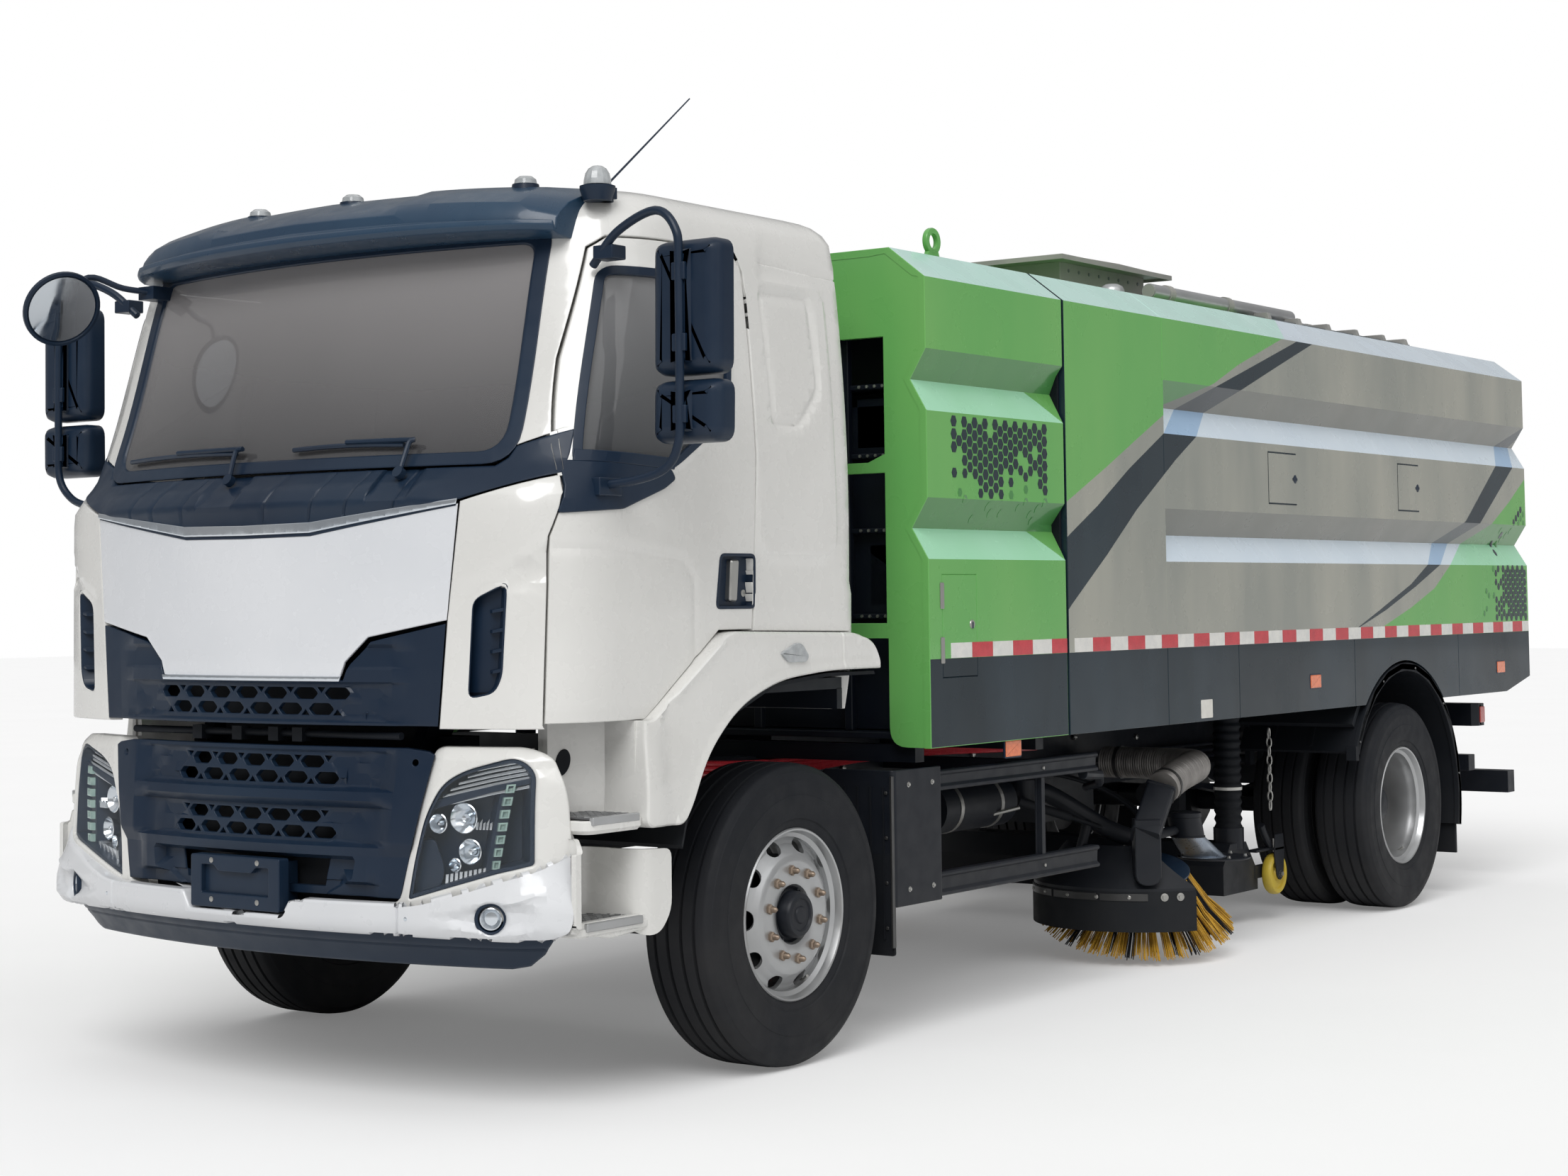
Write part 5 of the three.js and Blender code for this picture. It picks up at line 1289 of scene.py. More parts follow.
@dataclass
class CabBody:
    """The cab's painted shell, its front panels, glass, visor and roof pieces.

    Attributes:
        wall: Thickness of the shell.
        seam_depth: Depth of the pressed seams.
        roof_lamps: x of each marker lamp on the visor.
    """

    wall: float = 0.045
    seam_depth: float = 0.004
    roof_lamps: tuple[float, ...] = (-0.42, 0.06, 0.76)

    def build(self) -> None:
        """Builds every fixed piece of the cab."""
        self.shell()
        self.vents()
        self.glazing()
        self.front_panel()
        self.cowl()
        self.grille()
        self.visor()
        self.roof_lamp()
        self.interior()

    def shell_loop(self) -> Loop:
        """Outline of the shell on the unrolled skin, with the doors and the front left open.

        Returns:
            The closed outline in (u, v).
        """
        skin = CAB_SKIN
        gap = grown(DOOR_LOOP, DOOR_GAP)
        door = [gap[i] for i in (3, 4, 5, 6, 7, 8, 9, 10, 11, 0)]
        back = skin.whole
        window = back - skin.spans[4] * 0.62 / 1.08
        half = [(back, skin.top), (back, 2.56), (window + 0.04, 2.56), (window, 2.52), (window, 2.12),
                (window + 0.04, 2.08), (back, 2.08), (back, 1.19), (back - skin.spans[4], 1.19),
                (back - skin.spans[4] - 0.05, 1.442)]
        half = split(half, 0.06, False)
        half += skin.side([(0.335, 1.464)] + door, closed=False)
        half += skin.front([(1.10, 1.19), (0.775, 1.19), (0.803, 1.518), (0.847, 1.893), (1.116, 1.972),
                            (1.108, 2.125), (0.940, 2.066), (0.930, 2.12), (0.901, 2.70), (0.885, 2.742),
                            (0.85, 2.753), (0, 2.753)], closed=False)
        return mirrored(half)

    def shell(self) -> None:
        """Painted shell with its pressed panels, seams and rear window."""
        skin = CAB_SKIN
        blind = skin.side(rounded([(-0.109, 2.152), (0.068, 2.151), (0.210, 2.291), (0.180, 2.641),
                                   (-0.150, 2.637)], 0.05, 4), 0.03)
        panel = skin.side(rounded([(-0.19, 1.735), (0.262, 1.735), (0.248, 2.66), (-0.19, 2.66)], 0.07, 4), 0.04)
        seam = skin.side([(-0.215, 2.722), (0.345, 2.706)], 0.04, False)
        vent = skin.front(rounded([(0.872, 1.282), (0.960, 1.300), (0.985, 1.350), (1.002, 1.640),
                                   (0.889, 1.587)], [0.03, 0.03, 0.04, 0.04, 0.03], 4), 0.03)
        scoop = skin.front([(0.858, 1.60), (1.000, 1.668), (1.118, 1.760), (1.108, 1.655), (1.02, 1.59),
                            (0.995, 1.655), (0.88, 1.595)], 0.04)
        vents = [vent, [(-u, v) for u, v in reversed(vent)]]

        def relief(u: float, v: float) -> float:
            """Depth of the forms pressed into the shell, below 0 under the skin.

            Args:
                u: Length run from the middle of the nose.
                v: Place of the level.

            Returns:
                The depth.
            """
            s = abs(u)
            if s > 2.0 and 1.6 < v < 2.8:
                into = depth_in((s, v), blind)
                drop = -0.010 * ease(into, 0.0, 0.016) + 0.006 * ease(into, 0.030, 0.046)
                drop -= 0.005 * (1 - ease(depth_in((s, v), panel), -0.022, 0.0))
                near = min(abs(v - 2.722 + 0.03 * (s - 2.11)), 1.0)
                return drop - self.seam_depth * (1 - ease(near, 0.002, 0.005))
            if s < 1.3 and 1.55 < v < 1.80:
                return -0.022 * ease(depth_in((s, v), scoop), -0.012, 0.030)
            return 0.0

        def place(u: float, v: float, w: float) -> Vector:
            """Point of the shell with its pressed forms."""
            return skin.point(u, v, w + (relief(u, v) if w > -0.02 else 0.0))

        lines = []
        for loop in (blind, grown(blind, -0.016), grown(blind, -0.030), grown(blind, -0.046), panel,
                     grown(panel, 0.022)):
            lines.append(loop + loop[:1])
        for shift in (-0.005, 0.0, 0.005):
            lines.append([(u, v + shift) for u, v in seam])
        lines += [scoop + scoop[:1]]
        lines += [[(-u, v) for u, v in line] for line in lines]
        shape = Shape().sheet([self.shell_loop(), *vents], place, 0.0, -self.wall, (0.045, 0.045), 0.004,
                              lines=lines, seam=skin.whole)
        shape.block((-0.95, -1.26, 1.262), (0.95, -0.95, 1.302), 1)
        shape.block((-1.14, -0.95, 1.262), (1.14, 0.36, 1.302), 1)
        shape.block((-1.14, 0.330, 1.192), (1.14, 0.362, 1.264), 1)
        lug = Shape().lathe([(0.0186, -0.025), (0.044, -0.025), (0.044, 0.025), (0.0186, 0.025)],
                            Vector((0.5, -1.17, 0.97)), LEFT, 24, 1)
        arm = [(-1.20, 1.012), (-1.13, 0.94), (-0.91, 1.267), (-1.04, 1.267)]
        lug.stack(arm, on_side, [(0.475, 0), (0.525, 0)], 1)
        shape.join(lug.both())
        Piece("cab_shell_skin", "cab", "white_paint", (WHITE, BLACK), ("cab_shell",)).make(shape)
        pane = Shape().sheet([rounded([(-0.66, 2.05), (0.66, 2.05), (0.66, 2.59), (-0.66, 2.59)], 0.08)],
                             facing(Vector((0, 0.392, 0)), Vector((1, 0, 0)), UP), 0.003, -0.003, edge=0.001)
        Piece("rear_window_pane", "cab", "tinted_glass", (SIDE_GLASS,)).make(pane)

    def vents(self) -> None:
        """Dark ducts with slats in the front corners."""
        skin = CAB_SKIN
        loop = skin.front(rounded([(0.868, 1.278), (0.963, 1.296), (0.990, 1.350), (1.006, 1.646),
                                   (0.885, 1.592)], 0.03, 4), 0.03)
        shape = Shape().sheet([loop, grown(loop, -0.008)], skin.point, -0.002, -0.05, (0.05, 0.05), 0.001)
        shape.sheet([loop], skin.point, -0.036, -0.05, (0.05, 0.05), 0.001)
        for k in range(4):
            z = 1.36 + 0.062 * k
            slat = skin.front([(0.955, z), (0.993 + 0.003 * k, z + 0.006), (0.993 + 0.003 * k, z + 0.018),
                               (0.955, z + 0.010)], 0.02)
            shape.sheet([slat], skin.point, -0.006, -0.04, (0.05, 0.05), 0.002)
        Piece("corner_vents", "cab", "dark_plastic", (PLASTIC,)).make(shape.both())

    def glazing(self) -> None:
        """Windscreen with its seal and printed border."""
        skin = CAB_SKIN
        loop = skin.front(SCREEN_LOOP, 0.05)
        glass = Shape().sheet([grown(loop, 0.01)], skin.point, -0.006, -0.014, (0.06, 0.06), 0.002)
        Piece("windscreen_pane", "cab", "tinted_glass", (SCREEN,), ("windscreen",)).make(glass)
        outer = skin.front(rounded([(-0.958, 2.010), (0.958, 2.010), (0.924, 2.775), (-0.924, 2.775)],
                                   [0.11, 0.11, 0.06, 0.06], 6), 0.05)
        seal = Shape().sheet([outer, loop], skin.point, 0.004, -0.020, (0.05, 0.05), 0.006)
        Piece("windscreen_seal", "cab", "black_rubber", (PLASTIC,)).make(seal)

    def front_panel(self) -> None:
        """Plain white front panel with bright strips above and below it, and a band of painted shade under the upper
        strip.
        """
        skin = CAB_SKIN
        loop = skin.front(grown(mirrored(PANEL_HALF), -0.0015), 0.05)
        shape = Shape().sheet([loop], skin.point, 0.001, -0.013, (0.05, 0.05), 0.005)
        Piece("front_panel_skin", "cab", "white_paint", (PANEL_WHITE,), ("front_panel",)).make(shape)
        top = mirrored([(0, 1.803), (0.29, 1.806), (0.832, 1.884), (0.834, 1.903), (0.29, 1.841), (0, 1.837)])
        low = mirrored([(0, 1.334), (0.408, 1.334), (0.416, 1.352), (0, 1.352)])
        shape = Shape()
        for outline, lip in ((top, 0.010), (low, 0.008)):
            strip = skin.front(outline, 0.05)
            shape.sheet([strip], skin.point, lip, -0.006, (0.05, 0.05), 0.005)
        Piece("bright_strips", "cab", "rod_chrome", (CHROME,)).make(shape)
        # A dark band painted as shade along the lower edge of the upper bright strip.
        line = mirrored([(0, 1.793), (0.29, 1.796), (0.66, 1.852), (0.832, 1.879), (0.832, 1.885),
                         (0.29, 1.808), (0, 1.805)])
        dark = Shape().sheet([skin.front(line, 0.05)], skin.point, 0.003, -0.004, (0.05, 0.05), 0.002)
        Piece("strip_shadow", "cab", "dark_plastic", (PLASTIC,)).make(dark)

    def cowl(self) -> None:
        """Dark cowl under the windscreen, with its seams, and the two wipers."""
        skin = CAB_SKIN
        loop = skin.front(grown(mirrored(COWL_HALF), -0.002), 0.05)
        seams = [-0.60, -0.47, -0.30, 0.10, 0.30, 0.44, 0.62]
        wells = [(-0.235, -0.045), (0.50, 0.665)]

        def place(u: float, v: float, w: float) -> Vector:
            """Point of the cowl with its seams and wells, w outside it.

            Args:
                u: First place on the surface.
                v: Second place on the surface.
                w: Distance outside it.

            Returns:
                The point, in the axle frame.
            """
            if w > -0.01:
                for at in seams:
                    slant = at + (v - 1.92) * 0.25
                    w -= 0.006 * (1 - ease(abs(u - slant), 0.003, 0.008))
                w += 0.010 * ease(v, 1.86, 1.90) * (1 - ease(v, 1.955, 1.99)) * (1 - ease(abs(u), 0.70, 0.86))
                for low, high in wells:
                    if low < u < high:
                        w -= 0.022 * ease(min(u - low, high - u), 0.0, 0.015) * ease(v, 1.90, 1.93)
            return skin.point(u, v, w)

        lines = []
        for at in seams:
            for shift in (-0.008, 0.0, 0.008):
                lines.append([(at + shift - 0.03, 1.80), (at + shift + 0.022, 2.008)])
        for low, high in wells:
            lines += [[(edge, 1.90), (edge, 2.01)] for edge in (low, low + 0.015, high - 0.015, high)]
        lines += [[(-0.9, z), (0.9, z)] for z in (1.88, 1.90, 1.955, 1.97)]
        shape = Shape().sheet([loop], place, 0.003, -0.030, (0.03, 0.03), 0.006, lines=lines)
        Piece("cowl_skin", "cab", "dark_plastic", (PLASTIC,), ("windscreen_cowl",)).make(shape)
        wipers = Shape()
        for pivot, start, end in ((-0.14, -0.80, -0.17), (0.585, 0.10, 0.55)):
            hub = skin.point(pivot, 1.985, 0.004)
            elbow = skin.point(pivot - 0.015, 2.085, 0.030)
            tip = skin.point((start + end) / 2, 2.098, 0.022)
            wipers.tube([hub, hub + Vector((0, -0.02, 0.01))], 0.020, 14)
            wipers.tube(smooth_route([hub + Vector((0, -0.012, 0)), elbow, skin.point(end + 0.02, 2.096, 0.024),
                                      tip], 5), 0.0085, 8)
            wipers.tube([skin.point(start + (end - start) * k / 12, 2.082 + 0.006 * math.sin(k / 12 * math.pi),
                                    0.012) for k in range(13)], 0.008, 6)
        Piece("wipers", "cab", "dark_plastic", (PLASTIC,)).make(wipers)

    def grille(self) -> None:
        """Upper grille: ledges, facets at the sides and one band of mesh."""
        skin = CAB_SKIN
        band = MeshBand(1.222, 1.322, 0.60, 0.42)
        through, pressed = band.split_holes()
        loop = skin.front(grown(mirrored(GRILLE_HALF), -0.0015), 0.05)
        levels = [(1.19, 0.0), (1.206, 0.0), (1.214, -0.012), (1.326, -0.012), (1.334, -0.002), (1.372, -0.002),
                  (1.384, -0.012), (1.44, -0.016), (1.452, -0.004), (1.53, -0.004)]

        def place(u: float, v: float, w: float) -> Vector:
            """Point of the upper grille with its ribs, w outside it.

            Args:
                u: First place on the surface.
                v: Second place on the surface.
                w: Distance outside it.

            Returns:
                The point, in the axle frame.
            """
            if w > -0.012:
                s = abs(u)
                wing = ease(s, 0.60, 0.68)
                level = glide([z for z, _ in levels], [d for _, d in levels], v)
                w += level * (1 - wing) - 0.010 * wing * (1 - ease(s, 0.70, 0.80))
                if any(depth_in((u, v), hole) > -0.001 for hole in pressed
                       if abs(hole[0][0] - u) < 0.12):
                    w -= 0.006
            return skin.point(u, v, w)

        lines = [[(-0.8, z), (0.8, z)] for z, _ in levels[1:-1]]
        lines += [[(s * u, 1.19), (s * (u + 0.03), 1.52)] for u in (0.60, 0.66, 0.70) for s in (1, -1)]
        lines += [hole + hole[:1] for hole in pressed]
        lines += [grown(hole, -0.004) + grown(hole, -0.004)[:1] for hole in pressed]
        shape = Shape().sheet([loop, *through], place, 0.0, -0.03, (0.05, 0.05), 0.003, lines=lines)
        Piece("upper_grille_skin", "cab", "dark_plastic", (PLASTIC,), ("upper_grille",)).make(shape)
        backing = Shape().sheet([skin.front([(-0.62, 1.21), (0.62, 1.21), (0.62, 1.335), (-0.62, 1.335)])],
                                skin.point, -0.075, -0.080, (0.1, 0.1), 0.001)
        Piece("grille_screen", "cab", "dark_plastic", (RUBBER,)).make(backing)

    def visor(self) -> None:
        """Sun visor over the windscreen with its marker lamps."""
        knots = [(0.02, 2.745), (-0.10, 2.752), (-0.140, 2.765), (-0.152, 2.782), (-0.146, 2.800),
                 (-0.128, 2.812), (-0.120, 2.846), (-0.095, 2.868), (-0.02, 2.904), (0.06, 2.934),
                 (0.18, 2.957), (0.30, 2.968), (0.31, 2.94), (0.22, 2.90)]
        xs, drops, reaches = [0, 0.5, 0.9, 0.985], [0, 0.008, 0.030, 0.050], [1, 1, 0.85, 0.62]
        count = 33
        rings = []
        for i in range(count):
            x = -0.985 + 1.97 * i / (count - 1)
            drop, reach = glide(xs, drops, abs(x)), glide(xs, reaches, abs(x))
            wedge = ease(abs(x), 0.36, 0.44) * (1 - ease(abs(x), 0.88, 0.94))
            ring = []
            for k, (y, z) in enumerate(knots):
                lift = 0.012 * wedge if 7 <= k <= 9 else 0.0
                ring.append(Vector((x, -1.06 + 0.15 * x * x + y * (reach if y < 0 else 1),
                                    z - drop * (1 if z > 2.8 else 0.2) + lift)))
            rings.append(ring)
        shape = Shape().rings(rings)
        Piece("visor_shell", "cab", "dark_plastic", (VISOR_PLASTIC,), ("sun_visor",), bevel=0.004).make(shape)
        lamps, domes = Shape(), Shape()
        for x in self.roof_lamps:
            foot = Vector((x, -0.965 + 0.15 * x * x, 2.925))
            lamps.lathe([(0, -0.01), (0.048, -0.01), (0.044, 0.014), (0, 0.018)], foot, UP, 24)
            domes.lathe([(0, 0.012), (0.038, 0.014), (0.035, 0.030), (0.022, 0.040), (0, 0.043)], foot, UP, 24)
        Piece("marker_bases", "cab", "dark_plastic", (PLASTIC,)).make(lamps)
        Piece("marker_domes", "cab", "lamp_glass", (GREY_LENS,)).make(domes)

    def roof_lamp(self) -> None:
        """Beacon and whip antenna on the roof."""
        centre = Vector((1.04, -0.85, 2.90))
        base = Shape().lathe([(0, -0.04), (0.046, -0.04), (0.058, -0.002), (0.058, 0.008), (0, 0.012)], centre, UP, 32)
        base.block((1.03, -0.85, 2.868), (1.08, -0.80, 2.905))
        base.lathe([(0, -0.04), (0.022, -0.04), (0.018, 0.016), (0, 0.024)], Vector((1.05, -0.815, 2.90)), UP, 20)
        foot, tip = Vector((1.05, -0.815, 2.915)), Vector((1.052, -0.375, 3.262))
        base.tube([foot.lerp(tip, k / 10) for k in range(11)], lambda run: 0.0042 - 0.003 * run, 8)
        Piece("beacon_base", "cab", "dark_plastic", (PLASTIC,), ("beacon_antenna",)).make(base)
        dome = Shape().lathe([(0, 0.01), (0.046, 0.012), (0.045, 0.026), (0.040, 0.048), (0.030, 0.064),
                              (0.016, 0.073), (0, 0.076)], centre, UP, 14)
        Piece("beacon_dome", "cab", "lamp_glass", (GREY_LENS,), sharp=20).make(dome)

    def interior(self) -> None:
        """Inner mirror, steering wheel and seat pads seen through the glass."""
        ring = Shape()
        spot, tilt = Vector((0.56, -0.70, 2.06)), Matrix.Rotation(-0.55, 3, "X")
        ring.tube([spot + tilt @ Vector((0.215 * math.cos(a), 0.215 * math.sin(a), 0))
                   for a in (math.tau * k / 40 for k in range(41))], 0.017, 10)
        for angle in (0.1, math.pi - 0.1, -math.pi / 2):
            ring.tube([spot, spot + tilt @ Vector((0.2 * math.cos(angle), 0.2 * math.sin(angle), 0))], 0.014, 8)
        ring.lathe([(0, -0.03), (0.06, -0.03), (0.05, 0.02), (0, 0.026)], spot, tilt @ UP, 24)
        loop = rounded([(-0.13, 2.40), (0.10, 2.42), (0.13, 2.50), (-0.10, 2.50)], 0.04)
        ring.stack([(u - 0.35, v + 0.02) for u, v in loop], on_front,
                   [(0.93, -0.01), (0.945, 0), (0.955, 0), (0.965, -0.01)])
        Piece("steering_and_mirror", "cab", "cab_trim", (TRIM,)).make(ring)
        pads = Shape()
        for x in (-0.56, 0.56):
            pads.block((x - 0.24, -0.46, 1.735), (x + 0.24, 0.02, 1.80))
            head = rounded([(-0.13, 2.36), (0.13, 2.36), (0.11, 2.55), (-0.11, 2.55)], 0.05)
            pads.stack([(u + x, v) for u, v in head], on_front,
                       [(-0.18, -0.02), (-0.155, 0), (-0.06, 0), (-0.035, -0.02)])
        Piece("seat_pads", "cab", "cab_trim", (SEAT,), bevel=0.02).make(pads)


@dataclass
class Door:
    """One door with its pane, seals, handle and mirror.

    Attributes:
        side: Side of the truck that it hangs on.
        thickness: Thickness of the leaf.
    """

    side: Side
    thickness: float = 0.058

    def build(self) -> None:
        """Builds the door's pieces."""
        self.leaf()
        self.pane()
        self.handle()
        self.mirror()

    def _piece(self, name: str, slot: str, finishes: tuple[Finish, ...], shape: Shape, replaces: str = "",
               **more: float) -> None:
        """Makes a piece drawn for the left on this door's side.

        Args:
            name: The piece's name, without its side.
            slot: Name of the look that it is listed under.
            finishes: Finishes of its slots.
            shape: Its shape, drawn for the left.
            replaces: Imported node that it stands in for, without its side.
            more: Further sizes of the piece.
        """
        word = self.side.word
        Piece(f"{name}_{word}", f"cab_door_{word}", slot, finishes,
              (f"{replaces}_{word}",) if replaces else (), **more).make(shape.on(self.side))

    def leaf(self) -> None:
        """Painted leaf with its window opening, handle opening and pressed lines."""
        skin = CAB_SKIN
        outer = skin.side(DOOR_LOOP, 0.04)
        window = skin.side(WINDOW_LOOP, 0.04)
        handle = skin.side(rounded([(-0.433, 1.553), (-0.222, 1.553), (-0.222, 1.727), (-0.410, 1.727)], 0.025, 4))
        crease = skin.side([(-1.172, 1.745), (-0.74, 1.722), (-0.60, 1.70), (-0.55, 1.64), (-0.545, 1.36)], 0.03,
                           False)
        below = skin.side([(-1.2, 1.246), (-0.80, 1.246)], 0.04, False)

        def near_line(u: float, v: float) -> float:
            """Distance from the crease of the door.

            Args:
                u: Length run from the middle of the nose.
                v: Place of the level.

            Returns:
                The distance.
            """
            best, spot = 1.0, Vector((u, v))
            for a, b in zip(crease, crease[1:]):
                start, run = Vector(a), Vector(b) - Vector(a)
                t = min(1.0, max(0.0, (spot - start).dot(run) / run.length_squared))
                gap = spot - start - run * t
                best = min(best, gap.length)
            return best

        def place(u: float, v: float, w: float) -> Vector:
            """Point of the leaf with its crease, rebate and lower seam, w outside it.

            Args:
                u: First place on the surface.
                v: Second place on the surface.
                w: Distance outside it.

            Returns:
                The point, in the axle frame.
            """
            if w > -0.02:
                w -= 0.004 * (1 - ease(near_line(u, v), 0.004, 0.022))
                w -= 0.004 * (1 - ease(depth_in((u, v), window), -0.040, -0.012))
                w -= 0.003 * (1 - ease(v, 1.225, 1.246)) * (1 if u < 1.75 else 0)
            return skin.point(u, v, w)

        rim = grown(window, 0.034)
        lines = [crease, below, rim + rim[:1]]
        for shift in (-0.012, 0.012):
            lines.append([(u + shift, v + shift) for u, v in crease])
        shape = Shape().sheet([outer, window, handle], place, 0.0, -self.thickness, (0.028, 0.028), 0.004,
                              lines=lines)
        self._piece("door_leaf", "white_paint", (WHITE,), shape, "door")

    def pane(self) -> None:
        """Side window with its rubber surround and the dark panel at the mirror's foot."""
        skin = CAB_SKIN
        window = skin.side(WINDOW_LOOP, 0.04)
        glass = Shape().sheet([grown(window, -0.004)], skin.point, -0.016, -0.022, (0.06, 0.06), 0.001)
        self._piece("side_pane", "tinted_glass", (SIDE_GLASS,), glass, "door_glass")
        surround = Shape().sheet([grown(window, 0.010), grown(window, -0.020)], skin.point, 0.001, -0.014,
                                 (0.05, 0.05), 0.003)
        belt = skin.side([(-1.075, 2.016), (-0.66, 1.998), (-0.64, 2.035), (-1.062, 2.052)], 0.05)
        surround.sheet([belt], skin.point, 0.004, -0.014, (0.05, 0.05), 0.003)
        foot = skin.side(rounded([(-1.166, 1.850), (-0.92, 1.866), (-0.71, 1.935), (-0.650, 1.968),
                                  (-0.672, 2.000), (-1.080, 2.018), (-1.106, 2.020)], 0.014, 3), 0.04)
        surround.sheet([foot], skin.point, 0.003, -0.012, (0.05, 0.05), 0.004)
        self._piece("window_surround", "black_rubber", (PLASTIC,), surround)

    def handle(self) -> None:
        """Dark recess with a bright lever."""
        skin = CAB_SKIN
        loop = skin.side(rounded([(-0.438, 1.548), (-0.217, 1.548), (-0.217, 1.732), (-0.414, 1.732)], 0.025, 4), 0.03)
        cup = Shape().sheet([loop, grown(loop, -0.010)], skin.point, -0.001, -0.034, (0.04, 0.04), 0.002)
        cup.sheet([loop], skin.point, -0.028, -0.036, (0.04, 0.04), 0.001)
        self._piece("handle_cup", "dark_plastic", (PLASTIC,), cup)
        lever = Shape().stack(rounded([(-0.355, 1.575), (-0.315, 1.570), (-0.300, 1.712), (-0.345, 1.712)], 0.012),
                              on_side, [(1.158, -0.004), (1.162, 0), (1.180, 0), (1.186, -0.005)])
        lever.lathe([(0, 0), (0.012, 0), (0.012, 0.006), (0, 0.007)], Vector((1.160, -0.255, 1.60)), LEFT, 16)
        self._piece("handle_lever", "wheel_silver", (BOLT,), lever)

    def mirror(self) -> None:
        """Two mirror heads on one tube."""
        route = smooth_route([(1.080, -0.925, 2.640), (1.200, -0.950, 2.735), (1.366, -0.968, 2.785),
                              (1.450, -0.975, 2.720), (1.462, -0.975, 2.600), (1.462, -0.975, 2.200),
                              (1.455, -0.975, 2.060), (1.400, -0.970, 1.985), (1.290, -0.985, 1.950),
                              (1.130, -1.010, 1.935)], 6)
        arm = Shape().tube(route, 0.0145, 12)
        arm.block((1.120, -1.050, 1.905), (1.205, -0.940, 1.962)).block((1.100, -0.950, 2.655), (1.180, -0.880, 2.700))
        for z in (2.56, 2.34, 2.12):
            arm.block((1.436, -0.982, z), (1.488, -0.930, z + 0.055))
        self._piece("mirror_arm", "dark_plastic", (PLASTIC,), arm, "mirror", bevel=0.004)
        heads, glass = Shape(), Shape()
        for low, high, wide in ((2.272, 2.690, 0.0), (2.062, 2.256, 0.004)):
            loop = rounded([(1.330 - wide, low), (1.590, low), (1.594, high), (1.334 - wide, high)], 0.045, 6)
            heads.stack(loop, on_front, [(0.862, -0.006), (0.868, 0), (0.915, 0), (0.938, -0.008), (0.952, -0.024),
                                         (0.958, -0.05)])
            heads.stack([(1.462 + (u - 1.462) * 0.32, v) for u, v in grown(loop, -0.04)], on_front,
                        [(0.950, 0.01), (0.966, 0), (0.970, -0.01)])
            glass.stack(grown(loop, -0.014), on_front, [(0.858, -0.002), (0.861, 0), (0.866, 0)])
        self._piece("mirror_heads", "dark_plastic", (PLASTIC,), heads)
        self._piece("mirror_glasses", "rod_chrome", (MIRROR_GLASS,), glass)


@dataclass
class KerbMirror:
    """Round mirror on the passenger's front corner.

    Attributes:
        centre: Middle of the glass.
        radius: Radius of the housing.
    """

    centre: Vector = Vector((-0.985, -1.350, 2.625))
    radius: float = 0.138

    def build(self) -> None:
        """Builds the dish, its glass and its arm."""
        way = Vector((0.78, -0.22, -0.42)).normalized()
        r = self.radius
        dish = Shape().lathe([(0, -0.036), (0.05, -0.034), (0.10, -0.020), (r, -0.002), (r, 0.012),
                              (r - 0.010, 0.014), (r - 0.014, 0.006), (0, 0.006)], self.centre, way, 48)
        back = self.centre - way * 0.03
        dish.tube(smooth_route([(-0.870, -1.010, 2.700), (-0.930, -1.120, 2.712), (-0.985, -1.230, 2.745),
                                (-1.015, -1.330, 2.660), back], 6), 0.011, 10)
        dish.block((-0.93, -1.05, 2.675), (-0.85, -0.96, 2.722))
        Piece("kerb_mirror_dish", "cab", "dark_plastic", (PLASTIC,), ("kerb_mirror",)).make(dish)
        glass = Shape().lathe([(0, 0.004), (r - 0.016, 0.004), (r - 0.018, 0.010), (r * 0.5, 0.020), (0, 0.024)],
                              self.centre, way, 48)
        Piece("kerb_mirror_glass", "cab", "rod_chrome", (MIRROR_GLASS,)).make(glass)


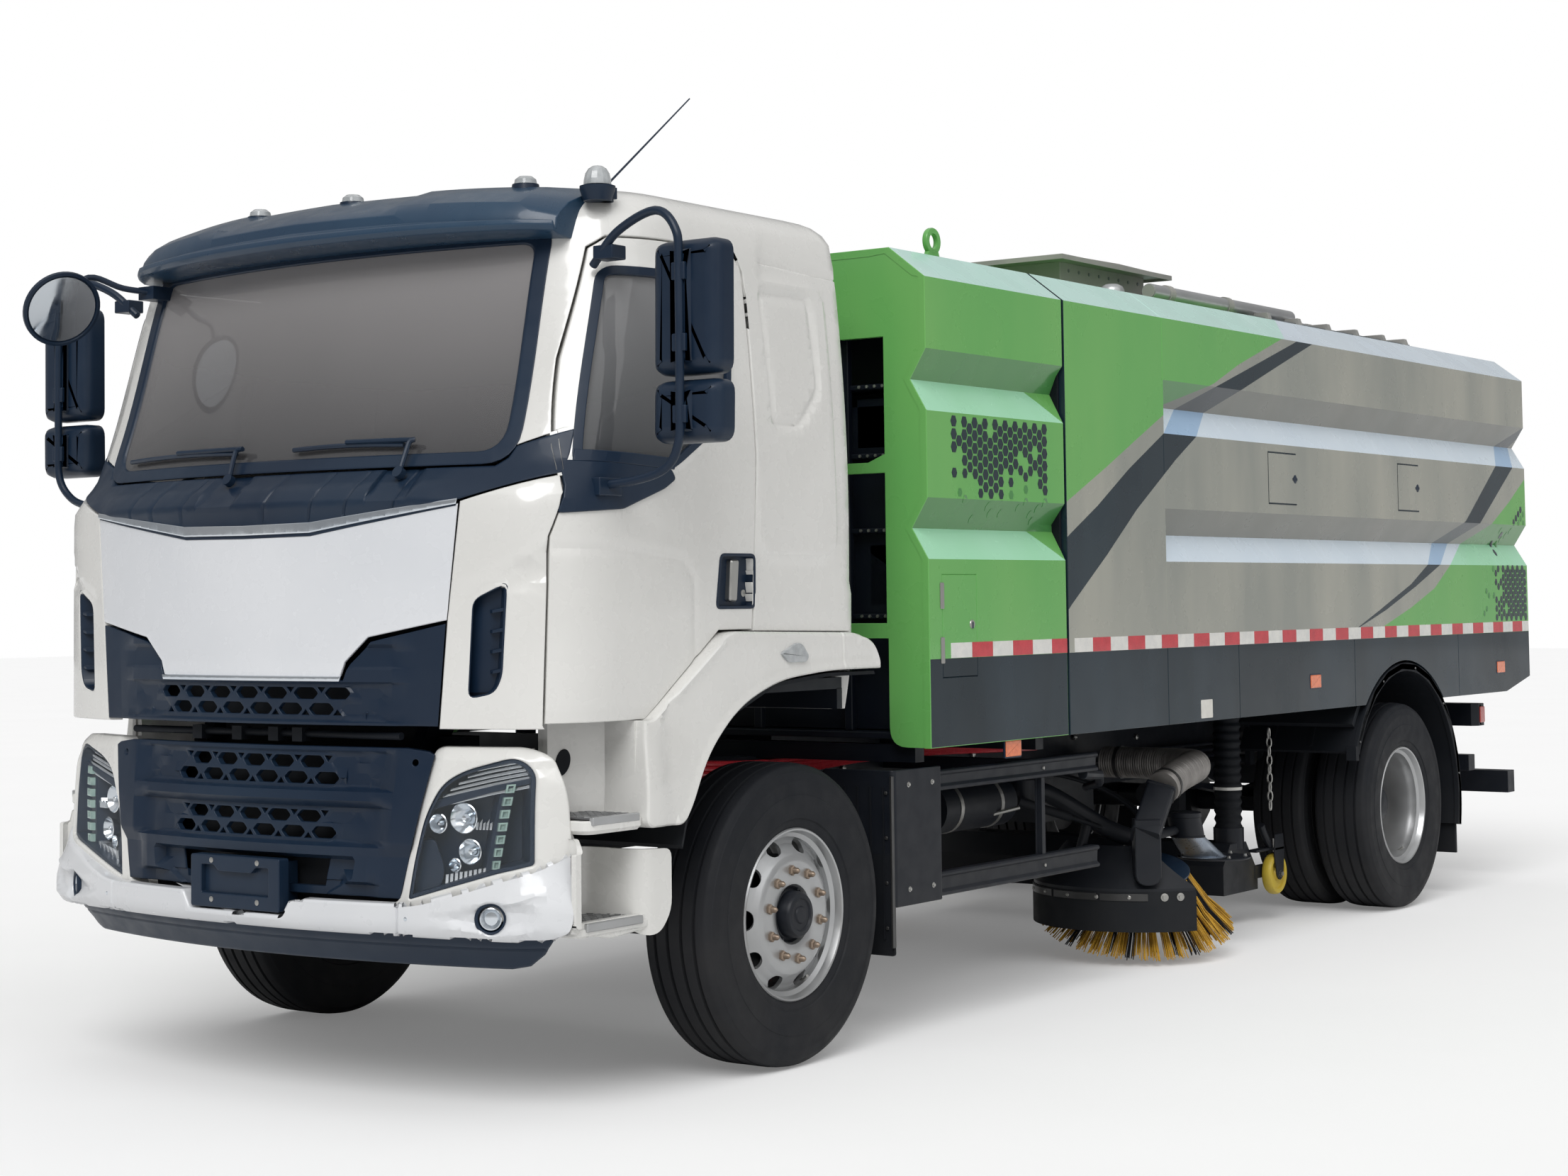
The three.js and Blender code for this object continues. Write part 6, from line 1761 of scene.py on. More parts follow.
@dataclass
class Fender:
    """One front fender with its lip, upper step well and side lamp.

    Attributes:
        side: Side of the truck that it covers.
        inner: x of its inner edge.
        outer: x of its outer face.
        seam: y of the seam in its wing.
    """

    side: Side
    inner: float = 0.985
    outer: float = 1.238
    seam: float = 0.245

    def build(self) -> None:
        """Builds the fender's pieces."""
        reaches = [0.04, 0.01, 0.02, 0.06, 0.05, 0.05, 0.02, 0.01, 0.1, 0.16, 0.16, 0.14, 0.12, 0.03]
        outline = rounded(FENDER_LOOP, reaches, 6)

        def place(u: float, v: float, w: float) -> Vector:
            """Point of the fender with its lip, seam and tucked front.

            Args:
                u: y of the place.
                v: Its height.
                w: Its x before the relief.

            Returns:
                The point, in the axle frame.
            """
            if w > 1.1:
                lip = ease(-depth_in((u, v), outline) + 0.034, 0.0, 0.034) * (1 if v < 1.44 and u > -0.70 else 0)
                w += 0.0 if u < -0.75 else -0.010 + 0.010 * lip
                w -= 0.006 * (1 - ease(abs(u - self.seam), 0.002, 0.006))
                w -= 0.022 * ease(-u, 0.45, 0.95) * ease(v, 0.95, 1.2)
            return Vector((w, u, v))

        lines = [[(self.seam + s, 1.30), (self.seam + s, 1.48)] for s in (-0.006, 0, 0.006)]
        inset = grown(outline, -0.034)
        lines.append(inset + inset[:1])
        shape = Shape().sheet([outline], place, self.outer, self.inner, (0.035, 0.035), 0.014, lines=lines)
        shape.block((0.930, -1.030, 0.90), (0.962, -0.84, 1.20))
        well = [(0.955, -1.035), (0.972, -1.035), (0.985, -0.985), (1.06, -0.86), (1.18, -0.858), (1.18, -0.84),
                (1.04, -0.84), (0.955, -0.96)]
        shape.stack(well, on_top, [(0.900, 0), (1.204, 0)])
        tray = rounded([(0.945, -1.128), (1.19, -1.128), (1.214, -1.10), (1.214, -0.86), (0.945, -0.86)], 0.02)
        shape.stack(tray, on_top, [(0.868, -0.012), (0.880, 0), (0.905, 0), (0.910, -0.004)])
        word = self.side.word
        Piece(f"fender_skin_{word}", "cab", "white_paint", (WHITE,), (f"fender_{word}",), bevel=0.004).make(
            shape.on(self.side))
        hole = Shape().lathe([(0, -0.002), (0.026, -0.002), (0.026, 0.004), (0, 0.004)],
                             Vector((0.990, -0.985, 1.075)), Vector((1.0, -0.75, 0)), 24)
        for p in hole.points:
            p.z = 1.075 + (p.z - 1.075) * 1.5 + (p.y + 0.985) * 0.6
        Piece(f"well_hole_{word}", "cab", "black_rubber", (RUBBER,)).make(hole.on(self.side))
        StepTread(Vector((0.985, -1.105, 0.917)), (0.218, 0.225)).build(f"upper_tread_{word}", "cab", self.side)
        lamp = rounded([(-0.133, 1.397), (-0.095, 1.366), (0.010, 1.366), (0.026, 1.384), (-0.010, 1.424),
                        (-0.041, 1.432)], [0.006, 0.02, 0.01, 0.01, 0.02, 0.02], 5)
        drop = Shape().stack(lamp, on_side,
                             [(self.outer - 0.014, 0.002), (self.outer - 0.002, 0), (self.outer, -0.004)])
        Piece(f"fender_lamp_{word}", "cab", "lamp_glass", (GREY_LENS,)).make(drop.on(self.side))
        liner = Shape()
        arch = [(0.47, 1.322), (0.166, 1.322), (-0.144, 1.297), (-0.372, 1.213), (-0.527, 1.079), (-0.617, 0.92),
                (-0.655, 0.80)]
        band = split(arch, 0.06, False)
        inner = [(y + 0.006, z - 0.012) for y, z in reversed(band)]
        liner.stack(band + inner, on_side, [(0.70, 0), (1.205, 0)])
        Piece(f"arch_liner_{word}", "cab", "black_rubber", (RUBBER,)).make(liner.on(self.side))


@dataclass
class StepTread:
    """A chequered metal tread with a bright nosing.

    Attributes:
        corner: Inner front corner of its top.
        size: Length out from the cab and along the truck.
    """

    corner: Vector
    size: Point2

    def build(self, name: str, body: str, side: Side) -> None:
        """Builds the tread drawn for the left, on a side.

        Args:
            name: The piece's name.
            body: The body that it rides on.
            side: The side of the truck.
        """
        c, (wide, long) = self.corner, self.size
        shape = Shape().block((c.x, c.y, c.z - 0.004), (c.x + wide, c.y + long, c.z))
        nose = rounded([(c.y - 0.002, c.z - 0.022), (c.y + long + 0.002, c.z - 0.022),
                        (c.y + long + 0.002, c.z + 0.004), (c.y - 0.002, c.z + 0.004)], 0.005)
        shape.stack(nose, on_side, [(c.x + wide - 0.002, 0), (c.x + wide + 0.010, 0), (c.x + wide + 0.013, -0.003)], 1)
        step = 0.030
        for i in range(int(wide / step)):
            for k in range(int(long / step)):
                lean = 0.6 if (i + k) % 2 else -0.6
                mid = Vector((c.x + (i + 0.5) * step, c.y + (k + 0.5) * step, c.z + 0.0015))
                turn = Matrix.Translation(mid) @ Matrix.Rotation(lean + math.pi / 4, 4, "Z")
                shape.block((-0.011, -0.004, -0.0015), (0.011, 0.004, 0.0025), 1, turn)
        Piece(name, body, "wheel_silver", (TREAD, STEEL)).make(shape.on(side))


# --------------------------------------------------------------- lower front


def along(route: Loop) -> Place:
    """A wall that follows a route in plan: u is the length run, v the height, w out to the route's right.

    Args:
        route: Points of the route, seen from above.

    Returns:
        The mapping of the wall.
    """
    points = [Vector(p) for p in route]
    runs = [0.0]
    for a, b in zip(points, points[1:]):
        runs.append(runs[-1] + (b - a).length)

    def place(u: float, v: float, w: float) -> Vector:
        """Point of the wall, w to the right of the route.

        Args:
            u: Length run along the route.
            v: Height.
            w: Distance outside the wall.

        Returns:
            The point, in the axle frame.
        """
        u = min(max(u, 0.0), runs[-1])
        i = max(k for k in range(len(runs) - 1) if runs[k] <= u)
        a, b = points[i], points[i + 1]
        way = (b - a).normalized()
        spot = a + way * (u - runs[i])
        before = (a - points[i - 1]).normalized() if i else way
        after = (points[i + 2] - b).normalized() if i + 2 < len(points) else way
        t = (u - runs[i]) / max((b - a).length, 1e-6)
        heading = ((before + way) * (1 - t) + (way + after) * t).normalized()
        return Vector((spot.x + heading.y * w, spot.y - heading.x * w, v))

    return place


LAMP_LOOP = rounded([(0.672, 0.664), (0.690, 0.780), (0.722, 0.920), (0.775, 1.020), (0.850, 1.062),
                     (1.012, 1.104), (1.064, 1.062), (1.070, 0.779)],
                    [0.01, 0.05, 0.05, 0.05, 0.06, 0.03, 0.04, 0.01], 5)
BEZEL_LOOP = [(0.612, 0.640), (0.642, 0.668), (0.742, 1.120), (0.772, 1.134), (1.046, 1.134), (1.112, 1.104),
              (1.156, 0.985), (1.172, 0.82), (1.172, 0.62), (0.90, 0.60)]


@dataclass
class LowerFront:
    """Bumper, headlights, lower grille, valance, plate holder and the lower step wells.

    Attributes:
        lip: How far the bumper's face stands out of the lower skin.
        seam: u of the seam on each side of the bumper.
        fog: (u, v) of the middle of a fog lamp.
        fog_radius: Radius of its opening.
    """

    lip: float = 0.050
    seam: float = 0.637
    fog: Point2 = (0.948, 0.618)
    fog_radius: float = 0.047

    def build(self) -> None:
        """Builds every piece under the cab's front edge."""
        self.bumper()
        self.grille()
        self.valance()
        self.plate()
        for side in Side:
            self.bezel(side)
            self.headlight(side)
            self.well(side)

    def offset(self, u: float, v: float) -> float:
        """How far the bumper stands in front of the panels."""
        rise = ease(v, 0.62, 0.80) * ease(abs(u), 0.68, 0.95)
        return self.lip * (1 - 0.70 * rise) - 0.018 * ease(0.585 - v, 0.0, 0.035)

    def bumper(self) -> None:
        """Painted bumper with its fog lamp scoops, creases and seams."""
        half = [(0, 0.600), (0.206, 0.600), (0.240, 0.656), (0.647, 0.656), (0.710, 0.664), (0.900, 0.716),
                (1.066, 0.768), (1.158, 0.815), (1.172, 0.808), (1.172, 0.610), (1.158, 0.570), (1.110, 0.548),
                (0.900, 0.550), (0.640, 0.554), (0, 0.556)]
        reach = [0.004, 0.012, 0.012, 0.02, 0.03, 0.1, 0.06, 0.012, 0.01, 0.05, 0.02, 0.03, 0.05, 0.05, 0.004]
        half = [(0.0, 0.600)] + rounded(half, reach, 3)[4:-4] + [(0.0, 0.556)]
        scoop = rounded([(0.700, 0.622), (0.860, 0.652), (0.935, 0.676), (0.985, 0.668), (1.050, 0.672),
                         (1.078, 0.640), (1.050, 0.582), (0.980, 0.566), (0.850, 0.580)], 0.05, 4)
        lamp = arc(self.fog, self.fog_radius, 0, 360, 28)[:-1]
        crease = [(0.975, 0.664), (1.02, 0.676), (1.09, 0.702)]
        loop = mirrored(half)

        def place(u: float, v: float, w: float) -> Vector:
            """Point of the bumper with its scoop, seams and crease, w outside it.

            Args:
                u: First place on the surface.
                v: Second place on the surface.
                w: Distance outside it.

            Returns:
                The point, in the axle frame.
            """
            s, lift = abs(u), self.offset(u, v)
            if w > -0.02:
                into = depth_in((s, v), scoop)
                lift -= 0.020 * ease(into, -0.002, 0.030) * (0.35 + 0.65 * ease(s, 0.74, 0.93))
                lift -= 0.006 * (1 - ease(abs(s - self.seam), 0.001, 0.006))
                near = abs(v - 0.664 - (s - 0.975) * 0.33)
                lift += 0.008 * (1 - ease(near, 0.0, 0.016)) * ease(s, 0.96, 1.0) * (1 - ease(s, 1.06, 1.10))
            return LOWER_SKIN.point(u, v, w + lift)

        lines = [scoop + scoop[:1], grown(scoop, -0.014) + grown(scoop, -0.014)[:1],
                 grown(scoop, -0.03) + grown(scoop, -0.03)[:1], crease]
        lines += [[(self.seam + s, 0.50), (self.seam + s, 0.70)] for s in (-0.006, 0.0, 0.006)]
        lines += [[(u, v + s) for u, v in crease] for s in (-0.014, 0.014)]
        lines += [[(-u, v) for u, v in line] for line in lines]
        lamps = [lamp, [(-u, v) for u, v in reversed(lamp)]]
        shape = Shape().sheet([loop, *lamps], place, 0.0, -0.045, (0.035, 0.03), 0.010, lines=lines)
        for s in (1, -1):
            shape.block((s * 0.35 if s > 0 else -0.42, -1.42, 0.565), (0.42 if s > 0 else -0.35, -1.20, 0.625))
        Piece("bumper_skin", "chassis", "silver_paint", (SILVER,), ("bumper",)).make(shape)
        dark, bright = Shape(), Shape()
        for s in (1, -1):
            u, v = s * self.fog[0], self.fog[1]
            spot = LOWER_SKIN.point(u, v, 0.024)
            way = (LOWER_SKIN.point(u, v, 0.2) - LOWER_SKIN.point(u, v, 0.0)).normalized()
            way = (way + Vector((0, -0.7, 0))).normalized()
            dark.lathe([(self.fog_radius, -0.06), (0.050, 0.004), (0.046, 0.007), (0.040, 0.002), (0.034, -0.03),
                        (0, -0.04), (0, -0.06)], spot, way, 40)
            bright.lathe([(0, -0.034), (0.022, -0.030), (0.030, -0.012), (0.034, 0.000), (0.031, 0.001),
                          (0.020, -0.010), (0, -0.006)], spot, way, 32)
            hook = LOWER_SKIN.point(s * 0.667, 0.611, self.lip - 0.002)
            dark.lathe([(0, -0.006), (0.0125, -0.006), (0.0125, 0.001), (0, 0.001)], hook, Vector((s * 0.15, -1, 0)),
                       20)
            bright.lathe([(0, 0), (0.007, 0.0), (0.006, 0.003), (0, 0.004)], hook, Vector((s * 0.15, -1, 0)), 16)
        Piece("fog_cups", "chassis", "dark_plastic", (PLASTIC,)).make(dark)
        Piece("fog_lamps", "chassis", "lamp_glass", (CHROME,)).make(bright)

    def grille(self) -> None:
        """Lower grille with two bands of mesh and the ledges round them."""
        bands = (MeshBand(1.002, 1.104, 0.56, 0.36), MeshBand(0.832, 0.932, 0.52, 0.38))
        through: list[Loop] = []
        pressed: list[Loop] = []
        for band in bands:
            some, more = band.split_holes()
            through += some
            pressed += more
        half = [(0, 1.128), (0.640, 1.128), (0.722, 1.118), (0.742, 1.108), (0.640, 0.664), (0, 0.664)]
        loop = mirrored(half)
        heights = [0.66, 0.70, 0.712, 0.775, 0.790, 0.818, 0.828, 0.938, 0.946, 0.962, 0.990, 0.998, 1.108, 1.116,
                   1.14]
        steps = [-0.05, -0.05, -0.022, -0.022, 0.012, 0.014, -0.010, -0.010, 0.004, 0.016, 0.014, -0.008, -0.008, 0.0,
                 0.0]
        block = [(0.34, 0.66), (0.46, 0.72), (0.47, 0.775), (0.66, 0.79), (0.66, 0.66)]

        def place(u: float, v: float, w: float) -> Vector:
            """Point of the lower grille with its ribs, w outside it.

            Args:
                u: First place on the surface.
                v: Second place on the surface.
                w: Distance outside it.

            Returns:
                The point, in the axle frame.
            """
            if w > -0.012:
                s = abs(u)
                wing = ease(s, 0.555 - (1.05 - v) * 0.12, 0.615 - (1.05 - v) * 0.12)
                level = glide(heights, steps, v)
                w += level * (1 - wing) + 0.016 * wing * ease(v, 0.79, 0.84)
                if v < 0.80:
                    w += (0.034 if depth_in((s, v), block) > -0.004 else 0.0) * (1 - wing)
                if any(depth_in((u, v), hole) > -0.001 for hole in pressed
                       if abs(hole[0][0] - u) < 0.12 and abs(hole[0][1] - v) < 0.08):
                    w -= 0.006
            return LOWER_SKIN.point(u, v, w)

        lines = [[(-0.75, z), (0.75, z)] for z in heights[1:-1]]
        lines += [[(s * (0.40 + k), 0.65), (s * (0.465 + k), 1.12)] for k in (0.1, 0.13, 0.16) for s in (1, -1)]
        lines += [[(s * u, v) for u, v in block[:3]] for s in (1, -1)]
        lines += [hole + hole[:1] for hole in pressed]
        lines += [grown(hole, -0.004) + grown(hole, -0.004)[:1] for hole in pressed]
        dots = [arc((s * 0.675, 1.084), 0.011, 0, 360, 12)[:-1] for s in (1, -1)]
        gap = mirrored([(0, 0.688), (0.335, 0.688), (0.355, 0.775), (0, 0.775)])
        shape = Shape().sheet([loop, *through, *dots, gap], place, -0.006, -0.034, (0.05, 0.05), 0.003, lines=lines)
        Piece("lower_grille_skin", "chassis", "dark_plastic", (PLASTIC,), ("lower_grille",)).make(shape)
        back = Shape().sheet([mirrored([(0, 1.12), (0.70, 1.12), (0.62, 0.60), (0, 0.60)])], LOWER_SKIN.point,
                             -0.085, -0.090, (0.1, 0.1), 0.001)
        back.tube([Vector((-0.62, -1.32, 1.165)), Vector((0.62, -1.32, 1.165))], 0.012, 10)
        for x in (-0.31, -0.12, 0.05, 0.16):
            back.block((x, -1.345, 1.140), (x + 0.045, -1.305, 1.185))
        back.block((-0.62, -1.06, 0.70), (0.62, -0.96, 1.150)).block((-0.45, -1.07, 1.10), (0.45, -0.95, 1.215))
        for k in range(24):
            back.block((-0.60 + 0.052 * k, -1.066, 0.72), (-0.594 + 0.052 * k, -1.058, 1.09))
        Piece("grille_backing", "chassis", "dark_plastic", (RUBBER,)).make(back)

    def valance(self) -> None:
        """Dark valance under the bumper."""
        half = [(0, 0.452), (1.02, 0.452), (1.07, 0.462), (1.11, 0.50), (1.145, 0.572), (0, 0.572)]

        def place(u: float, v: float, w: float) -> Vector:
            """Point of the valance, w outside it.

            Args:
                u: First place on the surface.
                v: Second place on the surface.
                w: Distance outside it.

            Returns:
                The point, in the axle frame.
            """
            curve = -0.045 * ease(0.60 - v, 0.03, 0.15) - 0.022
            curve += 0.004 * ease(abs(v - 0.520), 0.0, 0.006) if w > -0.05 else 0.0
            return LOWER_SKIN.point(u, v, w + curve)

        lines = [[(-1.2, z), (1.2, z)] for z in (0.514, 0.520, 0.526)]
        shape = Shape().sheet([mirrored(half)], place, 0.0, -0.075, (0.05, 0.03), 0.010, lines=lines)
        Piece("valance_skin", "chassis", "dark_plastic", (PLASTIC,)).make(shape)

    def plate(self) -> None:
        """Empty number plate holder in the bumper's notch."""
        outer = rounded([(-0.205, 0.606), (0.205, 0.606), (0.205, 0.774), (-0.205, 0.774)], 0.008, 3)
        hole = rounded([(-0.155, 0.652), (0.155, 0.652), (0.155, 0.742), (0.098, 0.742), (0.075, 0.722),
                        (-0.075, 0.722), (-0.098, 0.742), (-0.155, 0.742)], 0.006, 3)
        shape = Shape().sheet([outer, hole], on_front, 1.446, 1.424, (0.08, 0.08), 0.004)
        shape.sheet([outer], on_front, 1.426, 1.404, (0.2, 0.2), 0.003)
        for x in (-0.17, 0.14):
            shape.block((x, -1.41, 0.60), (x + 0.03, -1.33, 0.76))
        Piece("plate_holder", "chassis", "dark_plastic", (PLASTIC,)).make(shape)
        screws = Shape()
        for x in (-0.106, 0.106):
            for z in (0.632, 0.757):
                screws.lathe([(0, 0), (0.009, 0), (0.009, 0.003), (0.004, 0.004), (0, 0.003)],
                             Vector((x, -1.4445, z)), AHEAD, 16)
        Piece("plate_screws", "chassis", "wheel_silver", (BOLT,)).make(screws)

    def bezel(self, side: Side) -> None:
        """White frame round a headlight, with its bevelled top.

        Args:
            side: Side of the truck.
        """
        loop = rounded(BEZEL_LOOP, [0.01, 0.02, 0.03, 0.03, 0.03, 0.03, 0.05, 0.02, 0.02, 0.02], 4)

        def place(u: float, v: float, w: float) -> Vector:
            """Point of the frame with its bevels, w outside it.

            Args:
                u: First place on the surface.
                v: Second place on the surface.
                w: Distance outside it.

            Returns:
                The point, in the axle frame.
            """
            if w > -0.02:
                w -= 0.016 * ease(v, 1.090, 1.134) + 0.010 * (1 - ease(u - (v - 0.66) * 0.22, 0.640, 0.676))
                w -= 0.012 * ease(u - 1.0 + (v - 1.06) * 0.6, 0.02, 0.10) * ease(v, 1.02, 1.08)
            return LOWER_SKIN.point(u, v, w)

        lines = [[(0.60, 1.09), (1.2, 1.09)], [(0.60, 1.112), (1.2, 1.112)], [(0.672, 0.64), (0.772, 1.10)],
                 [(0.656, 0.64), (0.756, 1.10)], [(1.02, 1.10), (1.17, 0.98)]]
        shape = Shape().sheet([split(loop, 0.05), split(LAMP_LOOP, 0.05)], place, 0.006, -0.055, (0.03, 0.03), 0.008,
                              lines=lines)
        Piece(f"lamp_bezel_{side.word}", "chassis", "white_paint", (WHITE,)).make(shape.on(side))

    def headlight(self, side: Side) -> None:
        """Housing, reflectors, lamp squares and lens.

        Args:
            side: Side of the truck.
        """
        word = side.word
        skin = LOWER_SKIN.point
        rim = split(LAMP_LOOP, 0.04)
        case = Shape().sheet([rim, grown(rim, -0.012)], skin, -0.004, -0.100, (0.05, 0.05), 0.002)
        case.sheet([rim], skin, -0.088, -0.098, (0.05, 0.05), 0.001)
        brow = [(0.690, 0.80), (0.700, 0.880), (0.742, 0.965), (0.842, 0.990), (1.058, 1.040), (1.060, 1.024),
                (0.850, 0.968), (0.755, 0.940)]
        case.sheet([brow], skin, -0.020, -0.090, (0.05, 0.05), 0.003)
        case.sheet([[(0.940, 0.745), (0.985, 1.010), (1.020, 1.020), (0.985, 0.745)]], skin, -0.030, -0.090,
                   (0.05, 0.05), 0.003)
        case.sheet([rounded([(0.685, 0.675), (0.79, 0.705), (0.80, 0.76), (0.76, 0.85), (0.70, 0.84)], 0.02)], skin,
                   -0.034, -0.090, (0.05, 0.05), 0.006)
        Piece(f"lamp_case_{word}", "chassis", "dark_plastic", (PLASTIC,), (f"headlight_{word}",)).make(case.on(side))
        bowls = Shape()
        ahead = Vector((0.25, -1, 0.0))
        for u, v, r in ((0.775, 0.896, 0.032), (0.868, 0.914, 0.048), (0.895, 0.812, 0.040), (0.842, 0.770, 0.022)):
            bowls.lathe([(0, -0.030), (r * 0.45, -0.026), (r * 0.8, -0.012), (r, 0.010), (r - 0.003, 0.012),
                         (r * 0.72, -0.004), (r * 0.4, -0.016), (0, -0.020)], skin(u, v, -0.050), ahead, 28)
            bowls.lathe([(0, -0.02), (r * 0.26, -0.02), (r * 0.26, 0.0), (r * 0.16, 0.008), (0, 0.010)],
                        skin(u, v, -0.050), ahead, 20)
        for k in range(9):
            u = 0.800 + 0.0165 * k
            low, high = 0.692 + 0.0042 * k, 0.742 + 0.0028 * k
            bowls.sheet([[(u, low), (u + 0.012, low + 0.003), (u + 0.014, high + 0.002), (u + 0.002, high)]], skin,
                        -0.032 - 0.002 * (k % 2), -0.060, (0.05, 0.05), 0.002)
        for k in range(7):
            u = 0.905 + 0.012 * k
            bowls.sheet([[(u, 0.880), (u + 0.008, 0.880), (u + 0.010, 0.905 + 0.008 * (k % 2)), (u + 0.001, 0.900)]],
                        skin, -0.036, -0.060, (0.05, 0.05), 0.001)
        Piece(f"lamp_bowls_{word}", "chassis", "lamp_glass", (CHROME,)).make(bowls.on(side))
        ribs = Shape()
        for k in range(9):
            v = 0.978 + 0.0135 * k
            left = max(0.755, 0.735 + 0.0205 * k + 0.0011 * k * k)
            right = 1.054 if k < 6 else 1.045 - 0.012 * (k - 6)
            lean = 0.24
            low = [(left, v + (left - 0.9) * lean), (right, v + (right - 0.9) * lean - 0.006),
                   (right, v + (right - 0.9) * lean + 0.004), (left, v + (left - 0.9) * lean + 0.009)]
            if max(z for _, z in low) < 1.098:
                ribs.sheet([split(low, 0.06)], skin, -0.024 - 0.003 * (k % 2), -0.045, (0.2, 0.2), 0.002)
        Piece(f"indicator_ribs_{word}", "chassis", "lamp_glass", (CHROME,)).make(ribs.on(side))
        squares = Shape()
        for k in range(7):
            t = k / 6
            u, v = 0.972 + 0.030 * t, 0.775 + 0.232 * t
            loop = [(u - 0.011, v - 0.013), (u + 0.012, v - 0.011), (u + 0.015, v + 0.015), (u - 0.008, v + 0.013)]
            squares.sheet([loop, grown(loop, -0.005)], skin, -0.016, -0.032, (0.05, 0.05), 0.001)
            squares.sheet([grown(loop, -0.004)], skin, -0.024, -0.032, (0.05, 0.05), 0.002)
        Piece(f"lamp_squares_{word}", "chassis", "lamp_glass", (DRL,)).make(squares.on(side))
        lens = Shape().sheet([grown(rim, -0.003)], skin, 0.002, -0.003, (0.04, 0.04), 0.0015)
        Piece(f"lamp_lens_{word}", "chassis", "lamp_glass", (LENS,)).make(lens.on(side))

    def well(self, side: Side) -> None:
        """Lower step well: a wall that wraps a tread and ends in a curved rear flange.

        Args:
            side: Side of the truck.
        """
        plan = rounded([(1.186, -1.172), (1.186, -1.138), (0.972, -1.134), (0.952, -1.080), (0.952, -0.930),
                        (0.985, -0.860), (1.130, -0.835), (1.172, -0.810), (1.186, -0.700)],
                       [0.0, 0.012, 0.025, 0.03, 0.05, 0.06, 0.05, 0.03, 0.0], 5)
        wall = along(plan)
        whole = sum((Vector(b) - Vector(a)).length for a, b in zip(plan, plan[1:]))
        loop = [(0.0, 0.590), (0.0, 0.812), (0.030, 0.812), (0.045, 0.856), (0.24, 0.856), (0.30, 0.856),
                (0.46, 0.850), (0.480, 0.806), (whole, 0.796), (whole, 0.600), (whole - 0.05, 0.534),
                (whole - 0.11, 0.528), (whole - 0.16, 0.560), (0.30, 0.574)]
        reach = [0.004, 0.008, 0.01, 0.01, 0.03, 0.03, 0.01, 0.01, 0.03, 0.04, 0.03, 0.03, 0.05, 0.03]
        shape = Shape().sheet([split(rounded(loop, reach, 4), 0.02)], wall, 0.0, 0.014, (0.02, 0.05), 0.004)
        floor = [(0.955, -1.136), (1.170, -1.145), (1.186, -1.130), (1.186, -0.80), (1.12, -0.826), (0.985, -0.850)]
        shape.stack(rounded(floor, 0.012, 3), on_top, [(0.556, -0.006), (0.562, 0), (0.578, 0), (0.582, -0.004)])
        cheek = [(-1.170, 0.574), (-1.168, 0.60), (-0.80, 0.60), (-0.80, 0.552), (-0.98, 0.540)]
        shape.stack(cheek, on_side, [(1.150, 0), (1.176, 0), (1.180, -0.004)])
        shape.block((0.72, -1.15, 0.566), (0.96, -1.09, 0.618)).block((0.912, -1.16, 0.80), (0.924, -1.04, 1.12))
        word = side.word
        Piece(f"lower_well_{word}", "chassis", "white_paint", (WHITE,)).make(shape.on(side))
        StepTread(Vector((0.968, -1.108, 0.594)), (0.212, 0.27)).build(f"lower_tread_{word}", "chassis", side)


# -------------------------------------------------------------------- wheels


WHEEL_FACETS = 96
WHEEL_NUTS = 10


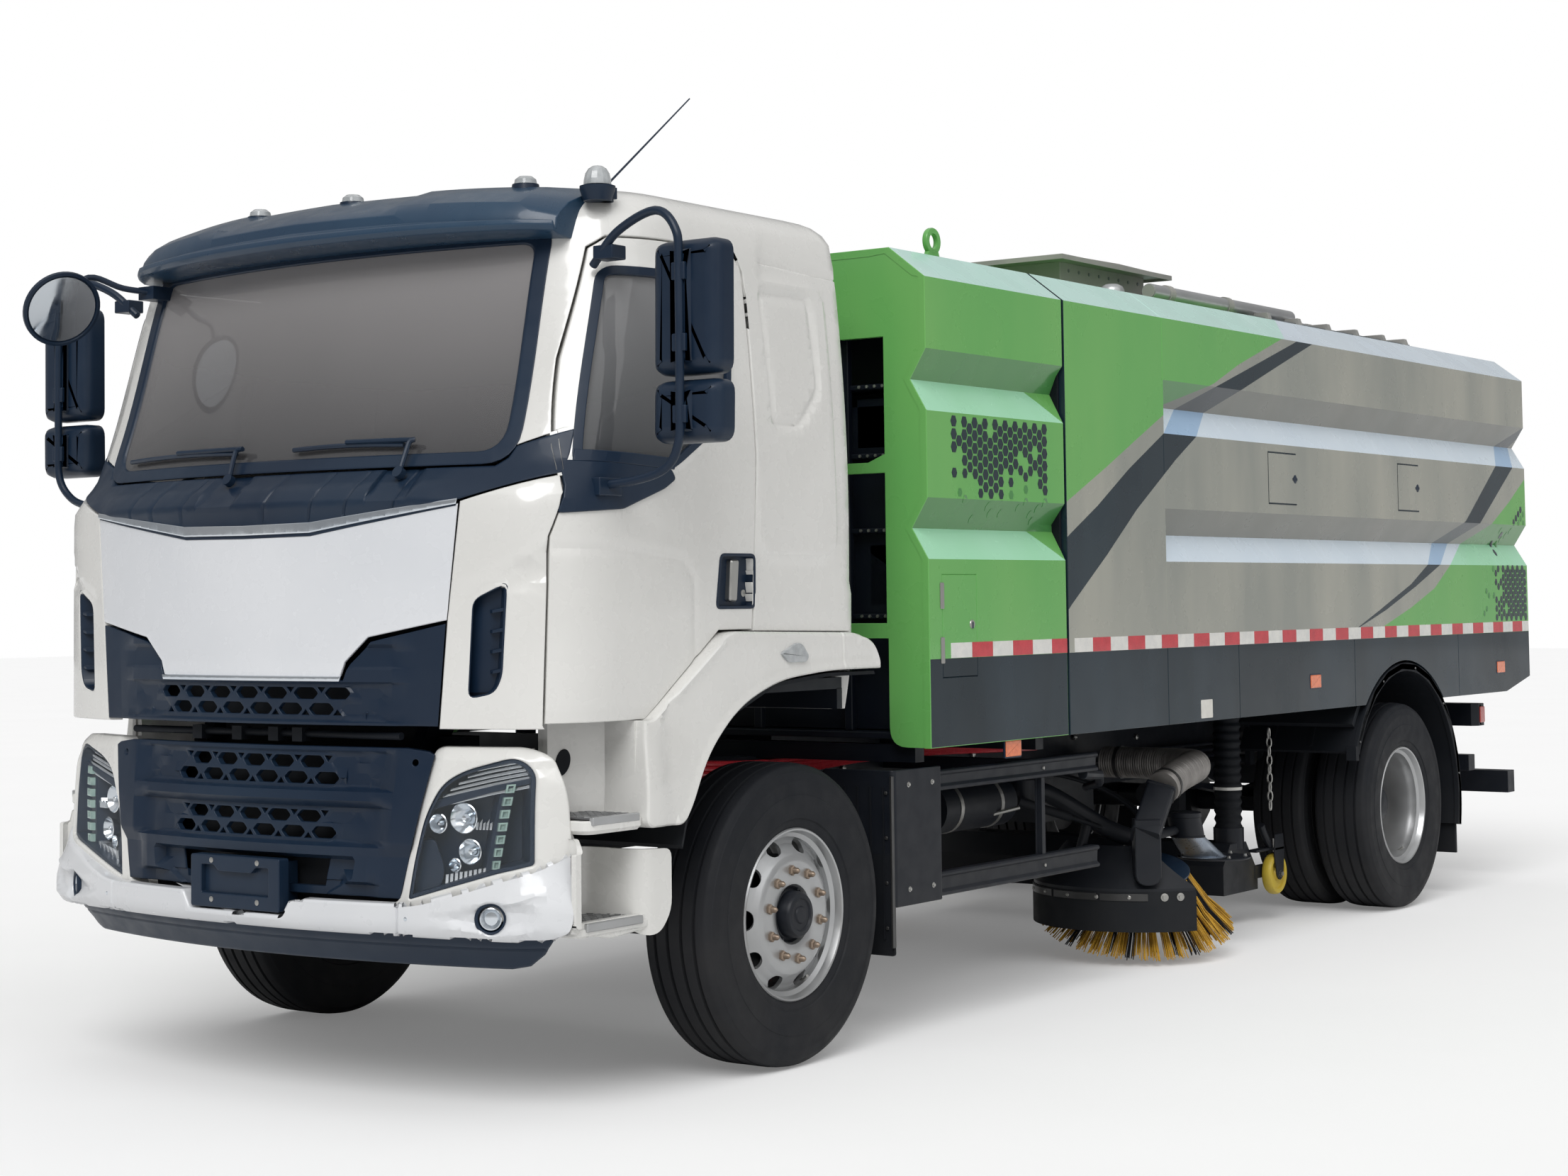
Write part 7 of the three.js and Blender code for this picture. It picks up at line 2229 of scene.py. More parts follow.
@dataclass(frozen=True)
class WheelForm:
    """Measures of one wheel, as seen from its outer face.

    Attributes:
        radius: Tyre radius.
        half: Half the tyre's width.
        bead: Radius of the rim's flange.
        rim: Half the rim's width.
    """

    radius: float = 0.512
    half: float = 0.143
    bead: float = 0.290
    rim: float = 0.121

    def tyre(self, shape: Shape, centre: Vector, axis: Vector) -> None:
        """Adds a tyre with ribs, shoulders and sidewall rings.

        Args:
            shape: Where it is added.
            centre: The wheel's centre.
            axis: Outward axis.
        """
        r, h = self.radius, self.half
        wall = [(self.bead - 0.006, h - 0.028), (self.bead + 0.016, h - 0.013), (self.bead + 0.030, h - 0.012),
                (self.bead + 0.034, h - 0.007), (self.bead + 0.075, h - 0.002), (r - 0.110, h),
                (r - 0.108, h - 0.002), (r - 0.066, h - 0.003), (r - 0.058, h - 0.0005), (r - 0.030, h - 0.007),
                (r - 0.026, h - 0.012), (r - 0.013, h - 0.018), (r - 0.006, h - 0.030)]
        tread = []
        for groove in (0.080, 0.028):
            tread += [(r - 0.002 + 0.002 * (1 - groove / 0.08), groove + 0.007), (r - 0.012, groove + 0.004),
                      (r - 0.012, groove - 0.004), (r - 0.001, groove - 0.007)]
        half = wall + tread
        profile = half + [(radius, -at) for radius, at in reversed(half)] + [(self.bead - 0.02, -0.06),
                                                                             (self.bead - 0.02, 0.06)]
        shape.lathe(profile, centre, axis, WHEEL_FACETS)

    def barrel(self, shape: Shape, centre: Vector, axis: Vector) -> None:
        """Adds the rim's barrel with its rolled lips.

        Args:
            shape: Where it is added.
            centre: The wheel's centre.
            axis: Outward axis.
        """
        b, h = self.bead, self.rim
        half = [(b + 0.002, h + 0.001), (b - 0.002, h + 0.006), (b - 0.008, h + 0.004), (b - 0.012, h - 0.006),
                (b - 0.016, h - 0.020), (b - 0.030, h - 0.030), (b - 0.032, h - 0.060), (b - 0.042, h - 0.078)]
        outer = [(b - 0.036, h - 0.082), (b - 0.024, h - 0.060), (b - 0.022, h - 0.032), (b - 0.008, h - 0.016)]
        profile = (half + [(r, -at) for r, at in reversed(half)] + [(r, -at) for r, at in reversed(outer)]
                   + outer)
        shape.lathe(profile, centre, axis, WHEEL_FACETS)

    @staticmethod
    def disc(shape: Shape, centre: Vector, axis: Vector, profile: Loop, holes: tuple[float, float, int]) -> None:
        """Adds a dished disc with a ring of hand holes.

        Args:
            shape: Where it is added.
            centre: The wheel's centre.
            axis: Outward axis.
            profile: (radius, along) from the barrel to the middle.
            holes: Radius of their circle, radius of each and their count.
        """
        turn = UP.rotation_difference(axis.normalized()).to_matrix()
        knots = [Vector((r, a)) for r, a in profile]
        runs = [0.0]
        for a, b in zip(knots, knots[1:]):
            runs.append(runs[-1] + (b - a).length)
        ring, size, count = holes

        def place(u: float, v: float, w: float) -> Vector:
            """Point of the disc, w outside it.

            Args:
                u: Arc run on the circle of the holes.
                v: Length run from the barrel inwards.
                w: Distance outside the disc.

            Returns:
                The point, in the axle frame.
            """
            v = min(max(v, 0.0), runs[-1])
            i = max(k for k in range(len(runs) - 1) if runs[k] <= v)
            a, b = knots[i], knots[i + 1]
            way = (b - a).normalized()
            spot = a + way * (v - runs[i]) + Vector((way.y, -way.x)) * w
            angle = u / ring
            return centre + turn @ Vector((spot.x * math.cos(angle), spot.x * math.sin(angle), spot.y))

        cut = min(range(len(runs)), key=lambda k: abs(knots[k].x - ring))
        level = runs[cut] + (knots[cut].x - ring) * 0.9
        half = math.pi * ring
        edge = [(-half + 2 * half * k / 90, 0.0) for k in range(91)]
        loop = edge + [(u, runs[-1]) for u, _ in reversed(edge)]
        rings = []
        for k in range(count):
            u = half * (2 * (k + 0.5) / count - 1)
            rings.append([(u + size * math.cos(a), level + size * 0.92 * math.sin(a))
                          for a in (math.tau * i / 20 for i in range(20))])
        lines = [[(-half, v), (half, v)] for v in runs[1:-1]]
        shape.sheet([loop, *rings], place, 0.0, 0.012, (0.05, 0.02), 0.003, lines=lines, seam=half)

    @staticmethod
    def nuts(shape: Shape, centre: Vector, axis: Vector, ring: float, at: float, mark: int) -> None:
        """Adds ten pointed wheel nuts with their washers.

        Args:
            shape: Where they are added.
            centre: The wheel's centre.
            axis: Outward axis.
            ring: Radius of their circle.
            at: How far out along the axis they sit.
            mark: Slot of their finish.
        """
        turn = UP.rotation_difference(axis.normalized()).to_matrix()
        for k in range(WHEEL_NUTS):
            angle = math.tau * k / WHEEL_NUTS + 0.1
            spot = centre + turn @ Vector((ring * math.cos(angle), ring * math.sin(angle), at))
            shape.lathe([(0, -0.002), (0.023, -0.002), (0.023, 0.004), (0, 0.004)], spot, axis, 18, mark)
            shape.lathe([(0, 0.003), (0.018, 0.003), (0.0175, 0.022), (0.013, 0.026), (0, 0.026)], spot, axis, 6, mark)
            shape.lathe([(0, 0.025), (0.0115, 0.025), (0.010, 0.040), (0.004, 0.047), (0, 0.048)], spot, axis, 12,
                        mark)


@dataclass
class Wheels:
    """The wheels of one side, front and rear.

    Attributes:
        side: Side of the truck that they turn on.
        form: Sizes that every wheel shares.
        height: Height of the axles above the ground.
    """

    side: Side
    form: WheelForm = WheelForm()
    height: float = 0.512

    def build(self) -> None:
        """Builds the front wheel and the rear pair."""
        self.front()
        self.rear()

    def front(self) -> None:
        """Front wheel: shallow disc, nuts and hub cap."""
        word, axis = self.side.word, LEFT
        centre = Vector((1.057, 0.0, self.height))
        tyre = Shape()
        self.form.tyre(tyre, centre, axis)
        Piece(f"front_tyre_form_{word}", f"front_wheel_{word}", "tyre_rubber", (TYRE,), (f"front_tyre_{word}",)).make(
            tyre.on(self.side))
        rim = Shape()
        self.form.barrel(rim, centre, axis)
        disc = [(0.262, 0.060), (0.248, 0.068), (0.232, 0.074), (0.206, 0.094), (0.194, 0.106), (0.186, 0.110),
                (0.112, 0.110), (0.108, 0.104), (0.104, 0.060), (0.060, 0.055)]
        self.form.disc(rim, centre, axis, disc, (0.224, 0.033, 10))
        self.form.nuts(rim, centre, axis, 0.150, 0.109, 1)
        Piece(f"front_rim_form_{word}", f"front_wheel_{word}", "wheel_silver", (STEEL, BRONZE),
              (f"front_rim_{word}",)).make(rim.on(self.side))
        hub = Shape().lathe([(0, 0.02), (0.104, 0.02), (0.102, 0.100), (0.094, 0.106), (0.088, 0.098), (0.080, 0.104),
                             (0.078, 0.140), (0.070, 0.150), (0.056, 0.152), (0.052, 0.147), (0.030, 0.147),
                             (0.026, 0.152), (0, 0.153)], centre, axis, 48)
        for k in range(6):
            angle = math.tau * k / 6
            hub.lathe([(0, 0), (0.006, 0), (0.005, 0.005), (0, 0.006)],
                      centre + Vector((0.102, 0.092 * math.cos(angle), 0.092 * math.sin(angle))), axis, 8)
        hub.lathe([(0, -0.12), (0.20, -0.12), (0.20, 0.03), (0.17, 0.05), (0, 0.05)], centre, axis, 40)
        Piece(f"front_hub_{word}", f"front_wheel_{word}", "chassis_black", (BLACK,)).make(hub.on(self.side))
        self.valve(centre, 0.085, f"front_wheel_{word}", f"front_valve_{word}")

    def rear(self) -> None:
        """Rear pair: two tyres and a deep dish with the axle's end in it."""
        word, axis = self.side.word, LEFT
        body = f"rear_wheel_{word}"
        outer, inner = Vector((1.095, REAR_AXLE, self.height)), Vector((0.765, REAR_AXLE, self.height))
        tyres = Shape()
        self.form.tyre(tyres, outer, axis)
        self.form.tyre(tyres, inner, axis)
        Piece(f"rear_tyre_form_{word}", body, "tyre_rubber", (TYRE,),
              (f"rear_wheels_{word}",)).make(tyres.on(self.side))
        rim = Shape()
        self.form.barrel(rim, outer, axis)
        self.form.barrel(rim, inner, axis)
        middle = Vector((0.930, REAR_AXLE, self.height))
        disc = [(0.262, 0.062), (0.250, 0.052), (0.236, 0.038), (0.216, 0.022), (0.200, 0.016), (0.112, 0.014),
                (0.108, 0.010), (0.100, 0.008)]
        self.form.disc(rim, middle, axis, disc, (0.222, 0.025, 10))
        self.form.nuts(rim, middle, axis, 0.150, 0.016, 1)
        Piece(f"rear_rim_form_{word}", body, "wheel_silver", (STEEL, BRONZE)).make(rim.on(self.side))
        hub = Shape().lathe([(0, -0.24), (0.105, -0.24), (0.107, 0.06), (0.102, 0.115), (0.092, 0.135), (0.088, 0.165),
                             (0.070, 0.180), (0.030, 0.188), (0, 0.189)], middle, axis, 48)
        for k in range(WHEEL_NUTS):
            angle = math.tau * k / WHEEL_NUTS
            hub.lathe([(0, 0), (0.0085, 0), (0.0085, 0.010), (0, 0.012)],
                      middle + Vector((0.130, 0.096 * math.cos(angle), 0.096 * math.sin(angle))), axis, 6)
        hub.lathe([(0, -0.20), (0.205, -0.20), (0.205, -0.03), (0.185, -0.012), (0, -0.012)], middle, axis, 48)
        Piece(f"rear_hub_{word}", body, "chassis_black", (BLACK,)).make(hub.on(self.side))
        self.valve(outer, 0.06, body, f"rear_valve_{word}")

    def valve(self, centre: Vector, at: float, body: str, name: str) -> None:
        """A valve stem inside the rim.

        Args:
            centre: The wheel's centre.
            at: How far out along the axis it sits.
            body: The body that it rides on.
            name: The piece's name.
        """
        spot = centre + Vector((at, 0.10, -0.235))
        stem = Shape().tube([spot - Vector((0.05, 0, 0.01)), spot, spot + Vector((0.02, -0.004, 0.016))], 0.006, 8)
        Piece(name, body, "rod_chrome", (BOLT,)).make(stem.on(self.side))


# ---------------------------------------------------------------------- body


@dataclass(frozen=True)
class Livery(Finish):
    """Body paint with soft upright streaks of painted reflection, as of a polished panel outdoors.

    Attributes:
        reflection_streak: Share of the second colour in the painted reflection streaks.
    """

    reflection_streak: float = 0.6

    def tint(self, recipe: Recipe) -> bpy.types.NodeSocket:
        """The colour over the object, with upright streaks of painted reflection in the shade colour."""
        # Upright streaks of painted reflection, mixed in the shade colour.
        wave = recipe.between(recipe.noise(2.2, 3.0, (1.0, 1.0, 0.28)), 0.38, 0.68, 0.0, self.reflection_streak)
        return recipe.mix(wave, self.colour, self.shade)


PANEL = dict(coat=0.45, shine=0.35, relief=0.004, grain=26, patch=0.5)
GREEN = Livery("body_green", (0.128, 0.400, 0.100), (0.185, 0.450, 0.122), 0.28, **PANEL)
# Lit and shaded copies of the body colours: the paler ones are painted highlight for the chamfer and for slopes that
# face up, the darker ones painted shade for slopes that face down.
GREEN_PAINTED_HIGHLIGHT = Livery("green_painted_highlight", (0.33, 0.68, 0.43), (0.42, 0.75, 0.55), 0.26, **PANEL)
CHAMFER_PAINTED_HIGHLIGHT = Livery("green_chamfer_painted_highlight", (0.50, 0.76, 0.68), (0.60, 0.80, 0.76), 0.26, **PANEL)
GREEN_PAINTED_SHADE = Livery("green_painted_shade", (0.060, 0.235, 0.062), (0.085, 0.27, 0.075), 0.3, **PANEL)
GREY = Livery("body_grey", (0.275, 0.285, 0.255), (0.47, 0.455, 0.385), 0.26, **PANEL)
GREY_PAINTED_HIGHLIGHT = Livery("grey_painted_highlight", (0.62, 0.71, 0.79), (0.70, 0.78, 0.84), 0.26, **PANEL)
GREY_PAINTED_SHADE = Livery("grey_painted_shade", (0.155, 0.162, 0.142), (0.19, 0.185, 0.16), 0.3, **PANEL)
NAVY = Livery("stripe_navy", (0.006, 0.018, 0.028), (0.014, 0.034, 0.046), 0.26, **PANEL)
NAVY_PAINTED_HIGHLIGHT = Livery("navy_painted_highlight", (0.32, 0.47, 0.66), (0.40, 0.54, 0.70), 0.26, **PANEL)
SLATE = Livery("skirt_slate", (0.004, 0.013, 0.020), (0.018, 0.034, 0.048), 0.24, coat=0.22, shine=0.2, relief=0.004,
               grain=26, patch=0.5, reflection_streak=0.8)
INNER = Finish("body_inside", (0.010, 0.013, 0.018), (0.018, 0.021, 0.026), 0.6, shine=0.25, relief=0.1, dust=0.08)
DUCT_GREY = Finish("duct_grey", (0.36, 0.355, 0.33), (0.24, 0.24, 0.23), 0.45, metal=0.15, relief=0.04, patch=3)
ROOF_GREY = Finish("roof_grey", (0.20, 0.215, 0.22), (0.13, 0.145, 0.155), 0.42, metal=0.3, relief=0.08, patch=3)
TAPE_RED = Finish("tape_red", (0.56, 0.030, 0.045), (0.44, 0.02, 0.03), 0.3, coat=0.4, patch=30, relief=0.15,
                  grain=260)
TAPE_WHITE = Finish("tape_white", (0.74, 0.73, 0.69), (0.62, 0.62, 0.60), 0.3, coat=0.4, patch=30, relief=0.15,
                    grain=260)
BODY_FINISHES = (GREEN, GREEN_PAINTED_HIGHLIGHT, GREEN_PAINTED_SHADE, GREY, GREY_PAINTED_HIGHLIGHT, GREY_PAINTED_SHADE, NAVY, NAVY_PAINTED_HIGHLIGHT, SLATE, CHAMFER_PAINTED_HIGHLIGHT)
GREEN_AT, GREEN_PAINTED_HIGHLIGHT_AT, GREEN_PAINTED_SHADE_AT, GREY_AT, GREY_PAINTED_HIGHLIGHT_AT, GREY_PAINTED_SHADE_AT, NAVY_AT, NAVY_PAINTED_HIGHLIGHT_AT, SLATE_AT, CHAMFER_PAINTED_HIGHLIGHT_AT = range(10)
# The painted highlight of a slope that faces up and the painted shade of one that faces down, by the colour of the
# flat side.
PAINTED_LIGHT_TONES = {GREEN_AT: (GREEN_PAINTED_HIGHLIGHT_AT, GREEN_PAINTED_SHADE_AT), GREY_AT: (GREY_PAINTED_HIGHLIGHT_AT, GREY_PAINTED_SHADE_AT),
         NAVY_AT: (NAVY_PAINTED_HIGHLIGHT_AT, NAVY_AT), SLATE_AT: (SLATE_AT, SLATE_AT)}

BAND_LEFT = [(1.70, 1.756), (1.836, 1.828), (2.061, 1.942), (2.337, 2.101), (2.656, 2.262), (2.891, 2.380),
             (3.152, 2.487), (3.566, 2.613), (3.997, 2.745), (4.30, 2.85)]
BAND_RIGHT = [(1.70, 1.446), (1.839, 1.548), (2.133, 1.743), (2.400, 1.934), (2.766, 2.156), (2.965, 2.263),
              (3.179, 2.380), (3.413, 2.489), (3.818, 2.626), (4.210, 2.757), (4.50, 2.85)]
GREEN_EDGE = [(1.70, 1.905), (1.842, 1.968), (2.147, 2.104), (2.412, 2.228), (2.651, 2.338), (2.761, 2.391),
              (3.153, 2.507), (3.403, 2.606), (3.842, 2.748), (4.10, 2.84)]
STRIPE_UPPER = [(7.30, 2.56), (7.062, 2.497), (6.772, 2.380), (6.598, 2.258), (6.142, 1.955), (5.821, 1.833),
                (5.595, 1.723), (5.355, 1.619), (4.942, 1.492), (4.646, 1.404), (4.50, 1.36)]
STRIPE_LOWER = [(7.30, 2.50), (7.062, 2.440), (6.990, 2.380), (6.860, 2.258), (6.348, 1.944), (6.042, 1.833),
                (5.767, 1.722), (5.417, 1.607), (5.022, 1.491), (4.660, 1.404), (4.505, 1.357)]
REAR_GREEN = [(7.30, 2.32), (7.055, 2.205), (6.803, 2.072), (6.526, 1.945), (6.223, 1.833), (5.899, 1.719),
              (5.672, 1.598), (5.347, 1.500), (4.987, 1.411), (4.80, 1.36)]
NAVY_AREAS = (BAND_LEFT + BAND_RIGHT[::-1], STRIPE_UPPER + STRIPE_LOWER[::-1])
GREEN_AREAS = (GREEN_EDGE + [(1.70, 2.90)], REAR_GREEN + [(7.30, 1.30)])
# The pale grey of the painted highlight on the chamfer and roof begins here on the shoulder, and further back by this
# slope towards the roof.
ROOF_EDGE_START = 3.90
ROOF_EDGE_SLOPE = 1.2


@dataclass(frozen=True)
class BodyForm:
    """Cross-section of the bodywork: s runs from the roof's middle over the chamfer and down the side.

    Attributes:
        half: Half the body's width.
        roof: Height of the roof.
        fold: Height at which the chamfer begins.
        inset: How far the roof's edge stands in from the side.
        skirt: Height of the lower edge.
        tape: Lower and upper edge of the reflective tape.
        hollow: Depth of the long grooves.
        grooves: Lower edge, bottom and upper edge of each groove.
    """

    half: float = 1.250
    roof: float = 2.876
    fold: float = 2.756
    inset: float = 0.155
    skirt: float = 1.031
    tape: Point2 = (1.354, 1.411)
    hollow: float = 0.069
    grooves: tuple[tuple[float, float, float], ...] = ((1.719, 1.833, 1.944), (2.263, 2.380, 2.491))

    @property
    def eaves(self) -> float:
        """s of the roof's edge."""
        return self.half - self.inset

    @property
    def shoulder(self) -> float:
        """s of the chamfer's lower edge."""
        return self.eaves + math.hypot(self.inset, self.roof - self.fold)

    def run(self, z: float) -> float:
        """s of a height on the side."""
        return self.shoulder + self.fold - z

    def height(self, s: float) -> float:
        """Height at s.

        Args:
            s: Length run from the middle of the roof.

        Returns:
            The height.
        """
        if s <= self.eaves:
            return self.roof
        if s <= self.shoulder:
            return self.roof - (self.roof - self.fold) * (s - self.eaves) / (self.shoulder - self.eaves)
        return self.fold - (s - self.shoulder)

    def dent(self, z: float, lift: float = 0.0) -> float:
        """Depth of the grooves at a height; lift raises their bottom line.

        Args:
            z: Height.
            lift: How far the bottom line is raised.

        Returns:
            The depth.
        """
        for low, deep, high in self.grooves:
            deep += lift
            if low < z < high:
                return self.hollow * ((z - low) / (deep - low) if z < deep else (high - z) / (high - deep))
        return 0.0

    def slope(self, z: float) -> int:
        """1 on a slope that faces up, -1 on one that faces down, 0 elsewhere.

        Args:
            z: Height.

        Returns:
            The sign of the slope.
        """
        for low, deep, high in self.grooves:
            if low < z < high:
                return 1 if z < deep else -1
        return 0

    def section(self) -> Loop:
        """Half outline in (x, z) from the skirt to the roof's edge.

        Returns:
            The open outline.
        """
        side = [(self.half, self.skirt)]
        for low, deep, high in self.grooves:
            side += [(self.half, low), (self.half - self.hollow, deep), (self.half, high)]
        return side + [(self.half, self.fold), (self.eaves, self.roof)]

    def point(self, u: float, v: float, w: float, dent: float) -> Vector:
        """Point at y = u and s = |v|, w outside the skin.

        Args:
            u: y of the place.
            v: Length run from the middle of the roof, above 0 on the left.
            w: Distance outside the skin.
            dent: Depth of the groove there.

        Returns:
            The point, in the axle frame.
        """
        s, sign = abs(v), 1 if v >= 0 else -1
        z = self.height(s)
        if s <= self.eaves:
            return Vector((sign * s, u, z + w))
        if s <= self.shoulder:
            share = (s - self.eaves) / (self.shoulder - self.eaves)
            return Vector((sign * (self.eaves + self.inset * share + w * 0.612), u, z + w * 0.79))
        return Vector((sign * (self.half - dent + w), u, z))

    def side(self, y: float, z: float, w: float) -> Vector:
        """Point of the grooved left side at y and z, w outside it."""
        return Vector((self.half - self.dent(z) + w, y, z))

    def levels(self) -> list[float]:
        """s of every fold, from the roof's edge down.

        Returns:
            Their lengths run.
        """
        found = [self.eaves, self.shoulder]
        for low, deep, high in reversed(self.grooves):
            found += [self.run(high), self.run(deep), self.run(low)]
        return found

    def frame(self, low: float, high: float) -> Loop:
        """Outline on the unrolled skin between two places along the truck."""
        end = self.run(self.skirt)
        return [(low, -end), (high, -end), (high, end), (low, end)]


FORM = BodyForm()


TAPE_PITCH = 0.150
TAPE_SEAM = 0.002
TAPE_LEAST = 0.02


def tape(start: float, end: float, first: int, name: str, body: str) -> None:
    """Lays a row of red and white reflective tape on both sides.

    Args:
        start: Where the row starts.
        end: Where it ends.
        first: 0 when the row starts with red.
        name: The piece's name.
        body: The body that it rides on.
    """
    low, high = FORM.tape
    shape, at, k = Shape(), start, first
    while at < end - TAPE_LEAST:
        stop = min(at + TAPE_PITCH - TAPE_SEAM, end)
        tile = [(at, low + 0.001), (stop, low + 0.001), (stop, high), (at, high)]
        shape.sheet([tile], on_side, FORM.half + 0.0016, FORM.half - 0.004, (0.2, 0.2), 0.0006, k % 2)
        at, k = at + TAPE_PITCH, k + 1
    Piece(name, body, "body_paint", (TAPE_RED, TAPE_WHITE)).make(shape.both())


def hexagons(spots: Iterable[Point2], place: Place, name: str, body: str,
             fade: Callable[[float, float], float]) -> None:
    """Sets small upright hexagons on both sides, fewer and paler where they fade.

    Args:
        spots: Their middles.
        place: Maps (y, z, w) to a point of the left side.
        name: The piece's name.
        body: The body that they ride on.
        fade: From 0 where all are there to 1 where none is left.
    """
    chance = random.Random(7)
    shape = Shape()
    for u, v in spots:
        lost = fade(u, v)
        if chance.random() < lost:
            continue
        size = 1.0 - 0.35 * lost
        loop = [(u + x * size, v + y * size) for x, y in ((0.0215, 0), (0.0112, 0.0205), (-0.0112, 0.0205),
                                                          (-0.0215, 0), (-0.0112, -0.0205), (0.0112, -0.0205))]
        shape.take([place(a, b, 0.0014) for a, b in loop] + [place(a, b, -0.002) for a, b in loop],
                   [(5, 4, 3, 2, 1, 0), (6, 7, 8, 9, 10, 11)]
                   + [(i, (i + 1) % 6, 6 + (i + 1) % 6, 6 + i) for i in range(6)], 1 if lost > 0.45 else 0)
    # Faded hexagons take the darker green that the body uses as painted shade on slopes that face down.
    Piece(name, body, "body_paint", (NAVY, GREEN_PAINTED_SHADE), sharp=20).make(shape.both())


COMB_STEP = 0.0375
COMB_DROP = 0.048


def comb(low: Point2, high: Point2) -> list[Point2]:
    """Middles of a honeycomb between two corners.

    Args:
        low: Lower front corner, in (y, z).
        high: Upper rear corner, in (y, z).

    Returns:
        The middles, in (y, z).
    """
    spots = []
    for i in range(int((high[0] - low[0]) / COMB_STEP) + 1):
        for k in range(int((high[1] - low[1]) / COMB_DROP) + 1):
            v = high[1] - COMB_DROP * k - COMB_DROP / 2 * (i % 2)
            if v >= low[1]:
                spots.append((low[0] + COMB_STEP * i, v))
    return spots


MARKER_HALF = (0.064, 0.036)


def marker(y: float, z: float, name: str, body: str, x: float = FORM.half) -> None:
    """Amber side lamp in a thin dark frame, on both sides.

    Args:
        y: y of its middle.
        z: Height of its middle.
        name: The piece's name.
        body: The body that it rides on.
        x: x of the wall that it stands on.
    """
    long, high = MARKER_HALF
    loop = rounded([(y - long, z - high), (y + long, z - high), (y + long, z + high), (y - long, z + high)], 0.010, 4)
    shape = Shape().stack(loop, on_side, [(x - 0.006, 0.0), (x + 0.0005, 0.0), (x + 0.0015, -0.002)])
    shape.stack(grown(loop, -0.006), on_side, [(x - 0.002, 0), (x + 0.003, 0), (x + 0.0042, -0.003)], 1)
    Piece(name, body, "lamp_glass", (PLASTIC, AMBER)).make(shape.both())


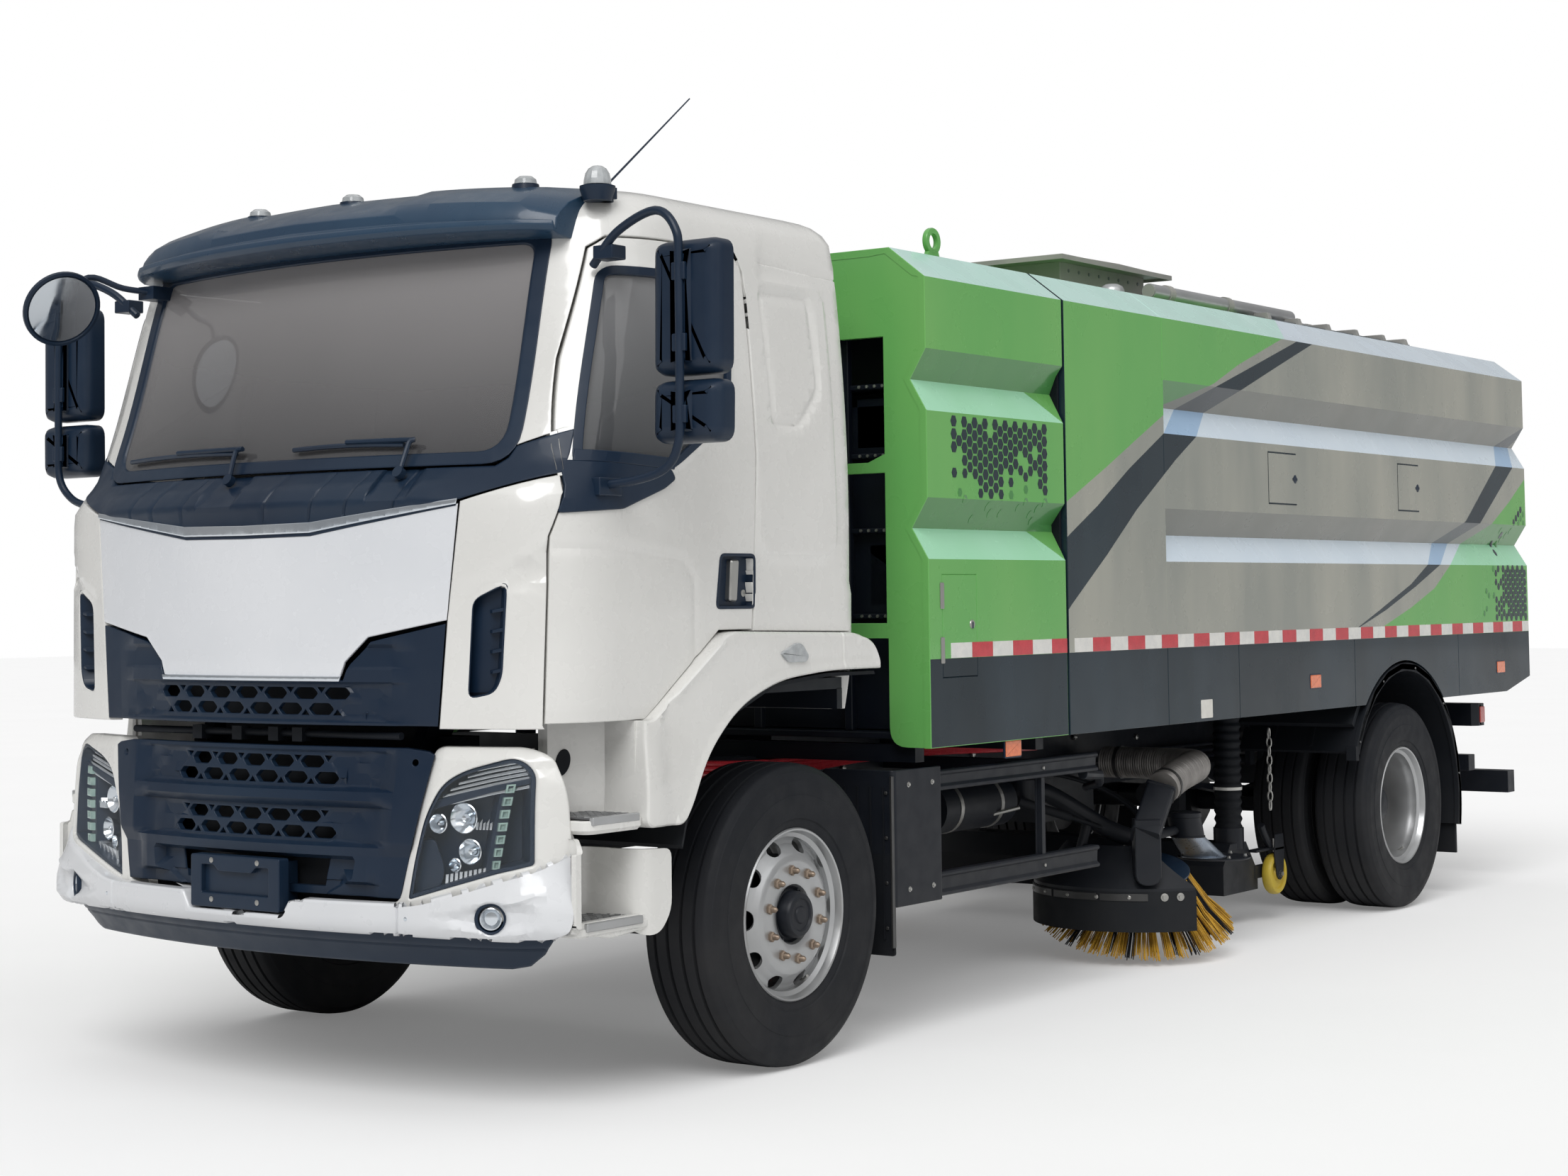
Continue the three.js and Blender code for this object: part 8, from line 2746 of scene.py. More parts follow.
@dataclass
class FrontModule:
    """Green equipment module behind the cab.

    Attributes:
        front: y of its front wall.
        rear: y of its rear edge.
        facet: y at which the grooves begin to turn at the rear end.
        door: y of the front and rear edge of the side door, and its lower and upper edge.
    """

    front: float = 0.772
    rear: float = 1.790
    facet: float = 1.600
    door: tuple[float, float, float, float] = (0.862, 1.105, 1.285, 1.662)

    def build(self) -> None:
        """Builds the module's pieces."""
        self.shell()
        self.trim()
        self.inside()
        tape(0.918, 1.788, 1, "module_tape", "chassis")
        spots = comb((0.960, 1.862), (1.665, 2.232))
        hexagons(spots, FORM.side, "module_hexagons", "chassis",
                 lambda y, z: 0.05 + 0.85 * ease(2.10 - z + 0.05 * math.sin(y * 14), 0.0, 0.24))
        marker(1.385, 1.000, "module_lamp", "chassis", 1.232)

    def shell(self) -> None:
        """Sides, roof, front wall and rear wall."""
        form = FORM
        y0, y1, z0, z1 = self.door
        gap = [(y0, z0), (y1, z0), (y1, z1), (y0, z1)]

        def place(u: float, v: float, w: float) -> Vector:
            """Point of the side, w outside it.

            Args:
                u: y of the place.
                v: Length run from the middle of the roof.
                w: Distance outside the skin.

            Returns:
                The point, in the axle frame.
            """
            z = form.height(abs(v))
            dent = form.dent(z, 0.018 * ease(u, self.facet, self.rear))
            if w > -0.01 and 1.0 < z < 1.75:
                w -= 0.003 * (1 - ease(abs(depth_in((u, z), gap)), 0.0008, 0.0026))
            return form.point(u, v, w, dent)

        def mark(u: float, v: float) -> int:
            """Slot of the colour at a place: the livery, with painted highlight on the chamfer and on slopes that face
            up and painted shade on slopes that face down.

            Args:
                u: y of the place.
                v: Length run from the middle of the roof.

            Returns:
                The slot.
            """
            s = abs(v)
            z = form.height(s)
            if s < form.shoulder:
                return CHAMFER_PAINTED_HIGHLIGHT_AT if s > form.eaves else GREEN_AT
            if z < form.tape[0]:
                return SLATE_AT
            slope = form.slope(z)
            if slope > 0:
                low, deep = [(a, b) for a, b, _ in form.grooves if a < z][-1]
                turned = u > self.facet + (self.rear - self.facet) * (deep - z) / (deep - low)
                return GREEN_AT if turned else GREEN_PAINTED_HIGHLIGHT_AT
            return GREEN_PAINTED_SHADE_AT if slope < 0 else GREEN_AT

        lines = []
        for s in form.levels() + [form.run(form.tape[0])]:
            lines.append([(self.front, s), (self.rear, s)])
        for low, deep, _ in form.grooves:
            lines.append([(self.facet, form.run(deep)), (self.rear, form.run(low))])
        for shift in (-0.0026, 0.0, 0.0026):
            edge = grown(gap, shift)
            lines.append([(y, form.run(z)) for y, z in edge + edge[:1]])
        lines += [[(u, -v) for u, v in line] for line in lines]
        shape = Shape().sheet([form.frame(self.front, self.rear)], place, 0.0, -0.028, (0.13, 0.12), 0.003, mark,
                              lines=lines, rim=GREEN_AT)
        side = form.section()[1:]
        foot = [(1.070, 1.20), (1.070, 1.032), (1.2496, 1.032), (1.2496, 1.60)]
        half = [(0.0, 1.430), (1.070, 1.430)] + rounded(foot, [0.0, 0.075, 0.004, 0.0], 6)
        half += [(x - 0.0004, z) for x, z in side] + [(0.0, form.roof - 0.0004)]
        holes = []
        for z0, z1 in ((2.080, 2.545), (1.486, 2.040)):
            hole = [(0.20, z0), (1.064, z0), (1.064, z1), (0.20, z1)]
            if z0 > 2:
                hole = [(0.20, z0), (0.99, z0), (1.064, z0 + 0.03), (1.064, z1), (0.20, z1)]
            holes += [hole, [(-x, z) for x, z in reversed(hole)]]
        shape.sheet([mirrored(half), *holes], on_front, -self.front - 0.002, -self.front - 0.030, (0.15, 0.15), 0.002,
                    0)
        rear = [(0.0, 1.150)] + [(1.235, 1.150)] + [(x - 0.010, z) for x, z in side] + [(0.0, form.roof - 0.01)]
        shape.sheet([mirrored(rear)], on_front, -self.rear + 0.032, -self.rear + 0.004, (0.2, 0.2), 0.002, SLATE_AT)
        Piece("module_shell", "chassis", "green_paint", BODY_FINISHES, ("front_module",), sharp=14).make(shape)

    def trim(self) -> None:
        """Hinges and lock of the access door, lifting eyes and the seal towards the hopper."""
        metal = Shape()
        for z in (1.585, 1.385):
            plate = rounded([(0.846, z - 0.048), (0.872, z - 0.048), (0.872, z + 0.048), (0.846, z + 0.048)], 0.004, 2)
            metal.stack(plate, on_side, [(1.249, 0), (1.253, 0), (1.254, -0.002)])
            metal.tube([Vector((1.2475, 0.864, z - 0.045)), Vector((1.2475, 0.864, z + 0.045))], 0.0068, 10)
        metal.lathe([(0, 0), (0.017, 0), (0.015, 0.004), (0, 0.004)], Vector((1.2495, 1.070, 1.478)), LEFT, 20)
        Piece("module_hinges", "chassis", "wheel_silver", (BOLT,)).make(metal.both())
        knob = Shape().block((1.2525, 1.066, 1.462), (1.2542, 1.075, 1.486))
        Piece("module_lock", "chassis", "dark_plastic", (PLASTIC,), bevel=0.0005).make(knob.both())
        eyes = Shape()
        centre = Vector((1.060, 1.130, 2.938))
        eyes.lathe([(0.030, -0.010), (0.050, -0.010), (0.052, -0.006), (0.052, 0.006), (0.050, 0.010), (0.030, 0.010),
                    (0.028, 0.0)], centre, LEFT, 32)
        eyes.stack([(1.085, 2.870), (1.175, 2.870), (1.160, 2.905), (1.100, 2.905)], on_side, [(1.050, 0), (1.070, 0)])
        for k in range(12):
            a = math.tau * k / 12
            eyes.lathe([(0, 0), (0.002, 0), (0, 0.001)],
                       centre + Vector((0.01, 0.041 * math.cos(a), 0.041 * math.sin(a))), LEFT, 6)
        Piece("lifting_eyes", "chassis", "green_paint", (GREEN,)).make(eyes.both())
        section = [(0.0, 1.06), (1.226, 1.06), (1.226, 2.745), (1.085, 2.852), (0.0, 2.852)]
        seal = Shape().sheet([mirrored(section), mirrored([(0.0, 1.12), (1.16, 1.12), (1.16, 2.72), (1.06, 2.80),
                                                           (0.0, 2.80)])], on_front, -self.rear, -self.rear - 0.012,
                             (0.3, 0.3), 0.002)
        Piece("module_seal", "chassis", "black_rubber", (RUBBER,)).make(seal)

    def inside(self) -> None:
        """Dark equipment seen through the front openings."""
        shape = Shape().block((-1.20, 0.80, 1.060), (1.20, 1.76, 1.085))
        shape.block((-1.15, 1.06, 1.06), (1.15, 1.085, 2.80))
        for s in (1, -1):
            for z in (1.50, 1.82, 2.10, 2.36):
                shape.block((-1.15 if s < 0 else 0.30, 0.86, z), (1.15 if s > 0 else -0.30, 1.06, z + 0.020))
            for x in (0.42, 0.84, 1.10):
                shape.block((s * x - 0.018, 0.845, 1.085), (s * x + 0.018, 0.875, 2.60))
            for z, r in ((1.60, 0.045), (1.92, 0.038), (2.20, 0.05)):
                shape.tube([Vector((s * 0.35, 0.95, z)), Vector((s * 1.12, 0.95, z + 0.01))], r, 14)
            shape.block((s * 0.98 - 0.07, 0.90, 1.55), (s * 0.98 + 0.07, 1.02, 1.78))
            shape.block((s * 0.95 - 0.09, 0.90, 2.14), (s * 0.95 + 0.09, 1.02, 2.33))
        Piece("module_inside", "chassis", "chassis_black", (BLACK,), bevel=0.004).make(shape)
        small = Shape()
        for z in (1.515, 1.835, 2.115, 2.375):
            for k in range(5):
                small.lathe([(0, 0), (0.007, 0), (0.006, 0.005), (0, 0.006)],
                            Vector((0.90 + 0.035 * k, 0.858, z - 0.004)), AHEAD, 8)
        for z in (1.62, 2.24):
            small.block((1.02, 0.885, z), (1.045, 0.9, z + 0.09))
        Piece("module_fasteners", "chassis", "wheel_silver", (BOLT,)).make(small.both())


@dataclass
class Hopper:
    """Tipping hopper with its livery, wheel arches, roof gear and side doors.

    Attributes:
        front: y of its front wall.
        rear: y of its rear edge.
        groove_start: y at which the grooves begin.
        arch: Radius of the wheel arches.
        axle: y and z of the rear axle.
        skirt_seams: y of each seam in the skirt.
    """

    front: float = 1.804
    rear: float = 7.057
    groove_start: float = 2.657
    arch: float = 0.724
    axle: Point2 = (REAR_AXLE, 0.512)
    skirt_seams: tuple[float, ...] = (3.34, 4.62, 5.98)

    def build(self) -> None:
        """Builds the hopper's pieces."""
        self.shell()
        self.under()
        self.doors()
        self.roof_gear()
        tape(1.850, 7.050, 1, "hopper_tape", "tipping_body")
        for k, y in enumerate((4.154, 6.598)):
            marker(y, 1.166, f"hopper_lamp_{k}", "tipping_body")
        spots = comb((6.30, 1.432), (7.040, 1.70))
        hexagons(spots, FORM.side, "hopper_hexagons_low", "tipping_body",
                 lambda y, z: 0.95 * ease(6.80 - y, 0.0, 0.50))
        spots = comb((6.60, 1.735), (7.020, 2.03))
        hexagons(spots, FORM.side, "hopper_hexagons_high", "tipping_body",
                 lambda y, z: 0.45 + 0.55 * ease(abs(z - 1.72 - (y - 6.55) * 0.75), 0.03, 0.12))

    def opened(self, u: float) -> float:
        """Share of the grooves' depth at a place along the hopper."""
        return ease(u, self.groove_start, self.groove_start + 0.004)

    def shell(self) -> None:
        """Sides and roof with the livery and its painted light, the front wall and the rear frame."""
        form = FORM
        end = form.run(form.skirt)
        span = math.degrees(math.acos((form.skirt - self.axle[1]) / self.arch))
        arch = arc(self.axle, self.arch, 90 + span, 90 - span, 28)
        low = [(self.front, end)] + [(y, form.run(z)) for y, z in arch]
        low += [(6.690, end), (self.rear, form.run(1.104))]
        loop = [(u, -v) for u, v in low] + list(reversed(low))

        def place(u: float, v: float, w: float) -> Vector:
            """Point of the bodywork with its grooves and seams, w outside it.

            Args:
                u: y of the place.
                v: Length run from the middle of the roof.
                w: Distance outside the skin.

            Returns:
                The point, in the axle frame.
            """
            z = form.height(abs(v))
            if w > -0.01:
                w -= 0.0022 * (1 - ease(abs(u - self.groove_start + 0.004), 0.0, 0.003))
                if z < form.tape[0]:
                    for at in self.skirt_seams:
                        w -= 0.0022 * (1 - ease(abs(u - at), 0.001, 0.003))
            return form.point(u, v, w, form.dent(z) * self.opened(u))

        def mark(u: float, v: float) -> int:
            """Slot of the colour at a place: the livery, with painted highlight on the chamfer, on the grey roof and
            on slopes that face up, and painted shade on slopes that face down.

            Args:
                u: y of the place.
                v: Length run from the middle of the roof.

            Returns:
                The slot.
            """
            s = abs(v)
            z = form.height(s)
            if z < form.tape[0] + 0.0001:
                return SLATE_AT
            if s < form.shoulder:
                if u > ROOF_EDGE_START + ROOF_EDGE_SLOPE * (form.shoulder - max(s, form.eaves)):
                    return GREY_PAINTED_HIGHLIGHT_AT
                return CHAMFER_PAINTED_HIGHLIGHT_AT if s > form.eaves else GREEN_AT
            base = GREY_AT
            if any(inside((u, z), [area_loop]) for area_loop in NAVY_AREAS):
                base = NAVY_AT
            elif any(inside((u, z), [area_loop]) for area_loop in GREEN_AREAS):
                base = GREEN_AT
            slope = form.slope(z) if u > self.groove_start else 0
            return PAINTED_LIGHT_TONES[base][0] if slope > 0 else PAINTED_LIGHT_TONES[base][1] if slope < 0 else base

        lines = [[(self.front, s), (self.rear, s)] for s in form.levels() + [form.run(form.tape[0])]]
        for edge in (BAND_LEFT, BAND_RIGHT, GREEN_EDGE, STRIPE_UPPER, STRIPE_LOWER, REAR_GREEN):
            lines.append([(y, form.run(z)) for y, z in edge])
        across = ROOF_EDGE_START + ROOF_EDGE_SLOPE * (form.shoulder - form.eaves)
        lines += [[(ROOF_EDGE_START, form.shoulder), (across, form.eaves)],
                  [(across, -form.eaves), (across, form.eaves)]]
        lines += [[(u, -v) for u, v in line] for line in lines]
        for u in (self.groove_start - 0.007, self.groove_start - 0.004, self.groove_start, self.groove_start + 0.004,
                  *(at + s for at in self.skirt_seams for s in (-0.003, 0.0, 0.003))):
            lines.append([(u, -end), (u, end)])
        shape = Shape().sheet([loop], place, 0.0, -0.028, (0.22, 0.13), 0.003, mark, lines=lines, rim=SLATE_AT)
        box = [(0.0, 1.125), (1.225, 1.125), (1.244, 1.14), (1.244, form.fold), (form.eaves, form.roof - 0.005),
               (0.0, form.roof - 0.005)]
        # The front wall is painted the dark slate as painted shade where it shows through the notches of the module's
        # grooves.
        shape.sheet([mirrored(box)], on_front, -self.front - 0.001, -self.front - 0.030, (0.3, 0.3), 0.002, SLATE_AT)
        tail = [(0.0, 1.125)] + [(1.235, 1.125)] + [(x - 0.006, z) for x, z in form.section()[1:]] + [(0.0, 2.870)]
        mouth = [(-1.116, 1.214), (1.116, 1.214), (1.116, 2.696), (-1.116, 2.696)]
        shape.sheet([mirrored(tail), mouth], on_front, -self.rear + 0.045, -self.rear + 0.001, (0.3, 0.3), 0.003,
                    GREY_AT)
        Piece("hopper_shell", "tipping_body", "body_paint", BODY_FINISHES, ("hopper",), sharp=14).make(shape)

    def under(self) -> None:
        """Floor, bearers, hinge and cylinder lugs, wheel arch covers and the tail hinges."""
        shape = Shape().block((-1.21, 1.84, 1.125), (1.21, 4.50, 1.165))
        shape.block((-1.21, 6.0, 1.125), (1.21, 7.02, 1.165))
        shape.block((-0.60, 4.50, 1.125), (0.60, 6.0, 1.165)).block((-1.116, 7.0, 1.165), (1.116, 7.02, 1.214))
        ring = arc(self.axle, self.arch, 35, 145, 24) + arc(self.axle, self.arch + 0.03, 145, 35, 24)
        cover = Shape().stack(ring, on_side, [(0.60, 0), (1.222, 0)])
        cover.stack(arc(self.axle, self.arch + 0.03, 30, 150, 24), on_side, [(0.57, 0), (0.60, 0)])
        shape.join(cover.both())
        rails = Shape().block((0.34, 1.90, 0.984), (0.43, 6.66, 1.13))
        rails.lathe([(0.0206, -0.030), (0.046, -0.030), (0.046, 0.030), (0.0206, 0.030)], Vector((0.362, 6.75, 1.003)),
                    LEFT, 28)
        rails.block((0.332, 6.705, 1.030), (0.392, 6.795, 1.13)).block((0.271, 3.855, 1.030), (0.289, 3.945, 1.13))
        shape.join(rails.both())
        for y in (2.3, 3.0, 3.55, 4.3, 6.3):
            shape.block((-1.20, y, 1.06), (-0.44, y + 0.06, 1.13)).block((0.44, y, 1.06), (1.20, y + 0.06, 1.13))
        Piece("hopper_floor", "tipping_body", "chassis_black", (INNER,), bevel=0.003).make(shape)
        hinge = Shape()
        for x in (-0.8, 0.0, 0.8):
            hinge.lathe([(0, 0), (0.022, 0), (0.022, 0.088), (0, 0.088)], Vector((x - 0.110, 7.079, 2.730)), LEFT, 24)
            hinge.block((x - 0.108, 7.045, 2.722), (x - 0.024, 7.079, 2.748))
        # The hinges take the darker grey that the body uses as painted shade on slopes that face down.
        Piece("tail_hinges", "tipping_body", "body_paint", (GREY_PAINTED_SHADE,), bevel=0.002).make(hinge)

    def doors(self) -> None:
        """Two small flush doors with dark knobs, and the blank label on the skirt."""
        doors, slots, knobs = Shape(), Shape(), Shape()
        for y0, y1 in ((3.690, 3.985), (5.215, 5.480)):
            z0, z1 = 1.994, 2.221
            loop = [(y0, z0), (y1, z0), (y1, z1), (y0, z1)]
            doors.sheet([loop], on_side, 1.2522, 1.246, (0.3, 0.3), 0.0015)
            slots.block((1.247, y0 - 0.004, z0 - 0.007), (1.2512, y1 + 0.004, z0))
            slots.block((1.247, y0 - 0.004, z1), (1.2512, y1 + 0.004, z1 + 0.007))
            slots.block((1.247, y0 - 0.005, z0), (1.2508, y0 - 0.0005, z1))
            spot = Vector((1.2495, y1 - 0.012, 2.108))
            knobs.lathe([(0, 0), (0.020, 0), (0.020, 0.003), (0.012, 0.0045), (0, 0.0045)], spot, LEFT, 20)
            knobs.block((1.252, y1 - 0.040, 2.102), (1.2545, y1 + 0.010, 2.114))
        Piece("hopper_doors", "tipping_body", "body_paint", (GREY,)).make(doors.both())
        Piece("hopper_door_gaps", "tipping_body", "dark_plastic", (SLATE,)).make(slots.both())
        Piece("hopper_door_knobs", "tipping_body", "dark_plastic", (PLASTIC,)).make(knobs.both())
        label = Shape().sheet([rounded([(2.955, 1.045), (3.065, 1.045), (3.065, 1.124), (2.955, 1.124)], 0.004, 2)],
                              on_side, 1.2516, 1.247, (0.3, 0.3), 0.0005)
        Piece("blank_skirt_label", "tipping_body", "body_paint", (BLANK,)).make(label.both())

    def roof_gear(self) -> None:
        """Exhaust duct under its flat lid, pipes, walkway, cleats and caps."""
        z = FORM.roof
        shape = Shape()
        wall = rounded([(-0.605, 2.945), (0.605, 2.945), (0.605, 3.755), (-0.605, 3.755)], 0.012, 3)
        shape.sheet([wall, grown(wall, -0.012)], on_top, z + 0.204, z + 0.002, (0.4, 0.4), 0.001)
        lid = [(2.772, z + 0.204), (2.772, z + 0.211), (3.296, z + 0.220), (3.821, z + 0.211), (3.821, z + 0.204)]
        shape.stack(lid, on_side, [(-0.712, 0), (0.712, 0)])
        rim = [(-0.715, 2.768), (0.715, 2.768), (0.715, 3.825), (-0.715, 3.825)]
        shape.sheet([rim, grown(rim, -0.005)], on_top, z + 0.214, z + 0.192, (0.4, 0.4), 0.001)
        for k in range(8):
            bolt = [(0, -0.004), (0.009, -0.004), (0.008, 0.004), (0, 0.005)]
            shape.lathe(bolt, Vector((0.604, 3.02 + 0.095 * k, z + 0.170)), LEFT, 10, 2)
        pipe_z = z + 0.060
        pipe = smooth_route([(0.700, 3.650, pipe_z), (0.745, 4.10, pipe_z), (0.760, 4.40, pipe_z),
                             (0.760, 5.10, pipe_z), (0.735, 5.35, pipe_z), (0.700, 5.60, pipe_z)], 5)
        shape.tube(pipe, 0.036, 20, 1)
        shape.tube([Vector((0.950, y, pipe_z)) for y in (3.130, 3.60, 4.10, 4.615)], 0.035, 24, 1)
        for x, y in ((0.748, 3.95), (0.760, 4.48), (0.760, 4.90), (0.742, 5.30), (0.95, 3.30), (0.95, 3.90)):
            band = [(0.030, -0.022), (0.041, -0.022), (0.041, 0.022), (0.030, 0.022)]
            shape.lathe(band, Vector((x, y, pipe_z)), Vector((0, 1, 0)), 20)
            shape.block((x - 0.028, y - 0.02, z + 0.001), (x + 0.028, y + 0.02, z + 0.040))
        shape.lathe([(0, 0), (0.031, 0), (0.031, 0.006), (0, 0.006)], Vector((0.950, 3.126, pipe_z)),
                    Vector((0, 1, 0)), 24)
        shape.block((0.565, 3.565, z + 0.002), (0.695, 4.055, z + 0.040))
        for y in (4.150, 4.500, 4.850, 5.200, 5.550, 5.850):
            cleat = [(0.625, z + 0.001), (1.055, z + 0.001), (1.055, z + 0.018), (1.046, z + 0.043),
                     (0.635, z + 0.043), (0.625, z + 0.018)]
            shape.stack(cleat, on_front, [(-y - 0.038, 0), (-y - 0.002, 0)])
        Piece("roof_equipment", "tipping_body", "roof_grey", (DUCT_GREY, STEEL, ROOF_GREY), ("roof_gear",),
              bevel=0.002).make(shape)
        walk = Shape()
        for x in (0.822, 1.030):
            walk.block((x, 4.0, z + 0.001), (x + 0.008, 5.95, z + 0.019))
        for k in range(66):
            y = 4.005 + 0.0298 * k
            walk.block((0.83, y, z + 0.004), (1.03, y + 0.004, z + 0.017))
        for x in (0.87, 0.91, 0.95, 0.99):
            walk.block((x, 4.0, z + 0.004), (x + 0.003, 5.95, z + 0.014))
        Piece("roof_walkway", "tipping_body", "roof_grey", (ROOF_GREY,)).make(walk)
        for side in Side:
            cap = Shape().lathe([(0, 0), (0.062, 0), (0.062, 0.008), (0.056, 0.012), (0.054, 0.036), (0.046, 0.052),
                                 (0.028, 0.062), (0, 0.065)], Vector((0.93, 2.82, z + 0.001)), UP, 32)
            cap.lathe([(0, 0), (0.070, 0), (0.070, 0.070), (0.060, 0.094), (0.034, 0.106), (0, 0.110)],
                      Vector((0.50, 4.90, z + 0.001)), UP, 32, 1)
            Piece(f"roof_cap_{side.word}", "tipping_body", "roof_grey", (STEEL, ROOF_GREY)).make(cap.on(side))


@dataclass
class TailDoor:
    """Rear door with pressed ribs, latches and a blank plate.

    Attributes:
        half: Half its width.
        low: Height of its lower edge.
        high: Height of its upper edge.
        face: y of its outer face.
    """

    half: float = 1.110
    low: float = 1.220
    high: float = 2.690
    face: float = 7.057

    def build(self) -> None:
        """Builds the door's pieces."""

        def at(u: float, v: float, w: float) -> Vector:
            """Point of the plain rear door, w outside it."""
            return Vector((-u, self.face + w, v))

        loop = rounded([(-self.half, self.low), (self.half, self.low), (self.half, self.high),
                        (-self.half, self.high)], 0.03, 4)
        fields = []
        for x in (-0.83, -0.28, 0.28, 0.83):
            for z0, z1 in ((1.34, 1.92), (2.0, 2.56)):
                fields.append(rounded([(x - 0.20, z0), (x + 0.20, z0), (x + 0.20, z1), (x - 0.20, z1)], 0.06, 5))

        def place(u: float, v: float, w: float) -> Vector:
            """Point of the rear door with its pressed fields, w outside it.

            Args:
                u: Place across the door.
                v: Its height.
                w: Distance outside the door.

            Returns:
                The point, in the axle frame.
            """
            if w > -0.01:
                for field in fields:
                    if abs(u - _middle(field)[0]) < 0.25 and abs(v - _middle(field)[1]) < 0.33:
                        w -= 0.012 * ease(depth_in((u, v), field), -0.004, 0.014)
            return at(u, v, w)

        lines = [line + line[:1] for field in fields for line in (field, grown(field, -0.014))]
        shape = Shape().sheet([loop], place, -0.001, -0.056, (0.15, 0.15), 0.004, lines=lines)
        for x in (-0.56, 0.0, 0.56):
            rib = rounded([(x - 0.040, 1.262), (x + 0.040, 1.262), (x + 0.040, 2.568), (x - 0.040, 2.568)], 0.01, 3)
            shape.stack(rib, at, [(-0.004, 0), (0.020, -0.001), (0.027, -0.007)])
        for x in (-0.8, 0.0, 0.8):
            shape.lathe([(0, 0), (0.022, 0), (0.022, 0.085), (0, 0.085)], Vector((x - 0.019, 7.079, 2.730)), LEFT, 24)
            shape.stack([(7.052, 2.630), (7.052, 2.688), (7.063, 2.700), (7.065, 2.730), (7.090, 2.730),
                         (7.074, 2.640)],
                        on_side, [(x - 0.018, 0), (x + 0.064, 0)])
        Piece("tail_door_leaf", "rear_door", "body_paint", (GREY,), ("tail_door",), bevel=0.0015).make(shape)
        latch = Shape()
        for x in (-0.96, 0.96):
            latch.block((x - 0.03, 7.056, 1.235), (x + 0.03, 7.080, 1.30)).tube(
                [Vector((x, 7.085, 1.225)), Vector((x, 7.085, 1.36))], 0.011, 10)
        latch.tube([Vector((-0.30, 7.058, 1.30)), Vector((-0.30, 7.085, 1.30)), Vector((0.30, 7.085, 1.30)),
                    Vector((0.30, 7.058, 1.30))], 0.009, 10)
        Piece("tail_latches", "rear_door", "wheel_silver", (BOLT,), bevel=0.001).make(latch)
        plate = Shape().sheet([rounded([(-0.17, 1.70), (0.17, 1.70), (0.17, 1.80), (-0.17, 1.80)], 0.01, 3)],
                              lambda u, v, w: Vector((-u - 0.28, self.face + w, v)), -0.009, -0.016, (0.4, 0.4), 0.001)
        Piece("tail_blank_plate", "rear_door", "body_paint", (BLANK,)).make(plate)


# ---------------------------------------------------------------- underside


CLAMP = Finish("clamp_steel", (0.11, 0.11, 0.11), (0.06, 0.06, 0.06), 0.35, metal=0.8, relief=0.1)
LAMP_RED = Finish("tail_lamp", (0.40, 0.025, 0.015), (0.30, 0.012, 0.01), 0.2, coat=0.8)
BRUSH_UP = Vector((0.6 * math.sin(0.266), -0.8 * math.sin(0.266), math.cos(0.266)))
BRUSH_PLATE = Vector((0.900, 3.015, 0.385))
BRUSH_FOOT = BRUSH_PLATE - BRUSH_UP * 0.262


def circle(centre: Vector, radius: float, steps: int = 40) -> list[Vector]:
    """Level circle of points.

    Args:
        centre: Its centre.
        radius: Its radius.
        steps: How many points it has.

    Returns:
        The points in order.
    """
    turns = [math.tau * k / steps for k in range(steps)]
    return [centre + Vector((radius * math.cos(turn), radius * math.sin(turn), 0)) for turn in turns]


def dress(frame: dict, nodes: Iterable[str], finish: Finish, bevel: float) -> None:
    """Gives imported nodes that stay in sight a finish, clean faces and soft edges.

    Args:
        frame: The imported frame.
        nodes: Names of the nodes.
        finish: Their finish.
        bevel: Width of the edges' bevel.
    """
    for name in nodes:
        obj = frame["nodes"][name]
        obj.data.materials.clear()
        obj.data.materials.append(finish.material())
        weld = obj.modifiers.new("weld", "WELD")
        weld.merge_threshold = 1e-5
        plane = obj.modifiers.new("planes", "DECIMATE")
        plane.decimate_type = "DISSOLVE"
        plane.angle_limit = math.radians(1.5)
        edge = obj.modifiers.new("edge", "BEVEL")
        edge.width = bevel
        edge.segments = 2
        edge.limit_method = "ANGLE"
        edge.angle_limit = math.radians(32)
        obj.data.shade_smooth()
        weighting = obj.modifiers.new("shading", "WEIGHTED_NORMAL")
        weighting.keep_sharp = True


